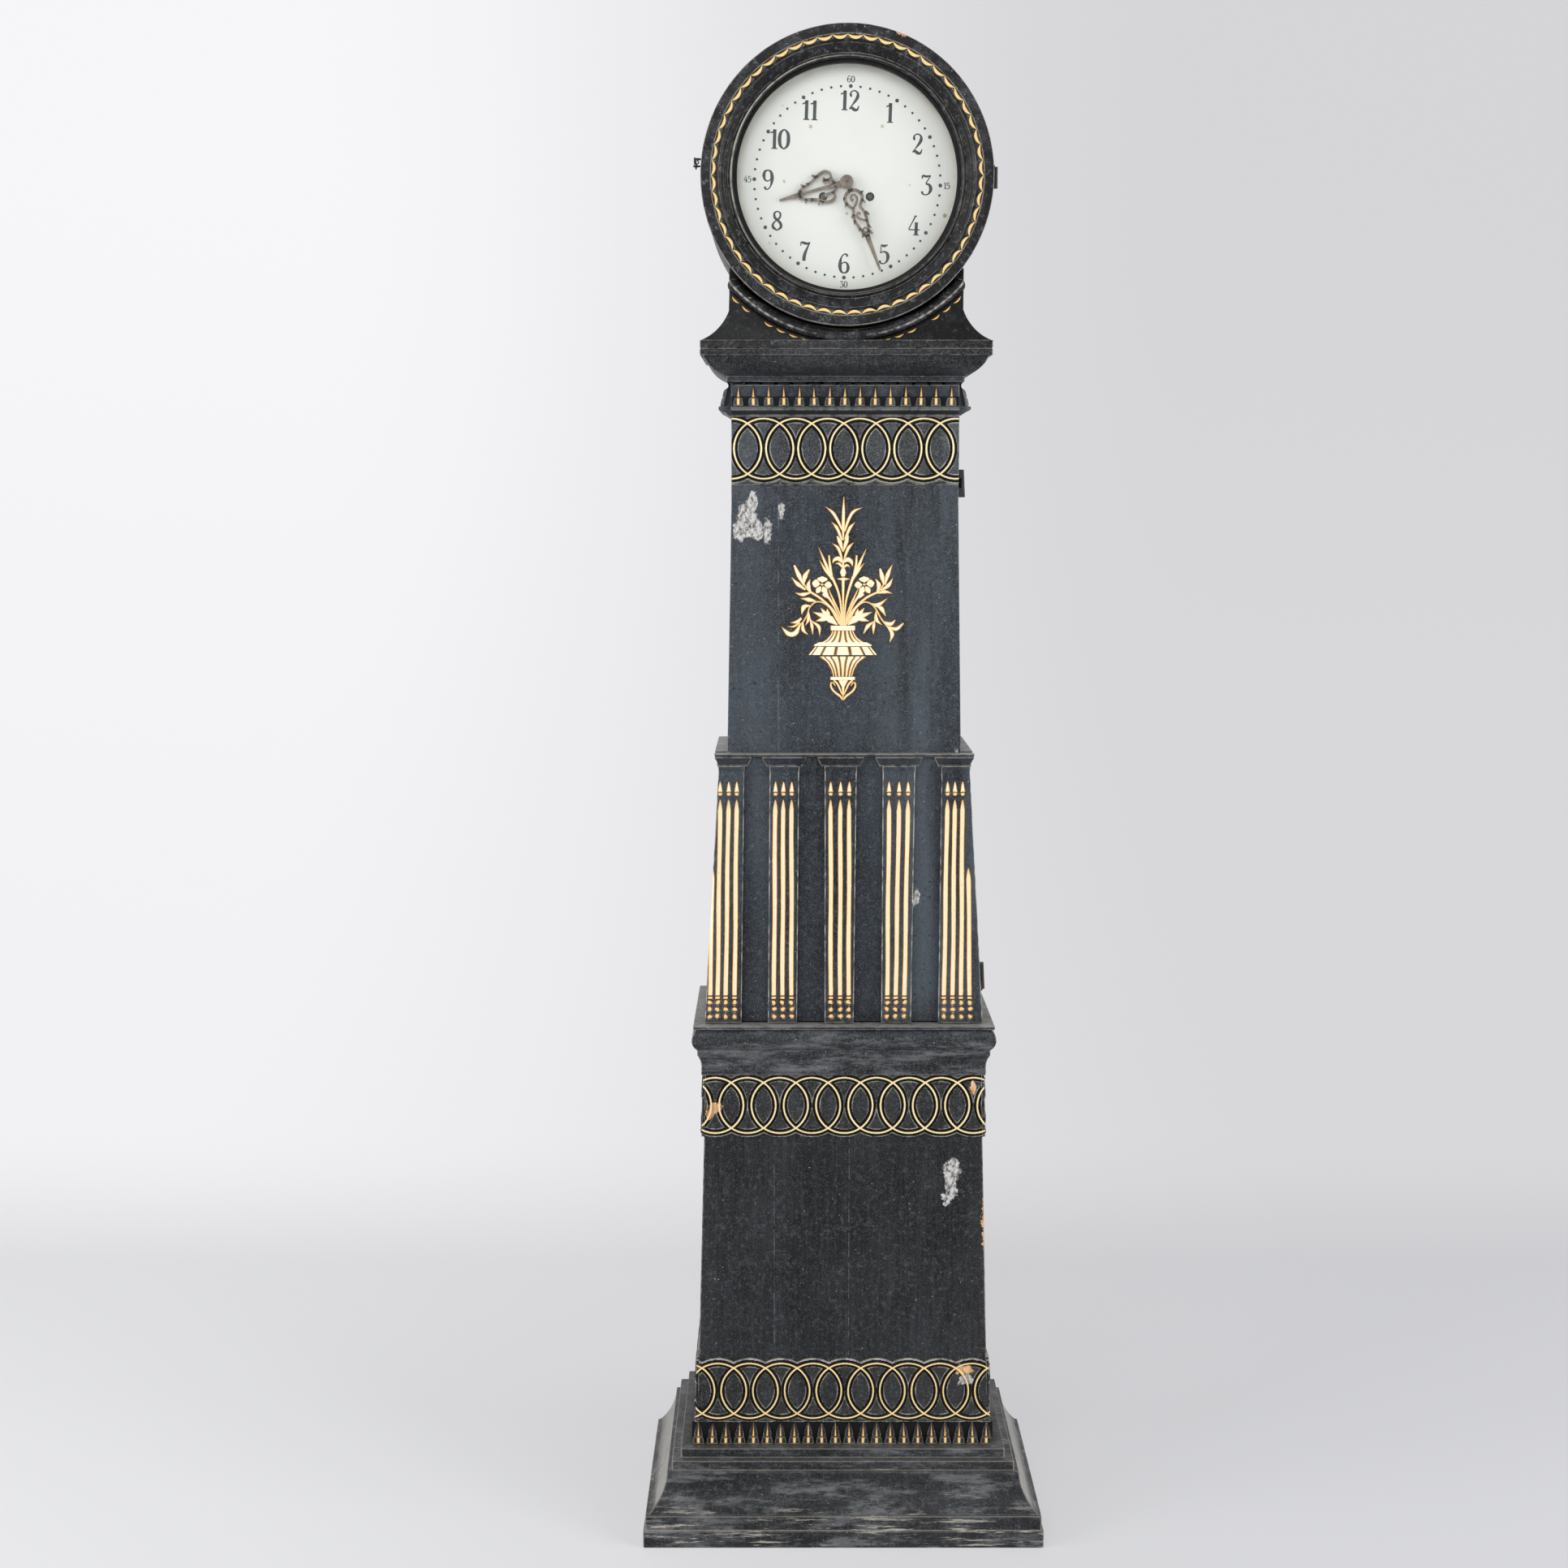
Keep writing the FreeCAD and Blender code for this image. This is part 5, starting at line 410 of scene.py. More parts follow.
    def dusted(self, brush: Brush, height: Socket, paint: Socket) -> Socket:
        """Specks, dust that has settled on the ledges, and a pale film on the plinth's sides that is partly
        dust and partly painted sheen.
        """
        specks = brush.ramp(brush.noise(300.0, 1.0), 0.755, 0.785, 0.8)
        paint = brush.mix(specks, paint, linear(158, 155, 150))
        turned, _, _ = brush.axes(brush.facing)
        side = brush.ramp(brush.math("ABSOLUTE", turned), 0.55, 0.85)
        dusty = brush.math("MAXIMUM", brush.ramp(height, 0.128, 0.118, 0.95), brush.math(
            "MULTIPLY", brush.ramp(height, 0.668, 0.674, 0.4), brush.ramp(height, 0.745, 0.740)))
        _, _, upward = brush.axes(brush.facing)
        settled = brush.math("MULTIPLY", brush.ramp(upward, 0.75, 0.97, 0.7),
                             brush.ramp(brush.noise(90.0, 5.0, rough=0.8), 0.25, 0.55))
        settled = brush.math("MULTIPLY", settled, brush.math("ADD", brush.ramp(height, 0.60, 0.70, 0.8), 0.2))
        paint = brush.mix(settled, paint, self.dust)
        # Paler film on the plinth's side-facing faces: partly dust, partly the sheen of the side lamps
        # painted in.
        dust_and_sheen = brush.math("MULTIPLY", brush.math("MULTIPLY", side, dusty),
                          brush.ramp(brush.noise(60.0, 5.0, (1.0, 0.4, 1.0), 0.7), 0.10, 0.50))
        paint = brush.mix(dust_and_sheen, paint, self.dust)
        return paint

    @staticmethod
    def cracks(brush: Brush, across: Socket, height: Socket, paint: Socket) -> Socket:
        """Fine upright joints between the boards, showing through the paint here and there."""
        for place, floor, top in ((-92.3, 1.123, 1.495), (-98.3, 0.255, 0.578), (8.4, 0.255, 0.578)):
            away = brush.math("ABSOLUTE", brush.math("SUBTRACT", across, place * MM))
            line = brush.math("MULTIPLY", brush.ramp(away, 0.0008, 0.0002, 0.5),
                              brush.ramp(brush.noise(60.0, 3.0, (0.2, 0.2, 1.0)), 0.42, 0.6))
            span = brush.math("MULTIPLY", brush.math("GREATER_THAN", height, floor),
                              brush.math("LESS_THAN", height, top))
            paint = brush.mix(brush.math("MULTIPLY", line, span), paint, linear(120, 124, 132))
        return paint

    @staticmethod
    def edge_wear(brush: Brush, height: Socket, rub: Socket, painted_shade: Socket) -> Socket:
        """Mask of the paint rubbed off sharp edges and raised carving, and of the painted highlights that a
        positive rub stands for.
        """
        edge = brush.ramp(brush.edges(0.0017), 0.012, 0.10)
        patchy = brush.ramp(brush.noise(75.0, 5.0, rough=0.72), 0.36, 0.56, 0.95)
        low_edges = brush.math("MAXIMUM", patchy, brush.ramp(height, 0.130, 0.124, 0.85))
        worn_edge = brush.math("MULTIPLY", edge,
                               brush.math("MULTIPLY", low_edges, brush.math("SUBTRACT", 1.0, painted_shade)))
        # Positive rub: rubbed carving, and in places a painted highlight, both drawn in the worn colour.
        ridge = brush.math("MULTIPLY", brush.ramp(rub, 0.04, 0.8), brush.ramp(patchy, -0.5, 0.9))
        return brush.math("MAXIMUM", worn_edge, ridge)

    @staticmethod
    def scuffs(brush: Brush, height: Socket) -> Socket:
        """Mask of the horizontal scuffs on the plinth, thickest at its foot."""
        foot = brush.ramp(height, 0.128, 0.118)
        fibre = brush.noise(62.0, 7.0, (0.16, 0.5, 2.2), 0.78)
        strong = brush.ramp(fibre, 0.545, 0.61, 0.95)
        light = brush.ramp(fibre, 0.59, 0.69, 0.5)
        low = brush.ramp(height, 0.070, 0.030)
        found = brush.math("MAXIMUM", brush.math("MULTIPLY", strong, low), light)
        ledge = brush.math("MULTIPLY", brush.ramp(height, 0.666, 0.672, 0.8),
                           brush.ramp(height, 0.746, 0.742))
        return brush.math("MULTIPLY", found, brush.math("MAXIMUM", foot, ledge))


@dataclass(frozen=True)
class GoldLeaf:
    """Gilding of the raised lines and scallops, brown where it turns to its sides."""

    gold: tuple = linear(250, 228, 172)
    deep: tuple = linear(247, 212, 138)
    edge: tuple = linear(150, 96, 42)

    def build(self) -> bpy.types.Material:
        """Makes the material."""
        brush = Brush("gold_leaf")
        _, _, height = brush.axes(brush.place)
        low = brush.ramp(height, 0.40, 0.30, 0.6)
        high = brush.ramp(height, 1.68, 1.70, 0.8)
        leaf = brush.mix(brush.math("MAXIMUM", low, high), self.gold, self.deep)
        leaf = brush.mix(brush.ramp(brush.noise(120.0, 4.0), 0.5, 0.72, 0.45), leaf, self.deep)
        _, out, _ = brush.axes(brush.facing)
        turned = brush.ramp(brush.math("ABSOLUTE", out), 0.62, 0.20, 0.95)
        colour = brush.mix(turned, leaf, self.edge)
        missing = brush.ramp(brush.noise(240.0, 3.0), 0.72, 0.76, 0.8)
        colour = brush.mix(missing, colour, linear(70, 50, 34))
        brush.bump(brush.noise(500.0, 2.0), 0.0003, 0.4)
        return brush.finish(colour, 0.42, Metallic=0.25)


@dataclass(frozen=True)
class DialPaint:
    """Off-white painted dial with darker rim, stains and rust specks."""

    paint: tuple = linear(221, 223, 216)
    aged: tuple = linear(202, 201, 188)
    stain: tuple = linear(160, 130, 84)
    spots: tuple = ((-48.5, 1973.0, 3.4, 0.8), (47.5, 1973.0, 3.6, 0.6), (-84.0, 1901.0, 3.0, 0.7),
                    (85.0, 1896.0, 2.6, 0.35), (133.0, 1856.0, 4.0, 0.95), (0.6, 1859.0, 2.8, 0.7),
                    (-104.0, 1820.0, 2.6, 0.35), (-86.0, 2000.0, 2.0, 0.4), (-136.0, 1848.0, 2.4, 0.7))

    def build(self) -> bpy.types.Material:
        """Makes the material."""
        brush = Brush("dial_paint_aged")
        x, _, z = brush.axes(brush.place)
        up = brush.math("SUBTRACT", z, HEAD_Z * MM)
        radius = brush.math("POWER", brush.math("ADD", brush.math("MULTIPLY", x, x),
                                                brush.math("MULTIPLY", up, up)), 0.5)
        rim = brush.ramp(radius, 0.128, 0.150, 0.55)
        cloud = brush.ramp(brush.noise(14.0, 4.0), 0.45, 0.75, 0.5)
        colour = brush.mix(rim, self.paint, self.aged)
        colour = brush.mix(cloud, colour, linear(214, 215, 206))
        brown = brush.ramp(radius, 0.138, 0.152, 0.35)
        colour = brush.mix(brush.math("MULTIPLY", brown, brush.ramp(brush.noise(30.0, 4.0), 0.4, 0.6)),
                           colour,
                           linear(170, 152, 116))
        spots = brush.ramp(brush.noise(55.0, 5.0, rough=0.75), 0.735, 0.78, 0.45)
        colour = brush.mix(spots, colour, self.stain)
        shake = brush.vector("MULTIPLY", brush.noise(260.0, 4.0, colour=True), (0.004, 0.0, 0.004)).outputs[0]
        place = brush.vector("ADD", brush.place, shake).outputs[0]
        for spot in self.spots:
            away = brush.vector("SUBTRACT", place,
                                (spot[0] * MM + 0.002, 0.0, spot[1] * MM + 0.002)).outputs[0]
            flat = brush.vector("MULTIPLY", away, (1.0, 0.0, 1.0)).outputs[0]
            reach = brush.node("ShaderNodeVectorMath", operation="LENGTH")
            brush.feed(reach.inputs[0], flat)
            mark = brush.ramp(reach.outputs["Value"], spot[2] * MM, spot[2] * MM * 0.3, spot[3])
            colour = brush.mix(mark, colour, self.stain)
        brush.bump(brush.noise(300.0, 2.0), 0.0002, 0.25)
        return brush.finish(colour, 0.45)


@dataclass(frozen=True)
class Metal:
    """A plain metal with cloudy tarnish and fine scratches."""

    name: str
    clean: tuple
    tarnish: tuple
    roughness: float
    metallic: float = 1.0
    bare_before: float | None = None

    def build(self) -> bpy.types.Material:
        """Makes the material."""
        brush = Brush(self.name)
        cloud = brush.ramp(brush.noise(90.0, 5.0, rough=0.65), 0.38, 0.66)
        spots = brush.ramp(brush.noise(420.0, 3.0), 0.56, 0.66, 0.6)
        colour = brush.mix(cloud, self.clean, self.tarnish)
        colour = brush.mix(spots, colour, self.tarnish)
        if self.bare_before is not None:
            _, depth, _ = brush.axes(brush.place)
            ends = brush.math("LESS_THAN", depth, self.bare_before)
            colour = brush.mix(ends, colour, linear(74, 70, 66))
        brush.bump(brush.noise(600.0, 2.0, (1, 1, 0.2)), 0.0002, 0.3)
        return brush.finish(colour, self.roughness, Metallic=self.metallic)


@dataclass(frozen=True)
class BareWood:
    """Unpainted pine inside the case, darkened by age."""

    pale: tuple = linear(156, 122, 88)
    dark: tuple = linear(122, 91, 63)

    def build(self) -> bpy.types.Material:
        """Makes the material."""
        brush = Brush("bare_pine")
        rings = brush.ramp(brush.noise(52.0, 6.0, (1, 1, 0.05), 0.65), 0.32, 0.68)
        fibre = brush.ramp(brush.noise(700.0, 2.0, (1, 1, 0.03)), 0.4, 0.7, 0.5)
        colour = brush.mix(rings, self.pale, self.dark)
        colour = brush.mix(fibre, colour, self.dark)
        brush.bump(brush.noise(500.0, 2.0, (1, 1, 0.05)), 0.0004, 0.5)
        return brush.finish(colour, 0.8)


@dataclass(frozen=True)
class Ink:
    """Black of the dial's numbers and dots, a little worn."""

    def build(self) -> bpy.types.Material:
        """Makes the material."""
        brush = Brush("dial_black")
        worn = brush.ramp(brush.noise(420.0, 3.0), 0.62, 0.76, 0.4)
        return brush.finish(brush.mix(worn, linear(14, 20, 28), linear(70, 78, 84)), 0.5)


@dataclass(frozen=True)
class Pane:
    """Thin old window glass."""

    def build(self) -> bpy.types.Material:
        """Makes the material."""
        brush = Brush("old_glass")
        brush.bump(brush.noise(9.0, 2.0), 0.0006, 0.2)
        dust = brush.ramp(brush.noise(300.0, 3.0), 0.5, 0.8, 0.01)
        brush.feed(brush.shader.inputs["Alpha"], brush.math("ADD", dust, 0.03))
        return brush.finish(linear(235, 240, 238), 0.06, Specular_IOR_Level=0.12)


@dataclass(frozen=True)
class Gut:
    """Twisted gut line."""

    def build(self) -> bpy.types.Material:
        """Makes the material."""
        brush = Brush("gut_line")
        twist = brush.ramp(brush.noise(900.0, 2.0), 0.4, 0.6)
        brush.bump(brush.noise(900.0, 1.0), 0.0003, 0.6)
        return brush.finish(brush.mix(twist, linear(176, 148, 104), linear(128, 98, 62)), 0.6)


@dataclass
class Finishes:
    """Every finish of the clock, made once."""

    def __post_init__(self) -> None:
        """Builds the materials."""
        self.paint = CasePaint().build()
        self.leaf = GoldLeaf().build()
        self.dial = DialPaint().build()
        self.ink = Ink().build()
        self.glass = Pane().build()
        self.wood = BareWood().build()
        self.gut = Gut().build()
        self.brass = Metal("aged_brass", linear(196, 160, 92), linear(128, 98, 54), 0.34, 1.0, -0.052).build()
        self.iron = Metal("blackened_iron", linear(34, 34, 36), linear(56, 51, 48), 0.55, 0.3).build()
        self.steel = Metal("worn_steel", linear(150, 150, 150), linear(92, 90, 88), 0.36).build()
        self.hand = Metal("hand_metal", linear(128, 115, 100), linear(88, 72, 56), 0.5, 0.35).build()
        self.by_slot = {"black_wood": self.paint, "gilded_wood": self.paint, "bare_wood": self.wood,
                        "brass": self.brass, "iron": self.iron, "steel": self.steel,
                        "dial_paint": self.dial, "glass": self.glass, "gut": self.gut}


def tidy_mesh(mesh: bpy.types.Mesh, angle: float = 38.0) -> None:
    """Turns the faces of a closed mesh outwards and shades it, sharp above an angle."""
    work = bmesh.new()
    work.from_mesh(mesh)
    bmesh.ops.recalc_face_normals(work, faces=work.faces)
    work.to_mesh(mesh)
    work.free()
    mesh.shade_smooth()
    mesh.set_sharp_from_angle(angle=math.radians(angle))


def make_mesh(name: str, points: Array, faces: Sequence[Sequence[int]],
              marks: dict[str, Array] | None = None, angle: float = 38.0) -> bpy.types.Mesh:
    """Mesh from points in millimetres, with float attributes at its points.

    Args:
        name: Name of the mesh.
        points: Rows of x, y, z.
        faces: Rows of point indices.
        marks: Values at the points, by attribute name.
        angle: Angle in degrees above which an edge is sharp.

    Returns:
        The mesh, in metres.
    """
    mesh = bpy.data.meshes.new(name)
    mesh.from_pydata((points * MM).tolist(), [], [tuple(face) for face in faces])
    for key, values in (marks or {}).items():
        mesh.attributes.new(key, "FLOAT", "POINT").data.foreach_set("value", values.astype(np.float32))
    tidy_mesh(mesh, angle)
    return mesh


def add_piece(mesh: bpy.types.Mesh, name: str, body: str, slot: str, *materials: bpy.types.Material,
              nodes: Sequence[str] = ()) -> bpy.types.Object:
    """Puts a finished mesh into the scene as a piece that rides on a body.

    Args:
        mesh: The mesh, in metres, in the frame's place.
        name: Name of the piece.
        body: The body that it rides on.
        slot: The record's material slot; not used.
        materials: Finishes, first the main one.
        nodes: CAD nodes that the piece stands for.

    Returns:
        The object.
    """
    piece = bpy.data.objects.new(name, mesh)
    bpy.context.scene.collection.objects.link(piece)
    mesh.materials.clear()
    for material in materials:
        mesh.materials.append(material)
    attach(piece, body)
    if nodes:
        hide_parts(*nodes)
    LOG.info("%s: %d faces on %s", name, len(mesh.polygons), body)
    return piece


def joined(meshes: Sequence[bpy.types.Mesh], name: str) -> bpy.types.Mesh:
    """One mesh out of several, attributes kept."""
    whole = bmesh.new()
    for mesh in meshes:
        whole.from_mesh(mesh)
    mesh = bpy.data.meshes.new(name)
    whole.to_mesh(mesh)
    whole.free()
    mesh.shade_smooth()
    mesh.set_sharp_from_angle(angle=math.radians(38.0))
    return mesh


def carved(name: str, u: Array, v: Array, w: Array, lay: Lay, sunk: float | None,
           gilt: Array | None = None, angle: float = 50.0, rub: Array | None = None) -> bpy.types.Mesh:
    """Closed slab whose face is a grid raised by a carving.

    Args:
        name: Name of the mesh.
        u: Grid of places across, rows by columns.
        v: Grid of places up.
        w: Height of the carving out of the surface.
        lay: Turns u, v and w into a place.
        sunk: Height of the slab's back, or None where the columns close into a ring.
        gilt: Depth inside the gilding, below nought on paint.
        angle: Angle in degrees above which an edge is sharp.
        rub: How worn the paint is; above nought it also carries painted highlights in places, and below
            nought painted shade that darkens the paint.

    Returns:
        The mesh, with the attributes gilt and rub.
    """
    rows, columns = u.shape
    face = np.stack(lay(u, v, w), -1).reshape(-1, 3)
    index = np.arange(rows * columns).reshape(rows, columns)
    rub = np.zeros_like(w) if rub is None else rub
    gold = np.full(w.shape, -1.0) if gilt is None else gilt
    if sunk is None:
        index = np.vstack([np.hstack([index, index[:, :1]]), np.append(index[0], index[0, 0])])
    quads = np.stack([index[:-1, :-1], index[:-1, 1:], index[1:, 1:], index[1:, :-1]], -1)
    faces = quads.reshape(-1, 4).tolist()
    if sunk is None:
        return make_mesh(name, face, faces, {"gilt": gold.ravel(), "rub": rub.ravel()}, angle)
    border = np.concatenate([index[0, :-1], index[:-1, -1], index[-1, :0:-1], index[:0:-1, 0]])
    count, rim = rows * columns, len(border)
    back = np.stack(lay(u.ravel()[border], v.ravel()[border], np.full(rim, sunk)), -1)
    for step in range(rim):
        after = (step + 1) % rim
        faces.append((border[step], count + step, count + after, border[after]))
    faces.append(tuple(range(count, count + rim)))
    none = np.full(rim, -1.0)
    marks = {"gilt": np.append(gold.ravel(), none), "rub": np.append(rub.ravel(), none * 0)}
    return make_mesh(name, np.vstack([face, back]), faces, marks, angle)


def stack_faces(start: int, rows: int) -> list[tuple[int, ...]]:
    """Faces of a moulding made of rows of four corners, with its foot and its top.

    Args:
        start: Index of the first row's first corner.
        rows: Number of rows.

    Returns:
        Corner indices of the faces.
    """
    faces = []
    for row in range(start, start + 4 * (rows - 1), 4):
        for i in range(4):
            j = (i + 1) % 4
            faces.append((row + i, row + j, row + 4 + j, row + 4 + i))
    top = start + 4 * (rows - 1)
    return faces + [tuple(range(start, start + 4)), tuple(range(top, top + 4))]


def grid(u_low: float, u_high: float, v_low: float, v_high: float, step: float) -> tuple[Array, Array]:
    """Even grid between two pairs of limits."""
    across = np.linspace(u_low, u_high, max(3, int((u_high - u_low) / step) + 1))
    up = np.linspace(v_low, v_high, max(3, int((v_high - v_low) / step) + 1))
    return np.meshgrid(across, up)


@dataclass(frozen=True)
class Stroke:
    """One carved or drawn stroke: points that it passes, and its widths from start to end."""

    points: tuple[tuple[float, float], ...]
    widths: tuple[float, ...]
    rise: float = 1.0

    def path(self, per_span: int) -> tuple[Array, Array]:
        """Smooth line through the points, and the width along it."""
        known = np.array(self.points, float)
        ends = np.vstack([2 * known[0] - known[1], known, 2 * known[-1] - known[-2]])
        line = []
        for k in range(len(known) - 1):
            a, b, c, d = ends[k:k + 4]
            last = k == len(known) - 2
            for t in np.linspace(0, 1, per_span + 1)[:None if last else -1]:
                line.append(0.5 * (2 * b + (c - a) * t + (2 * a - 5 * b + 4 * c - d) * t * t
                                   + (3 * b - a - 3 * c + d) * t ** 3))
        line = np.array(line)
        run = np.append(0, np.cumsum(np.hypot(*np.diff(line, axis=0).T)))
        spots = np.linspace(0, run[-1], len(self.widths))
        return line, np.interp(run, spots, self.widths)


def ribbon(name: str, strokes: Sequence[Stroke], lay: Lay, rise: float, sunk: float,
           per_span: int = 6, crown: bool = True) -> bpy.types.Mesh:
    """Closed ribbons along strokes, crowned like carving or flat like metal or print.

    Args:
        name: Name of the mesh.
        strokes: The strokes.
        lay: Turns places on the surface into space.
        rise: Height of a stroke's middle.
        sunk: Height of its underside.
        per_span: Steps between two points of a stroke.
        crown: Whether the section is rounded.

    Returns:
        One mesh with the attribute gilt.
    """
    share = np.array([-1.0, -0.6, 0.0, 0.6, 1.0])
    lift = np.array([0.15, 0.75, 1.0, 0.75, 0.15]) if crown else np.ones(5)
    around, rim = len(share) + 2, 0.12
    points, faces, gilt = [], [], []
    for stroke in strokes:
        line, width = stroke.path(per_span)
        along = np.gradient(line, axis=0)
        along /= np.maximum(np.hypot(*along.T), 1e-9)[:, None]
        out = np.stack([along[:, 1], -along[:, 0]], -1)
        start, count = len(points), len(line)
        for k in range(count):
            half = width[k] / 2
            for s, h in zip(share, lift):
                points.append((*(line[k] + out[k] * half * s), rise * stroke.rise * h))
                gilt.append(rim + (1 - abs(s)) * half)
            for s in (1.0, -1.0):
                points.append((*(line[k] + out[k] * half * s), sunk))
                gilt.append(rim)
        last = start + around * (count - 1)
        for row in range(start, last, around):
            for i in range(around):
                j, after = (i + 1) % around, row + around
                faces.append((row + i, row + j, after + j, after + i))
        faces.append(tuple(range(start, start + around)))
        faces.append(tuple(range(last + around - 1, last - 1, -1)))
    flat = np.array(points)
    placed = np.stack(lay(flat[:, 0], flat[:, 1], flat[:, 2]), -1)
    values = np.array(gilt)
    return make_mesh(name, placed, faces, {"gilt": values, "rub": values * 0}, 50.0)


class Growth:
    """Geometry Nodes trees for what repeats: built once, their results turned into meshes."""

    def __init__(self) -> None:
        """Builds both trees."""
        self.chain, self.chain_in = self.ring_chain()
        self.spread, self.spread_in = self.repeat_on_points()

    @staticmethod
    def start(name: str, inputs: Sequence[tuple[str, str]]) -> tuple:
        """Empty tree with named inputs; returns it, its nodes and the inputs' identifiers."""
        tree = bpy.data.node_groups.new(name, "GeometryNodeTree")
        sockets = tree.interface
        sockets.new_socket(name="Geometry", in_out="OUTPUT", socket_type="NodeSocketGeometry")
        names = {}
        for label, kind in inputs:
            made = sockets.new_socket(name=label, in_out="INPUT", socket_type="NodeSocket" + kind)
            names[label] = made.identifier
        return tree, tree.nodes.new("NodeGroupInput"), tree.nodes.new("NodeGroupOutput"), names

    def ring_chain(self) -> tuple[bpy.types.NodeTree, dict[str, str]]:
        """Overlapping rings in a row, each a raised line of a given width and height."""
        tree, given, result, names = self.start("ring_chain", [
            ("Rings", "Int"), ("First", "Vector"), ("Pitch", "Vector"), ("Radius", "Float"),
            ("Line Width", "Float"), ("Line Height", "Float"), ("Wobble", "Float"),
            ("Seed", "Int"), ("Finish", "Material")])
        add, link = tree.nodes.new, tree.links.new
        line = add("GeometryNodeMeshLine")
        link(given.outputs["Rings"], line.inputs["Count"])
        link(given.outputs["First"], line.inputs["Start Location"])
        link(given.outputs["Pitch"], line.inputs["Offset"])
        circle = add("GeometryNodeCurvePrimitiveCircle")
        circle.inputs["Resolution"].default_value = 96
        link(given.outputs["Radius"], circle.inputs["Radius"])
        placed = add("GeometryNodeInstanceOnPoints")
        placed.inputs["Rotation"].default_value = (math.pi / 2, 0, 0)
        link(line.outputs["Mesh"], placed.inputs["Points"])
        link(circle.outputs["Curve"], placed.inputs["Instance"])
        real = add("GeometryNodeRealizeInstances")
        link(placed.outputs["Instances"], real.inputs["Geometry"])
        hand = add("ShaderNodeTexNoise")
        hand.noise_dimensions = "4D"
        hand.inputs["Scale"].default_value = 38.0
        link(given.outputs["Seed"], hand.inputs["W"])
        centred = add("ShaderNodeVectorMath")
        centred.operation = "SUBTRACT"
        centred.inputs[1].default_value = (0.5, 0.5, 0.5)
        link(hand.outputs["Color"], centred.inputs[0])
        sized = add("ShaderNodeVectorMath")
        sized.operation = "SCALE"
        link(centred.outputs[0], sized.inputs[0])
        link(given.outputs["Wobble"], sized.inputs["Scale"])
        moved = add("GeometryNodeSetPosition")
        link(real.outputs["Geometry"], moved.inputs["Geometry"])
        link(sized.outputs[0], moved.inputs["Offset"])
        section = add("GeometryNodeCurvePrimitiveCircle")
        section.inputs["Resolution"].default_value = 10
        section.inputs["Radius"].default_value = 0.5
        shaped = add("GeometryNodeTransform")
        size = add("ShaderNodeCombineXYZ")
        link(given.outputs["Line Width"], size.inputs["X"])
        link(given.outputs["Line Height"], size.inputs["Y"])
        size.inputs["Z"].default_value = 1.0
        link(section.outputs["Curve"], shaped.inputs["Geometry"])
        link(size.outputs[0], shaped.inputs["Scale"])
        swept = add("GeometryNodeCurveToMesh")
        link(moved.outputs["Geometry"], swept.inputs["Curve"])
        link(shaped.outputs["Geometry"], swept.inputs["Profile Curve"])
        self.close(tree, swept.outputs["Mesh"], given, result)
        return tree, names

    def repeat_on_points(self) -> tuple[bpy.types.NodeTree, dict[str, str]]:
        """A unit repeated on points, turned and sized by their attributes, slightly uneven."""
        tree, given, result, names = self.start("repeat_on_points", [
            ("Points", "Geometry"), ("Unit", "Object"), ("Uneven Turn", "Float"),
            ("Uneven Size", "Float"), ("Seed", "Int"), ("Finish", "Material")])
        add, link = tree.nodes.new, tree.links.new
        unit = add("GeometryNodeObjectInfo")
        link(given.outputs["Unit"], unit.inputs["Object"])
        fields = {}
        for key in ("turn", "size"):
            fields[key] = add("GeometryNodeInputNamedAttribute")
            fields[key].data_type = "FLOAT_VECTOR"
            fields[key].inputs["Name"].default_value = key
        chance = {}
        for key, label in (("turn", "Uneven Turn"), ("size", "Uneven Size")):
            drawn = add("FunctionNodeRandomValue")
            drawn.data_type = "FLOAT_VECTOR"
            drawn.inputs[0].default_value = (-1, -1, -1)
            drawn.inputs[1].default_value = (1, 1, 1)
            link(given.outputs["Seed"], drawn.inputs["Seed"])
            sized = add("ShaderNodeVectorMath")
            sized.operation = "SCALE"
            link(drawn.outputs[0], sized.inputs[0])
            link(given.outputs[label], sized.inputs["Scale"])
            total = add("ShaderNodeVectorMath")
            total.operation = "ADD"
            link(fields[key].outputs["Attribute"], total.inputs[0])
            link(sized.outputs[0], total.inputs[1])
            chance[key] = total.outputs[0]
        turned = add("FunctionNodeEulerToRotation")
        link(chance["turn"], turned.inputs[0])
        placed = add("GeometryNodeInstanceOnPoints")
        link(given.outputs["Points"], placed.inputs["Points"])
        link(unit.outputs["Geometry"], placed.inputs["Instance"])
        link(turned.outputs[0], placed.inputs["Rotation"])
        link(chance["size"], placed.inputs["Scale"])
        self.close(tree, placed.outputs["Instances"], given, result)
        return tree, names

    @staticmethod
    def close(tree: bpy.types.NodeTree, geometry: Socket, given: bpy.types.Node,
              result: bpy.types.Node) -> None:
        """Ends a tree: instances made real, and the finish set."""
        real = tree.nodes.new("GeometryNodeRealizeInstances")
        painted = tree.nodes.new("GeometryNodeSetMaterial")
        tree.links.new(geometry, real.inputs["Geometry"])
        tree.links.new(real.outputs["Geometry"], painted.inputs["Geometry"])
        tree.links.new(given.outputs["Finish"], painted.inputs["Material"])
        tree.links.new(painted.outputs["Geometry"], result.inputs[0])

    @staticmethod
    def grown(name: str, base: bpy.types.Mesh, tree: bpy.types.NodeTree, names: dict[str, str],
              values: dict[str, object]) -> bpy.types.Mesh:
        """Result of a tree as a plain mesh."""
        holder = bpy.data.objects.new(name, base)
        bpy.context.scene.collection.objects.link(holder)
        modifier = holder.modifiers.new("growth", "NODES")
        modifier.node_group = tree
        for label, value in values.items():
            modifier[names[label]] = value
        bpy.context.view_layer.update()
        graph = bpy.context.evaluated_depsgraph_get()
        mesh = bpy.data.meshes.new_from_object(holder.evaluated_get(graph))
        holder.modifiers.clear()
        bpy.data.objects.remove(holder)
        mesh.name = name
        return mesh

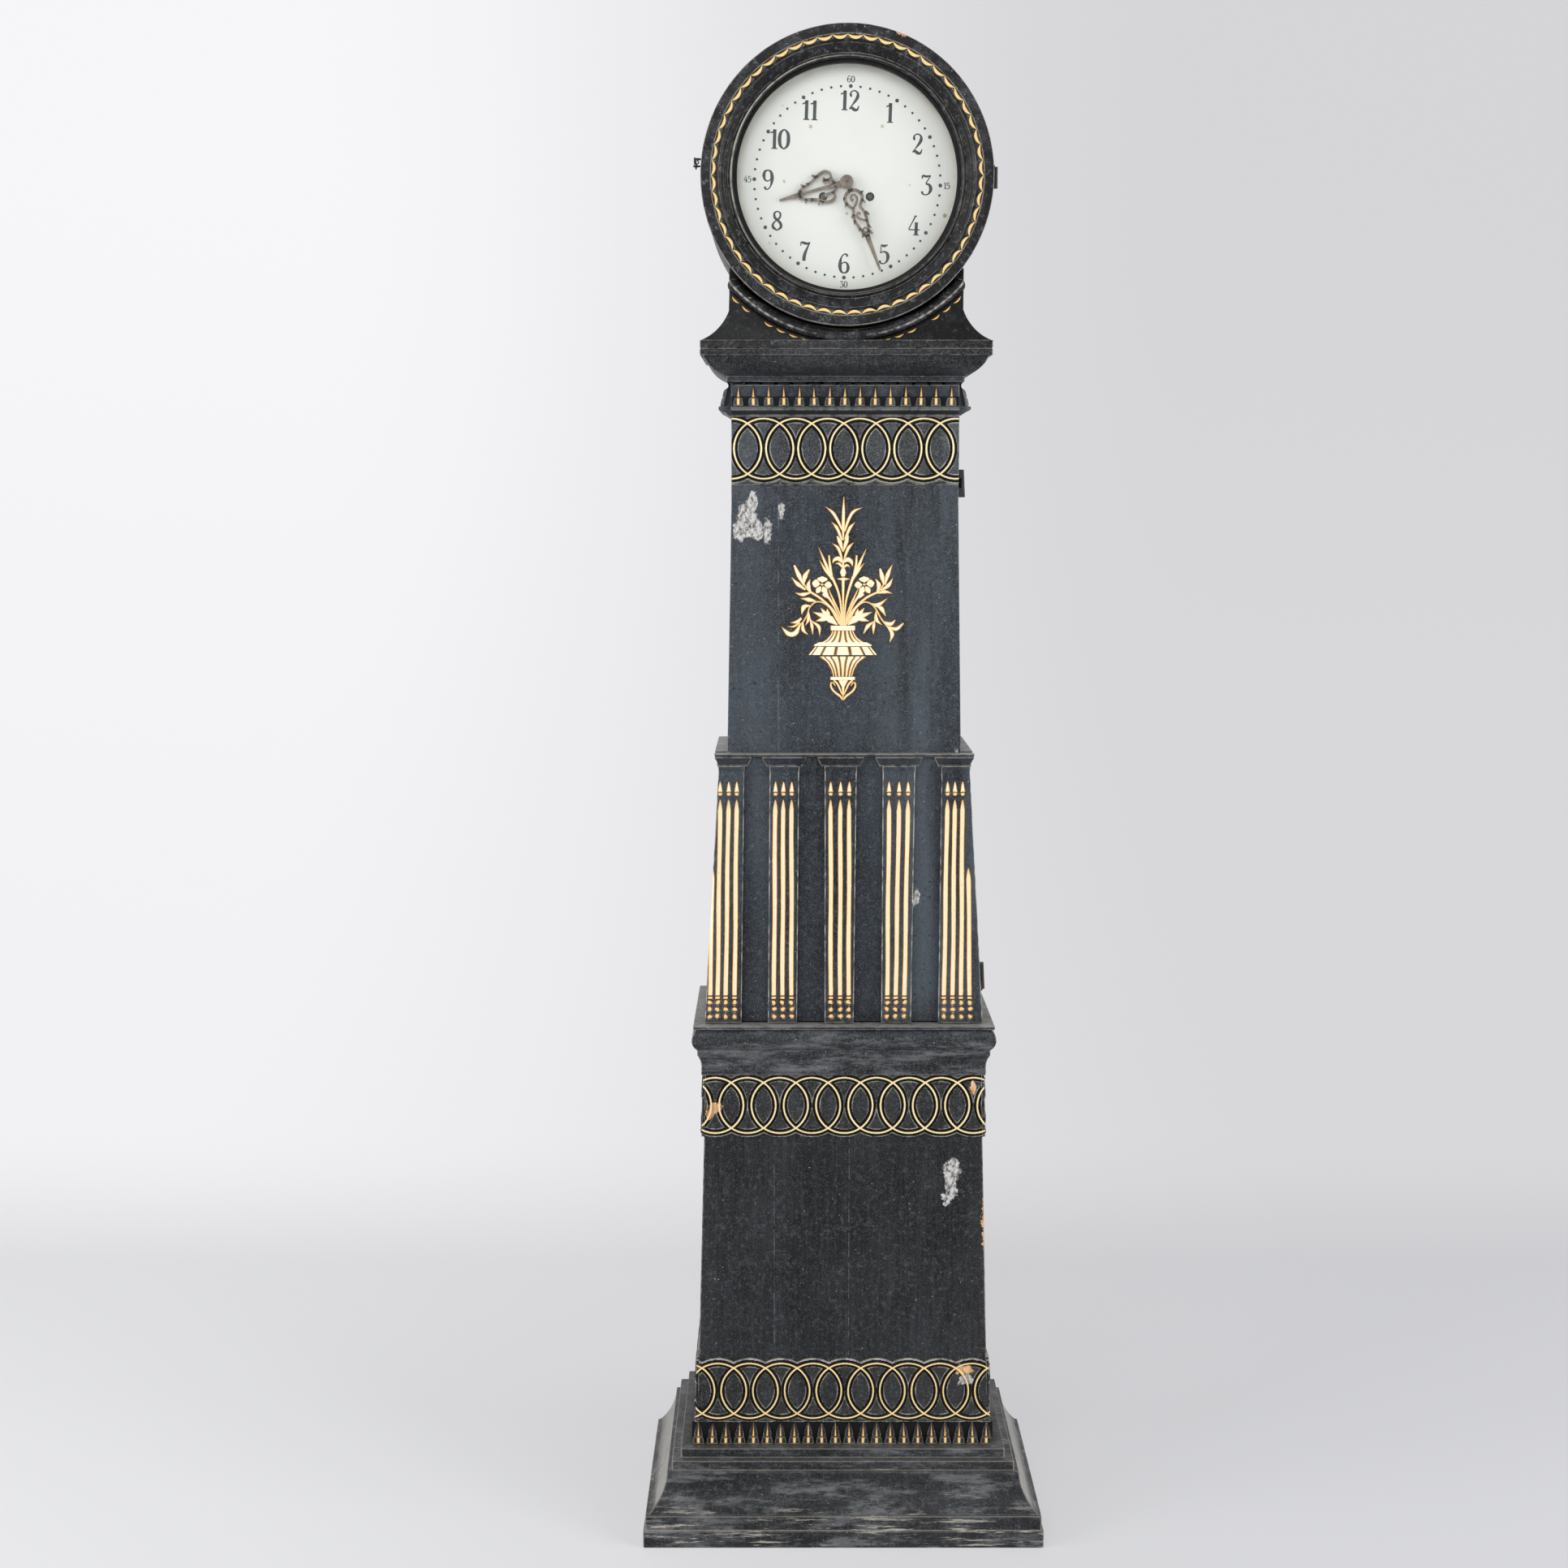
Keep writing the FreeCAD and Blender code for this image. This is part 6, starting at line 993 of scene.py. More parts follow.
    def rings(self, name: str, count: int, first: Sequence[float], pitch: float, radius: float,
              width: float, height: float, seed: int, finish: bpy.types.Material) -> bpy.types.Mesh:
        """A chain of rings, sizes in millimetres."""
        values = {"Rings": count, "First": tuple(c * MM for c in first), "Pitch": (pitch * MM, 0.0, 0.0),
                  "Radius": radius * MM, "Line Width": width * MM, "Line Height": height * MM,
                  "Wobble": 0.8 * MM, "Seed": seed, "Finish": finish}
        return self.grown(name, bpy.data.meshes.new(name), self.chain, self.chain_in, values)

    def repeat(self, name: str, unit: bpy.types.Mesh, places: Sequence[Sequence[float]],
               turns: Sequence[Sequence[float]] | None, sizes: Sequence[Sequence[float]] | None,
               finish: bpy.types.Material, seed: int = 1, uneven: float = 0.0) -> bpy.types.Mesh:
        """A unit mesh repeated at places in millimetres, with turns in radians and sizes."""
        base = bpy.data.meshes.new(name)
        base.from_pydata([tuple(c * MM for c in place) for place in places], [], [])
        none = [(0.0, 0.0, 0.0)] * len(places)
        for key, values in (("turn", turns or none), ("size", sizes or [(1.0, 1.0, 1.0)] * len(places))):
            flat = np.array(values, np.float32).ravel()
            base.attributes.new(key, "FLOAT_VECTOR", "POINT").data.foreach_set("vector", flat)
        holder = bpy.data.objects.new(name + "_unit", unit)
        values = {"Unit": holder, "Uneven Turn": uneven, "Uneven Size": uneven, "Seed": seed,
                  "Finish": finish}
        mesh = self.grown(name, base, self.spread, self.spread_in, values)
        bpy.data.objects.remove(holder)
        mesh.shade_smooth()
        mesh.set_sharp_from_angle(angle=math.radians(45.0))
        return mesh


@dataclass
class Workshop:
    """What every sub-assembly is built with."""

    frame: dict
    finishes: Finishes
    growth: Growth

    def worn_board(self, node: str, inside: Sequence[float] | None = None, bevel: float = 1.3,
                   body: str = "case", rub: float = 0.0) -> bpy.types.Object:
        """A board or moulding of the frame with softened edges, bare wood on its inner faces.

        Args:
            node: The CAD node that it copies and stands for.
            inside: Direction in which its faces are unpainted.
            bevel: Width of the softened edges.
            body: The body that it rides on.
            rub: Wear of the whole board; below nought it is painted shade that darkens the whole board.

        Returns:
            The piece.
        """
        work = bmesh.new()
        work.from_mesh(self.frame["nodes"][node].data)
        bmesh.ops.remove_doubles(work, verts=work.verts, dist=2e-5)
        bmesh.ops.dissolve_limit(work, angle_limit=math.radians(0.6), verts=work.verts, edges=work.edges)
        mesh = bpy.data.meshes.new("board_" + node)
        work.to_mesh(mesh)
        work.free()
        if inside:
            away = Vector(inside)
            for face in mesh.polygons:
                face.material_index = int(face.normal.dot(away) > 0.6)
        mesh.materials.append(self.finishes.paint)
        mesh.materials.append(self.finishes.wood)
        holder = bpy.data.objects.new("soften", mesh)
        bpy.context.scene.collection.objects.link(holder)
        soften = holder.modifiers.new("soften", "BEVEL")
        soften.width, soften.segments = bevel * MM, 2
        soften.limit_method, soften.angle_limit = "ANGLE", math.radians(32)
        soften.material = -1
        bpy.context.view_layer.update()
        made = bpy.data.meshes.new_from_object(holder.evaluated_get(bpy.context.evaluated_depsgraph_get()))
        bpy.data.objects.remove(holder)
        made.shade_smooth()
        made.set_sharp_from_angle(angle=math.radians(32))
        # The rub attribute holds the board's wear, and below nought painted shade.
        wear = made.attributes.new("rub", "FLOAT", "POINT")
        wear.data.foreach_set("value", [rub] * len(made.vertices))
        painted = [face.material_index for face in made.polygons]
        piece = add_piece(made, "board_" + node, body, "black_wood", self.finishes.paint,
                          self.finishes.wood, nodes=(node,))
        made.polygons.foreach_set("material_index", painted)
        return piece


@dataclass
class CaseBoards:
    """Plinth, lower case, waist, trunk sides, cornice and neck."""

    shop: Workshop

    def build(self) -> None:
        """Softens and paints every board of the case."""
        right, left, back = (-1, 0, 0), (1, 0, 0), (0, 1, 0)
        plan = {"plinth_front": (back, 1.6), "plinth_sides": (back, 1.6), "base_front": (back, 1.6),
                "base_left": (left, 1.6), "base_right": (right, 1.6), "waist_moulding_front": (back, 1.0),
                "waist_moulding_sides": (back, 1.0), "trunk_left": (left, 1.2), "trunk_right": (right, 1.2),
                "cornice_front": (back, 1.0), "cornice_sides": (back, 1.0), "neck_front": (back, 1.2),
                "neck_sides": (back, 1.2), "head_drum": (back, 1.0), "head_ring": (back, 0.8)}
        for node, (inside, bevel) in plan.items():
            # The neck's front is darkened by rub below nought: painted shade for the shade it lies in under
            # the head.
            self.shop.worn_board(node, inside, bevel, rub=-0.45 if node == "neck_front" else 0.0)
        self.shop.worn_board("door_panel", back, 1.2, "trunk_door")


@dataclass
class RingBand:
    """Carved band of overlapping rings: gilded on the front, black on the sides."""

    name: str
    node: str
    body: str
    slope: Slope
    z_low: float
    z_high: float
    centre_z: float
    radius: float
    first: float
    pitch: float
    count: int
    thick: float
    scallop_below: bool
    seed: int
    returns: bool = True
    step: float = 0.9
    line: float = 2.6
    chalk: float = 0.06

    def relief(self, u: Array, v: Array, first: float, count: int) -> tuple[Array, Array]:
        """Height and wear of the carving: grooves beside the rings, and a scalloped border, with painted
        shade in the grooves and below the border.
        """
        reach = self.reach(u, v, first, count)
        line = np.abs(reach).min(-1)
        outside = reach.min(-1)
        rough = np.random.default_rng(self.seed).uniform(-1, 1, u.shape)
        groove = smooth((line - 1.5) / 0.8) * (1 - smooth((line - 3.6) / 1.6))
        island = smooth((line - 5.0) / 0.8)
        inner = outside < 4.0
        height = self.thick - 2.3 * groove - np.where(inner, 0.5, 0.9) * island + 0.16 * rough * island
        beyond = smooth((outside - 6.4) / 0.9)
        open_side = v < self.centre_z if self.scallop_below else v > self.centre_z
        second = smooth((outside - 5.4) / 0.6) * (1 - smooth((outside - 7.4) / 0.8))
        height = height - np.where(open_side, beyond * (self.thick + 0.8), 0.9 * second)
        crest = np.exp(-((line - 5.5) / 0.6) ** 2) * np.where(inner, 0.75, 0.0)
        rim = np.exp(-((outside - 6.0) / 0.7) ** 2) * np.where(open_side, 0.95, 0.35)
        shadow = np.where(open_side, smooth((outside - 7.0) / 0.5) * (1 - smooth((outside - 9.0) / 1.0)), 0)
        uneven = 0.5 + 0.5 * np.sin(u / 9.0 + 2.0 * np.sin(v / 11.0) + self.seed)
        # Painted shade: the grooves are darkened, and so is the shadow that the scalloped border casts below
        # it.
        rub = np.maximum(crest * uneven, rim) - 1.2 * groove - 0.5 * shadow
        rub = rub + (self.chalk + 0.16 * rough) * island
        return height, rub

    def front(self, shop: Workshop) -> None:
        """The front ground and its gilded rings."""
        margin = self.thick if self.returns else 0.0
        half = float(self.slope.half(self.centre_z)) + margin - 0.2
        columns = int(2 * half / self.step)
        share, v = np.meshgrid(np.linspace(-1, 1, columns), np.linspace(self.z_low, self.z_high,
                               int((self.z_high - self.z_low) / self.step)))
        u = share * (self.slope.half(v) + margin - 0.2)
        w, rub = self.relief(u, v, self.first, self.count)
        ground = carved(self.name + "_ground", u, v, w, self.slope.front, -0.6, rub=rub)
        add_piece(ground, self.name + "_ground", self.body, "gilded_wood", shop.finishes.paint,
                  nodes=(self.node,))
        first = (self.first, 0.0, self.centre_z)
        rings = shop.growth.rings(self.name, self.count, first, self.pitch, self.radius, self.line, 2.4,
                                  self.seed, shop.finishes.leaf)
        work = bmesh.new()
        work.from_mesh(rings)
        for vert in work.verts:
            z = vert.co.z / MM
            vert.co.y += (DATUM_Y - self.slope.half(z) - self.thick - 0.1) * MM
        for sign in (-1, 1):
            edge = sign * (half - 0.6)
            lean = (self.slope.half(self.z_high) - self.slope.half(self.z_low)) / (self.z_high - self.z_low)
            cut = bmesh.ops.bisect_plane(work, geom=work.verts[:] + work.edges[:] + work.faces[:],
                                         plane_co=(edge * MM, 0, self.centre_z * MM),
                                         plane_no=(sign, 0, -lean), clear_outer=True)
            seam = [item for item in cut["geom_cut"] if isinstance(item, bmesh.types.BMEdge)]
            bmesh.ops.holes_fill(work, edges=seam, sides=0)
        bmesh.ops.recalc_face_normals(work, faces=work.faces)
        work.to_mesh(rings)
        work.free()
        rings.shade_smooth()
        rings.set_sharp_from_angle(angle=math.radians(60))
        add_piece(rings, self.name + "_rings", self.body, "gilded_wood", shop.finishes.leaf)

    def sides(self, shop: Workshop) -> None:
        """The black returns on both sides."""
        low, high = DATUM_Y - float(self.slope.half(self.centre_z)), BACK_Y
        count = int((high - low) / self.pitch) + 3
        for sign, label in ((1, "right"), (-1, "left")):
            u, v = grid(low - self.thick * 0.9, high, self.z_low, self.z_high, self.step * 1.5)
            w, rub = self.relief(u, v, low - 12.0, count)
            away = np.abs(self.reach(u, v, low - 12.0, count)).min(-1)
            w = np.minimum(w + 1.3 * np.exp(-away ** 2 / 2.4), self.thick + 1.2)
            mesh = carved(f"{self.name}_{label}", u, v, w, self.slope.side(sign), -0.6, rub=rub)
            add_piece(mesh, f"{self.name}_{label}", self.body, "gilded_wood", shop.finishes.paint)

    def reach(self, u: Array, v: Array, first: float, count: int) -> Array:
        """Distance outwards from the line of each of the rings."""
        centres = first + self.pitch * np.arange(count)
        return np.hypot(u[..., None] - centres, (v - self.centre_z)[..., None]) - self.radius

    def build(self, shop: Workshop) -> None:
        """Makes the band."""
        self.front(shop)
        if self.returns:
            self.sides(shop)


@dataclass
class DartRow:
    """Row of pointed darts, each a facetted block with a gold spike over a gold square."""

    name: str
    body: str
    slope: Slope
    foot: float
    height: float
    pitch: float
    places: tuple[float, ...]
    half_width: float
    block: float
    thick: float
    seed: int
    returns: bool
    spike_half: float
    gold_half: float
    neck_in: float
    ogive: float

    def unit(self) -> bpy.types.Mesh:
        """One dart, its foot at the origin, its back in the XZ plane."""
        wide = self.half_width + 0.3
        u, v = np.meshgrid(np.linspace(-wide, wide, 35),
                           np.concatenate([np.linspace(0, self.block, 15),
                                           np.linspace(self.block + 0.4, self.height, 34)]))
        rise = np.clip((v - self.block) / (self.height - self.block), 0, 1)
        low = self.half_width - self.neck_in * np.clip(v / self.block, 0, 1) ** 2.0
        shape = np.where(v < self.block, low, self.spike_half * (1 - rise ** self.ogive))
        depth = shape - np.abs(u)
        facet = np.clip(depth / 1.5, 0, 1)
        ridge = np.clip(1 - np.abs(u) / 2.6, 0, 1)
        body = np.where(v < self.block, self.thick * (0.82 + 0.18 * ridge),
                        self.thick * (0.92 - 0.5 * rise) * (0.7 + 0.3 * ridge))
        line = np.exp(-((v - self.block) / 0.6) ** 2)
        w = (body - 1.4 * line) * facet
        tip_z = self.height * 0.9
        spike = self.gold_half * 0.74 * np.clip((tip_z - v) / (tip_z - self.block), 0, 1) ** 0.75
        square = np.where(v < self.block, self.gold_half, spike)
        gilt = np.minimum(square - np.abs(u), np.abs(v - self.block) - 0.5)
        gilt = np.where(v > tip_z, -1.0, np.minimum(gilt, v - 0.7))
        gilt = np.where(v > self.block, np.minimum(gilt, 0.95), gilt)
        # Painted light and shade: the block is paler along its ridge as a painted highlight; the spike's
        # edges, the notch and the ground between darts are darkened as painted shade.
        tip = -0.75 * np.exp(-((depth - 0.2) / 0.9) ** 2)
        rub = np.where(v < self.block, 0.10 + 0.12 * ridge, tip) - 0.8 * (depth < 0) - 0.6 * line
        return carved(self.name + "_unit", u, v, w, lambda a, b, c: (a, -c, b), -0.6, gilt, 30.0, rub)

    def ground(self, shop: Workshop) -> None:
        """Thin ground behind the darts on the front and both sides, darkened all over as painted shade."""
        top, front = self.foot + self.height + 0.6, DATUM_Y - float(self.slope.half(self.foot))
        half = float(self.slope.half(self.foot + self.height))
        lays = ((-half, half, self.slope.front, "front"), (front, BACK_Y, self.slope.side(1), "right"),
                (front, BACK_Y, self.slope.side(-1), "left"))
        for low, high, lay, label in lays:
            u, v = grid(low, high, self.foot + 0.2, top, 8.0)
            name = f"{self.name}_ground_{label}"
            # Painted shade: rub of -0.8 darkens the whole ground.
            mesh = carved(name, u, v, np.full(u.shape, 0.5), lay, -0.6, None, 30.0, np.full(u.shape, -0.8))
            add_piece(mesh, name, self.body, "black_wood", shop.finishes.paint)

    def build(self, shop: Workshop) -> None:
        """Makes the front row, and the sides' rows where there are any."""
        lean = math.atan((self.slope.half_high - self.slope.half_low)
                         / (self.slope.z_high - self.slope.z_low))
        front_y = DATUM_Y - float(self.slope.half(self.foot))
        if self.returns:
            self.ground(shop)
        places = [(x, front_y, self.foot) for x in self.places]
        turns = [(lean, 0.0, 0.0)] * len(places)
        row = shop.growth.repeat(self.name, self.unit(), places, turns, None, shop.finishes.paint,
                                 self.seed, 0.03)
        add_piece(row, self.name, self.body, "gilded_wood", shop.finishes.paint)
        if not self.returns:
            return
        half = float(self.slope.half(self.foot))
        for sign, label in ((1, "right"), (-1, "left")):
            depths = np.arange(front_y + 8.0, BACK_Y - 8.0, self.pitch)
            places = [(sign * half, y, self.foot) for y in depths]
            turns = [(lean, 0.0, sign * math.pi / 2)] * len(places)
            plain = self.unit()
            plain.attributes["gilt"].data.foreach_set("value", [-1.0] * len(plain.vertices))
            side = shop.growth.repeat(f"{self.name}_{label}", plain, places, turns, None,
                                      shop.finishes.paint, self.seed, 0.03)
            add_piece(side, f"{self.name}_{label}", self.body, "gilded_wood", shop.finishes.paint)


@dataclass(frozen=True)
class PilasterPlan:
    """One pilaster of the door: its edges and flutes at the foot and at the neck."""

    name: str
    left: tuple[float, float]
    right: tuple[float, float]
    flutes: tuple[tuple[float, float], ...]
    short: tuple[float, float] | None = None


PILASTERS = (
    PilasterPlan("left", (-196.5, -176.0), (-144.5, -140.0),
                 ((-178.1, -174.0), (-166.7, -162.3), (-154.1, -151.0)),
                 (-188.9, -185.0)),
    PilasterPlan("mid_left", (-107.2, -104.5), (-66.0, -63.2),
                 ((-98.6, -96.7), (-86.6, -85.4), (-74.0, -73.8))),
    PilasterPlan("middle", (-27.0, -27.4), (14.0, 17.5), ((-18.4, -18.9), (-5.3, -5.2), (6.7, 7.2))),
    PilasterPlan("mid_right", (53.0, 54.0), (95.2, 99.4), ((61.4, 63.0), (73.4, 76.9), (85.7, 89.4))),
    PilasterPlan("right", (133.4, 136.5), (196.5, 176.0), ((141.6, 144.6), (153.9, 155.0), (165.8, 165.8)),
                 (177.8, 174.9)),
)


# Heights of the rows of pellets at the foot of every pilaster, and a pellet's radius.
PELLET_ROWS = (772.0, 762.3, 752.0)
PELLET_RADIUS = 4.0
# Distance between two darts under the cornice.
FRIEZE_PITCH = 20.9
# Section of the capitals: height, how much wider than the shaft, how far out.
CAPITAL_ROWS = ((1104.4, 3.2, 6.0), (1105.2, 3.7, 8.6), (1106.6, 4.4, 9.8), (1107.6, 4.8, 8.4),
                (1109.2, 5.6, 9.2), (1111.0, 6.5, 9.8), (1114.0, 8.0, 11.0), (1116.6, 9.3, 12.6),
                (1118.2, 10.0, 13.4), (1118.8, 9.6, 12.2), (1119.6, 9.6, 12.2))
# Section of the ledge over them: height, how far out.
LEDGE_ROWS = ((1119.4, 11.6), (1119.9, 12.8), (1122.0, 13.6), (1123.0, 14.0), (1123.4, 13.4))


@dataclass
class DoorPilasters:
    """Five fluted pilasters of the trunk door, with pellets at the foot and capitals."""

    shop: Workshop
    foot: float = 743.0
    neck: float = 1100.0
    flute_foot: float = 776.5
    flute_tip: float = 1059.5
    short_tip: float = 963.0
    read_foot: float = 781.0
    read_tip: float = 1057.0
    read_short_tip: float = 962.0
    tear: tuple[float, float] = (1064.0, 1085.0)
    width: float = 6.9

    def carve(self, plan: PilasterPlan, u: Array, v: Array) -> tuple[Array, Array, Array]:
        """Height, gilding and wear of one pilaster's face, with painted shade round its cut flutes, drops and
        pellets.
        """
        w, rub = np.zeros_like(u), np.zeros_like(u)
        gilt = np.full(u.shape, -1.0)
        lanes = [(lane, self.flute_tip, True) for lane in plan.flutes]
        if plan.short:
            lanes.append((plan.short, self.short_tip, False))
        for (low, high), tip, full in lanes:
            read_tip = self.read_tip if full else self.read_short_tip
            middle = low + (high - low) * (v - self.read_foot) / (read_tip - self.read_foot)
            middle = middle + 0.3 * np.sin(v / 29.0 + low)
            away = np.abs(u - middle)
            point = np.clip((tip - v) / 16.0, 0, 1) ** 0.5
            wide = self.width / 2 * point * (1 + 0.03 * np.sin(v / 19.0 + low))
            depth = np.minimum(np.minimum(wide - away, v - self.flute_foot), tip - v)
            cut = np.abs(v - (self.flute_foot + 4.6)) - 0.5
            depth = np.where(v < self.flute_foot + 5.6, np.minimum(depth, cut), depth)
            w = np.where(depth > -0.5, -0.4 - 2.3 * smooth(np.clip(depth / 2.8, 0, 1)), w)
            gilt = np.maximum(gilt, depth)
            # Painted shade just outside the flute's cut edge.
            rub = np.where((depth < 0) & (depth > -0.9), -0.6, rub)
            if full:
                start, end = self.tear
                rise = np.clip((v - start) / (end - start), 0, 1)
                body = 3.5 * np.sqrt(np.clip(1 - ((rise - 0.26) / 0.30) ** 2, 0, 1))
                body = np.where(rise > 0.26, 3.5 * np.clip(1 - (rise - 0.26) / 0.74, 0, 1) ** 0.55, body)
                depth = np.where((v > start) & (v < end), body - away, -1.0)
                seam = np.abs(v - start - 5.6 + 0.16 * away ** 2) - 0.4
                drop = np.where(v < start + 7, np.minimum(np.minimum(depth, seam), 1.0), depth)
                w = np.where(depth > -0.5,
                             -0.5 + 1.1 * np.sqrt(np.clip(depth / 3.4, 0, 1)) - 0.7 * (seam < 0.3)
                             * (v < start + 7), w)
                gilt = np.maximum(gilt, drop)
                # Painted shade round the drop.
                rub = np.where((depth < 0) & (depth > -1.0), -0.7, rub)
            for row in PELLET_ROWS:
                lane_x = low + (low - high) * 0.06
                turn = np.arctan2(v - row, u - lane_x)
                far = np.hypot(u - lane_x - 0.6 * math.sin(row * 3 + low),
                               v - row - 0.5 * math.cos(row + low * 2))
                far = far + 0.35 * np.sin(2 * turn + low + row) + 0.25 * np.sin(3 * turn + 2 * low)
                bump = np.clip(1 - (far / PELLET_RADIUS) ** 2, 0, 1)
                w = w - 0.8 * smooth((5.2 - far) / 1.0) + 2.3 * np.sqrt(bump) * (far < PELLET_RADIUS)
                gilt = np.maximum(gilt, np.minimum(3.4 - far, 0.9))
                # Painted shade in the punched ring round the pellet.
                rub = np.where((far > 3.3) & (far < 4.9), -0.8, rub)
        return w, gilt, rub

    def shaft(self, plan: PilasterPlan) -> None:
        """The fluted shaft."""
        low = np.arange(self.foot, 792.0, 0.9)
        high = np.arange(1054.0, 1106.6, 1.0)
        levels = np.concatenate([low, np.arange(793.0, 955.0, 3.2), np.arange(955.0, 968.0, 1.0),
                                 np.arange(970.0, 1040.0, 3.2), np.arange(1041.0, 1054.0, 1.0), high])
        share = (levels - self.foot) / (self.neck - self.foot)
        left = plan.left[0] + (plan.left[1] - plan.left[0]) * share
        right = plan.right[0] + (plan.right[1] - plan.right[0]) * share
        flare = smooth((levels - 1096.0) / 9.0) * 0.6
        columns = np.linspace(0, 1, int((plan.right[0] - plan.left[0]) / 0.8))
        u = (left - flare)[:, None] + (right - left + 2 * flare)[:, None] * columns[None, :]
        v = np.repeat(levels[:, None], len(columns), 1)
        w, gilt, rub = self.carve(plan, u, v)
        w = w + smooth((v - 1096.0) / 9.0) * 3.6
        border = np.minimum(columns, 1 - columns) * (plan.right[0] - plan.left[0])
        w = w - 0.9 * (1 - np.clip(border / 1.2, 0, 1))[None, :]
        worn = (np.exp(-((border - 0.5) / 0.7) ** 2)[None, :]
                * (0.65 + 0.35 * np.sin(v / 5.0 + 3 * np.sin(v / 17.0))))
        rub = np.where(gilt < -0.3, np.maximum(rub, worn), rub)
        mesh = carved("pilaster_" + plan.name, u, v, w, PILASTER_FACE.front, -9.4, gilt, 50.0, rub)
        add_piece(mesh, "pilaster_" + plan.name, "trunk_door", "black_wood", self.shop.finishes.paint,
                  nodes=("door_pilasters",))

    def capital(self, plan: PilasterPlan) -> bpy.types.Mesh:
        """Cyma capital with bevelled ends over one shaft."""
        points = []
        for z, wider, proud in CAPITAL_ROWS:
            half = 168.0 + proud
            left = plan.left[1] - wider if plan.name != "left" else -half
            right = plan.right[1] + wider if plan.name != "right" else half
            front, back = DATUM_Y - half, DATUM_Y - 165.0
            points += [(left, front, z), (right, front, z), (right, back, z), (left, back, z)]
        faces, dark = stack_faces(0, len(CAPITAL_ROWS)), {"rub": np.full(len(points), -0.32)}
        return make_mesh("capital_" + plan.name, np.array(points), faces, dark, 30.0)

    def ledge(self) -> bpy.types.Mesh:
        """Thin ledge that runs over all five capitals."""
        points = []
        for z, proud in LEDGE_ROWS:
            half = 168.0 + proud
            front, back = DATUM_Y - half, DATUM_Y - 163.6
            points += [(-half, front, z), (half, front, z), (half, back, z), (-half, back, z)]
        # Painted light and shade: the ledge's underside rows are darkened and its top rows made paler.
        worn = {"rub": np.repeat([-0.6, -0.4, -0.3, 0.25, 0.2], 4)}
        return make_mesh("capital_ledge", np.array(points), stack_faces(0, len(LEDGE_ROWS)), worn, 30.0)

    def build(self) -> None:
        """Makes the shafts and the capitals."""
        for plan in PILASTERS:
            self.shaft(plan)
        u, v = grid(-172.0, 172.0, 1084.0, 1119.6, 4.0)
        rise = 1.2 * smooth((v - 1084.0) / 12.0) + 8.0 * smooth((v - 1088.0) / 32.0)
        behind = carved("capital_ground", u, v, rise - 1.0, PILASTER_GROUND.front, -2.0, None, 40.0)
        caps = joined([self.capital(plan) for plan in PILASTERS] + [self.ledge(), behind], "capitals")
        add_piece(caps, "door_capitals", "trunk_door", "black_wood", self.shop.finishes.paint,
                  nodes=("door_pilasters",))


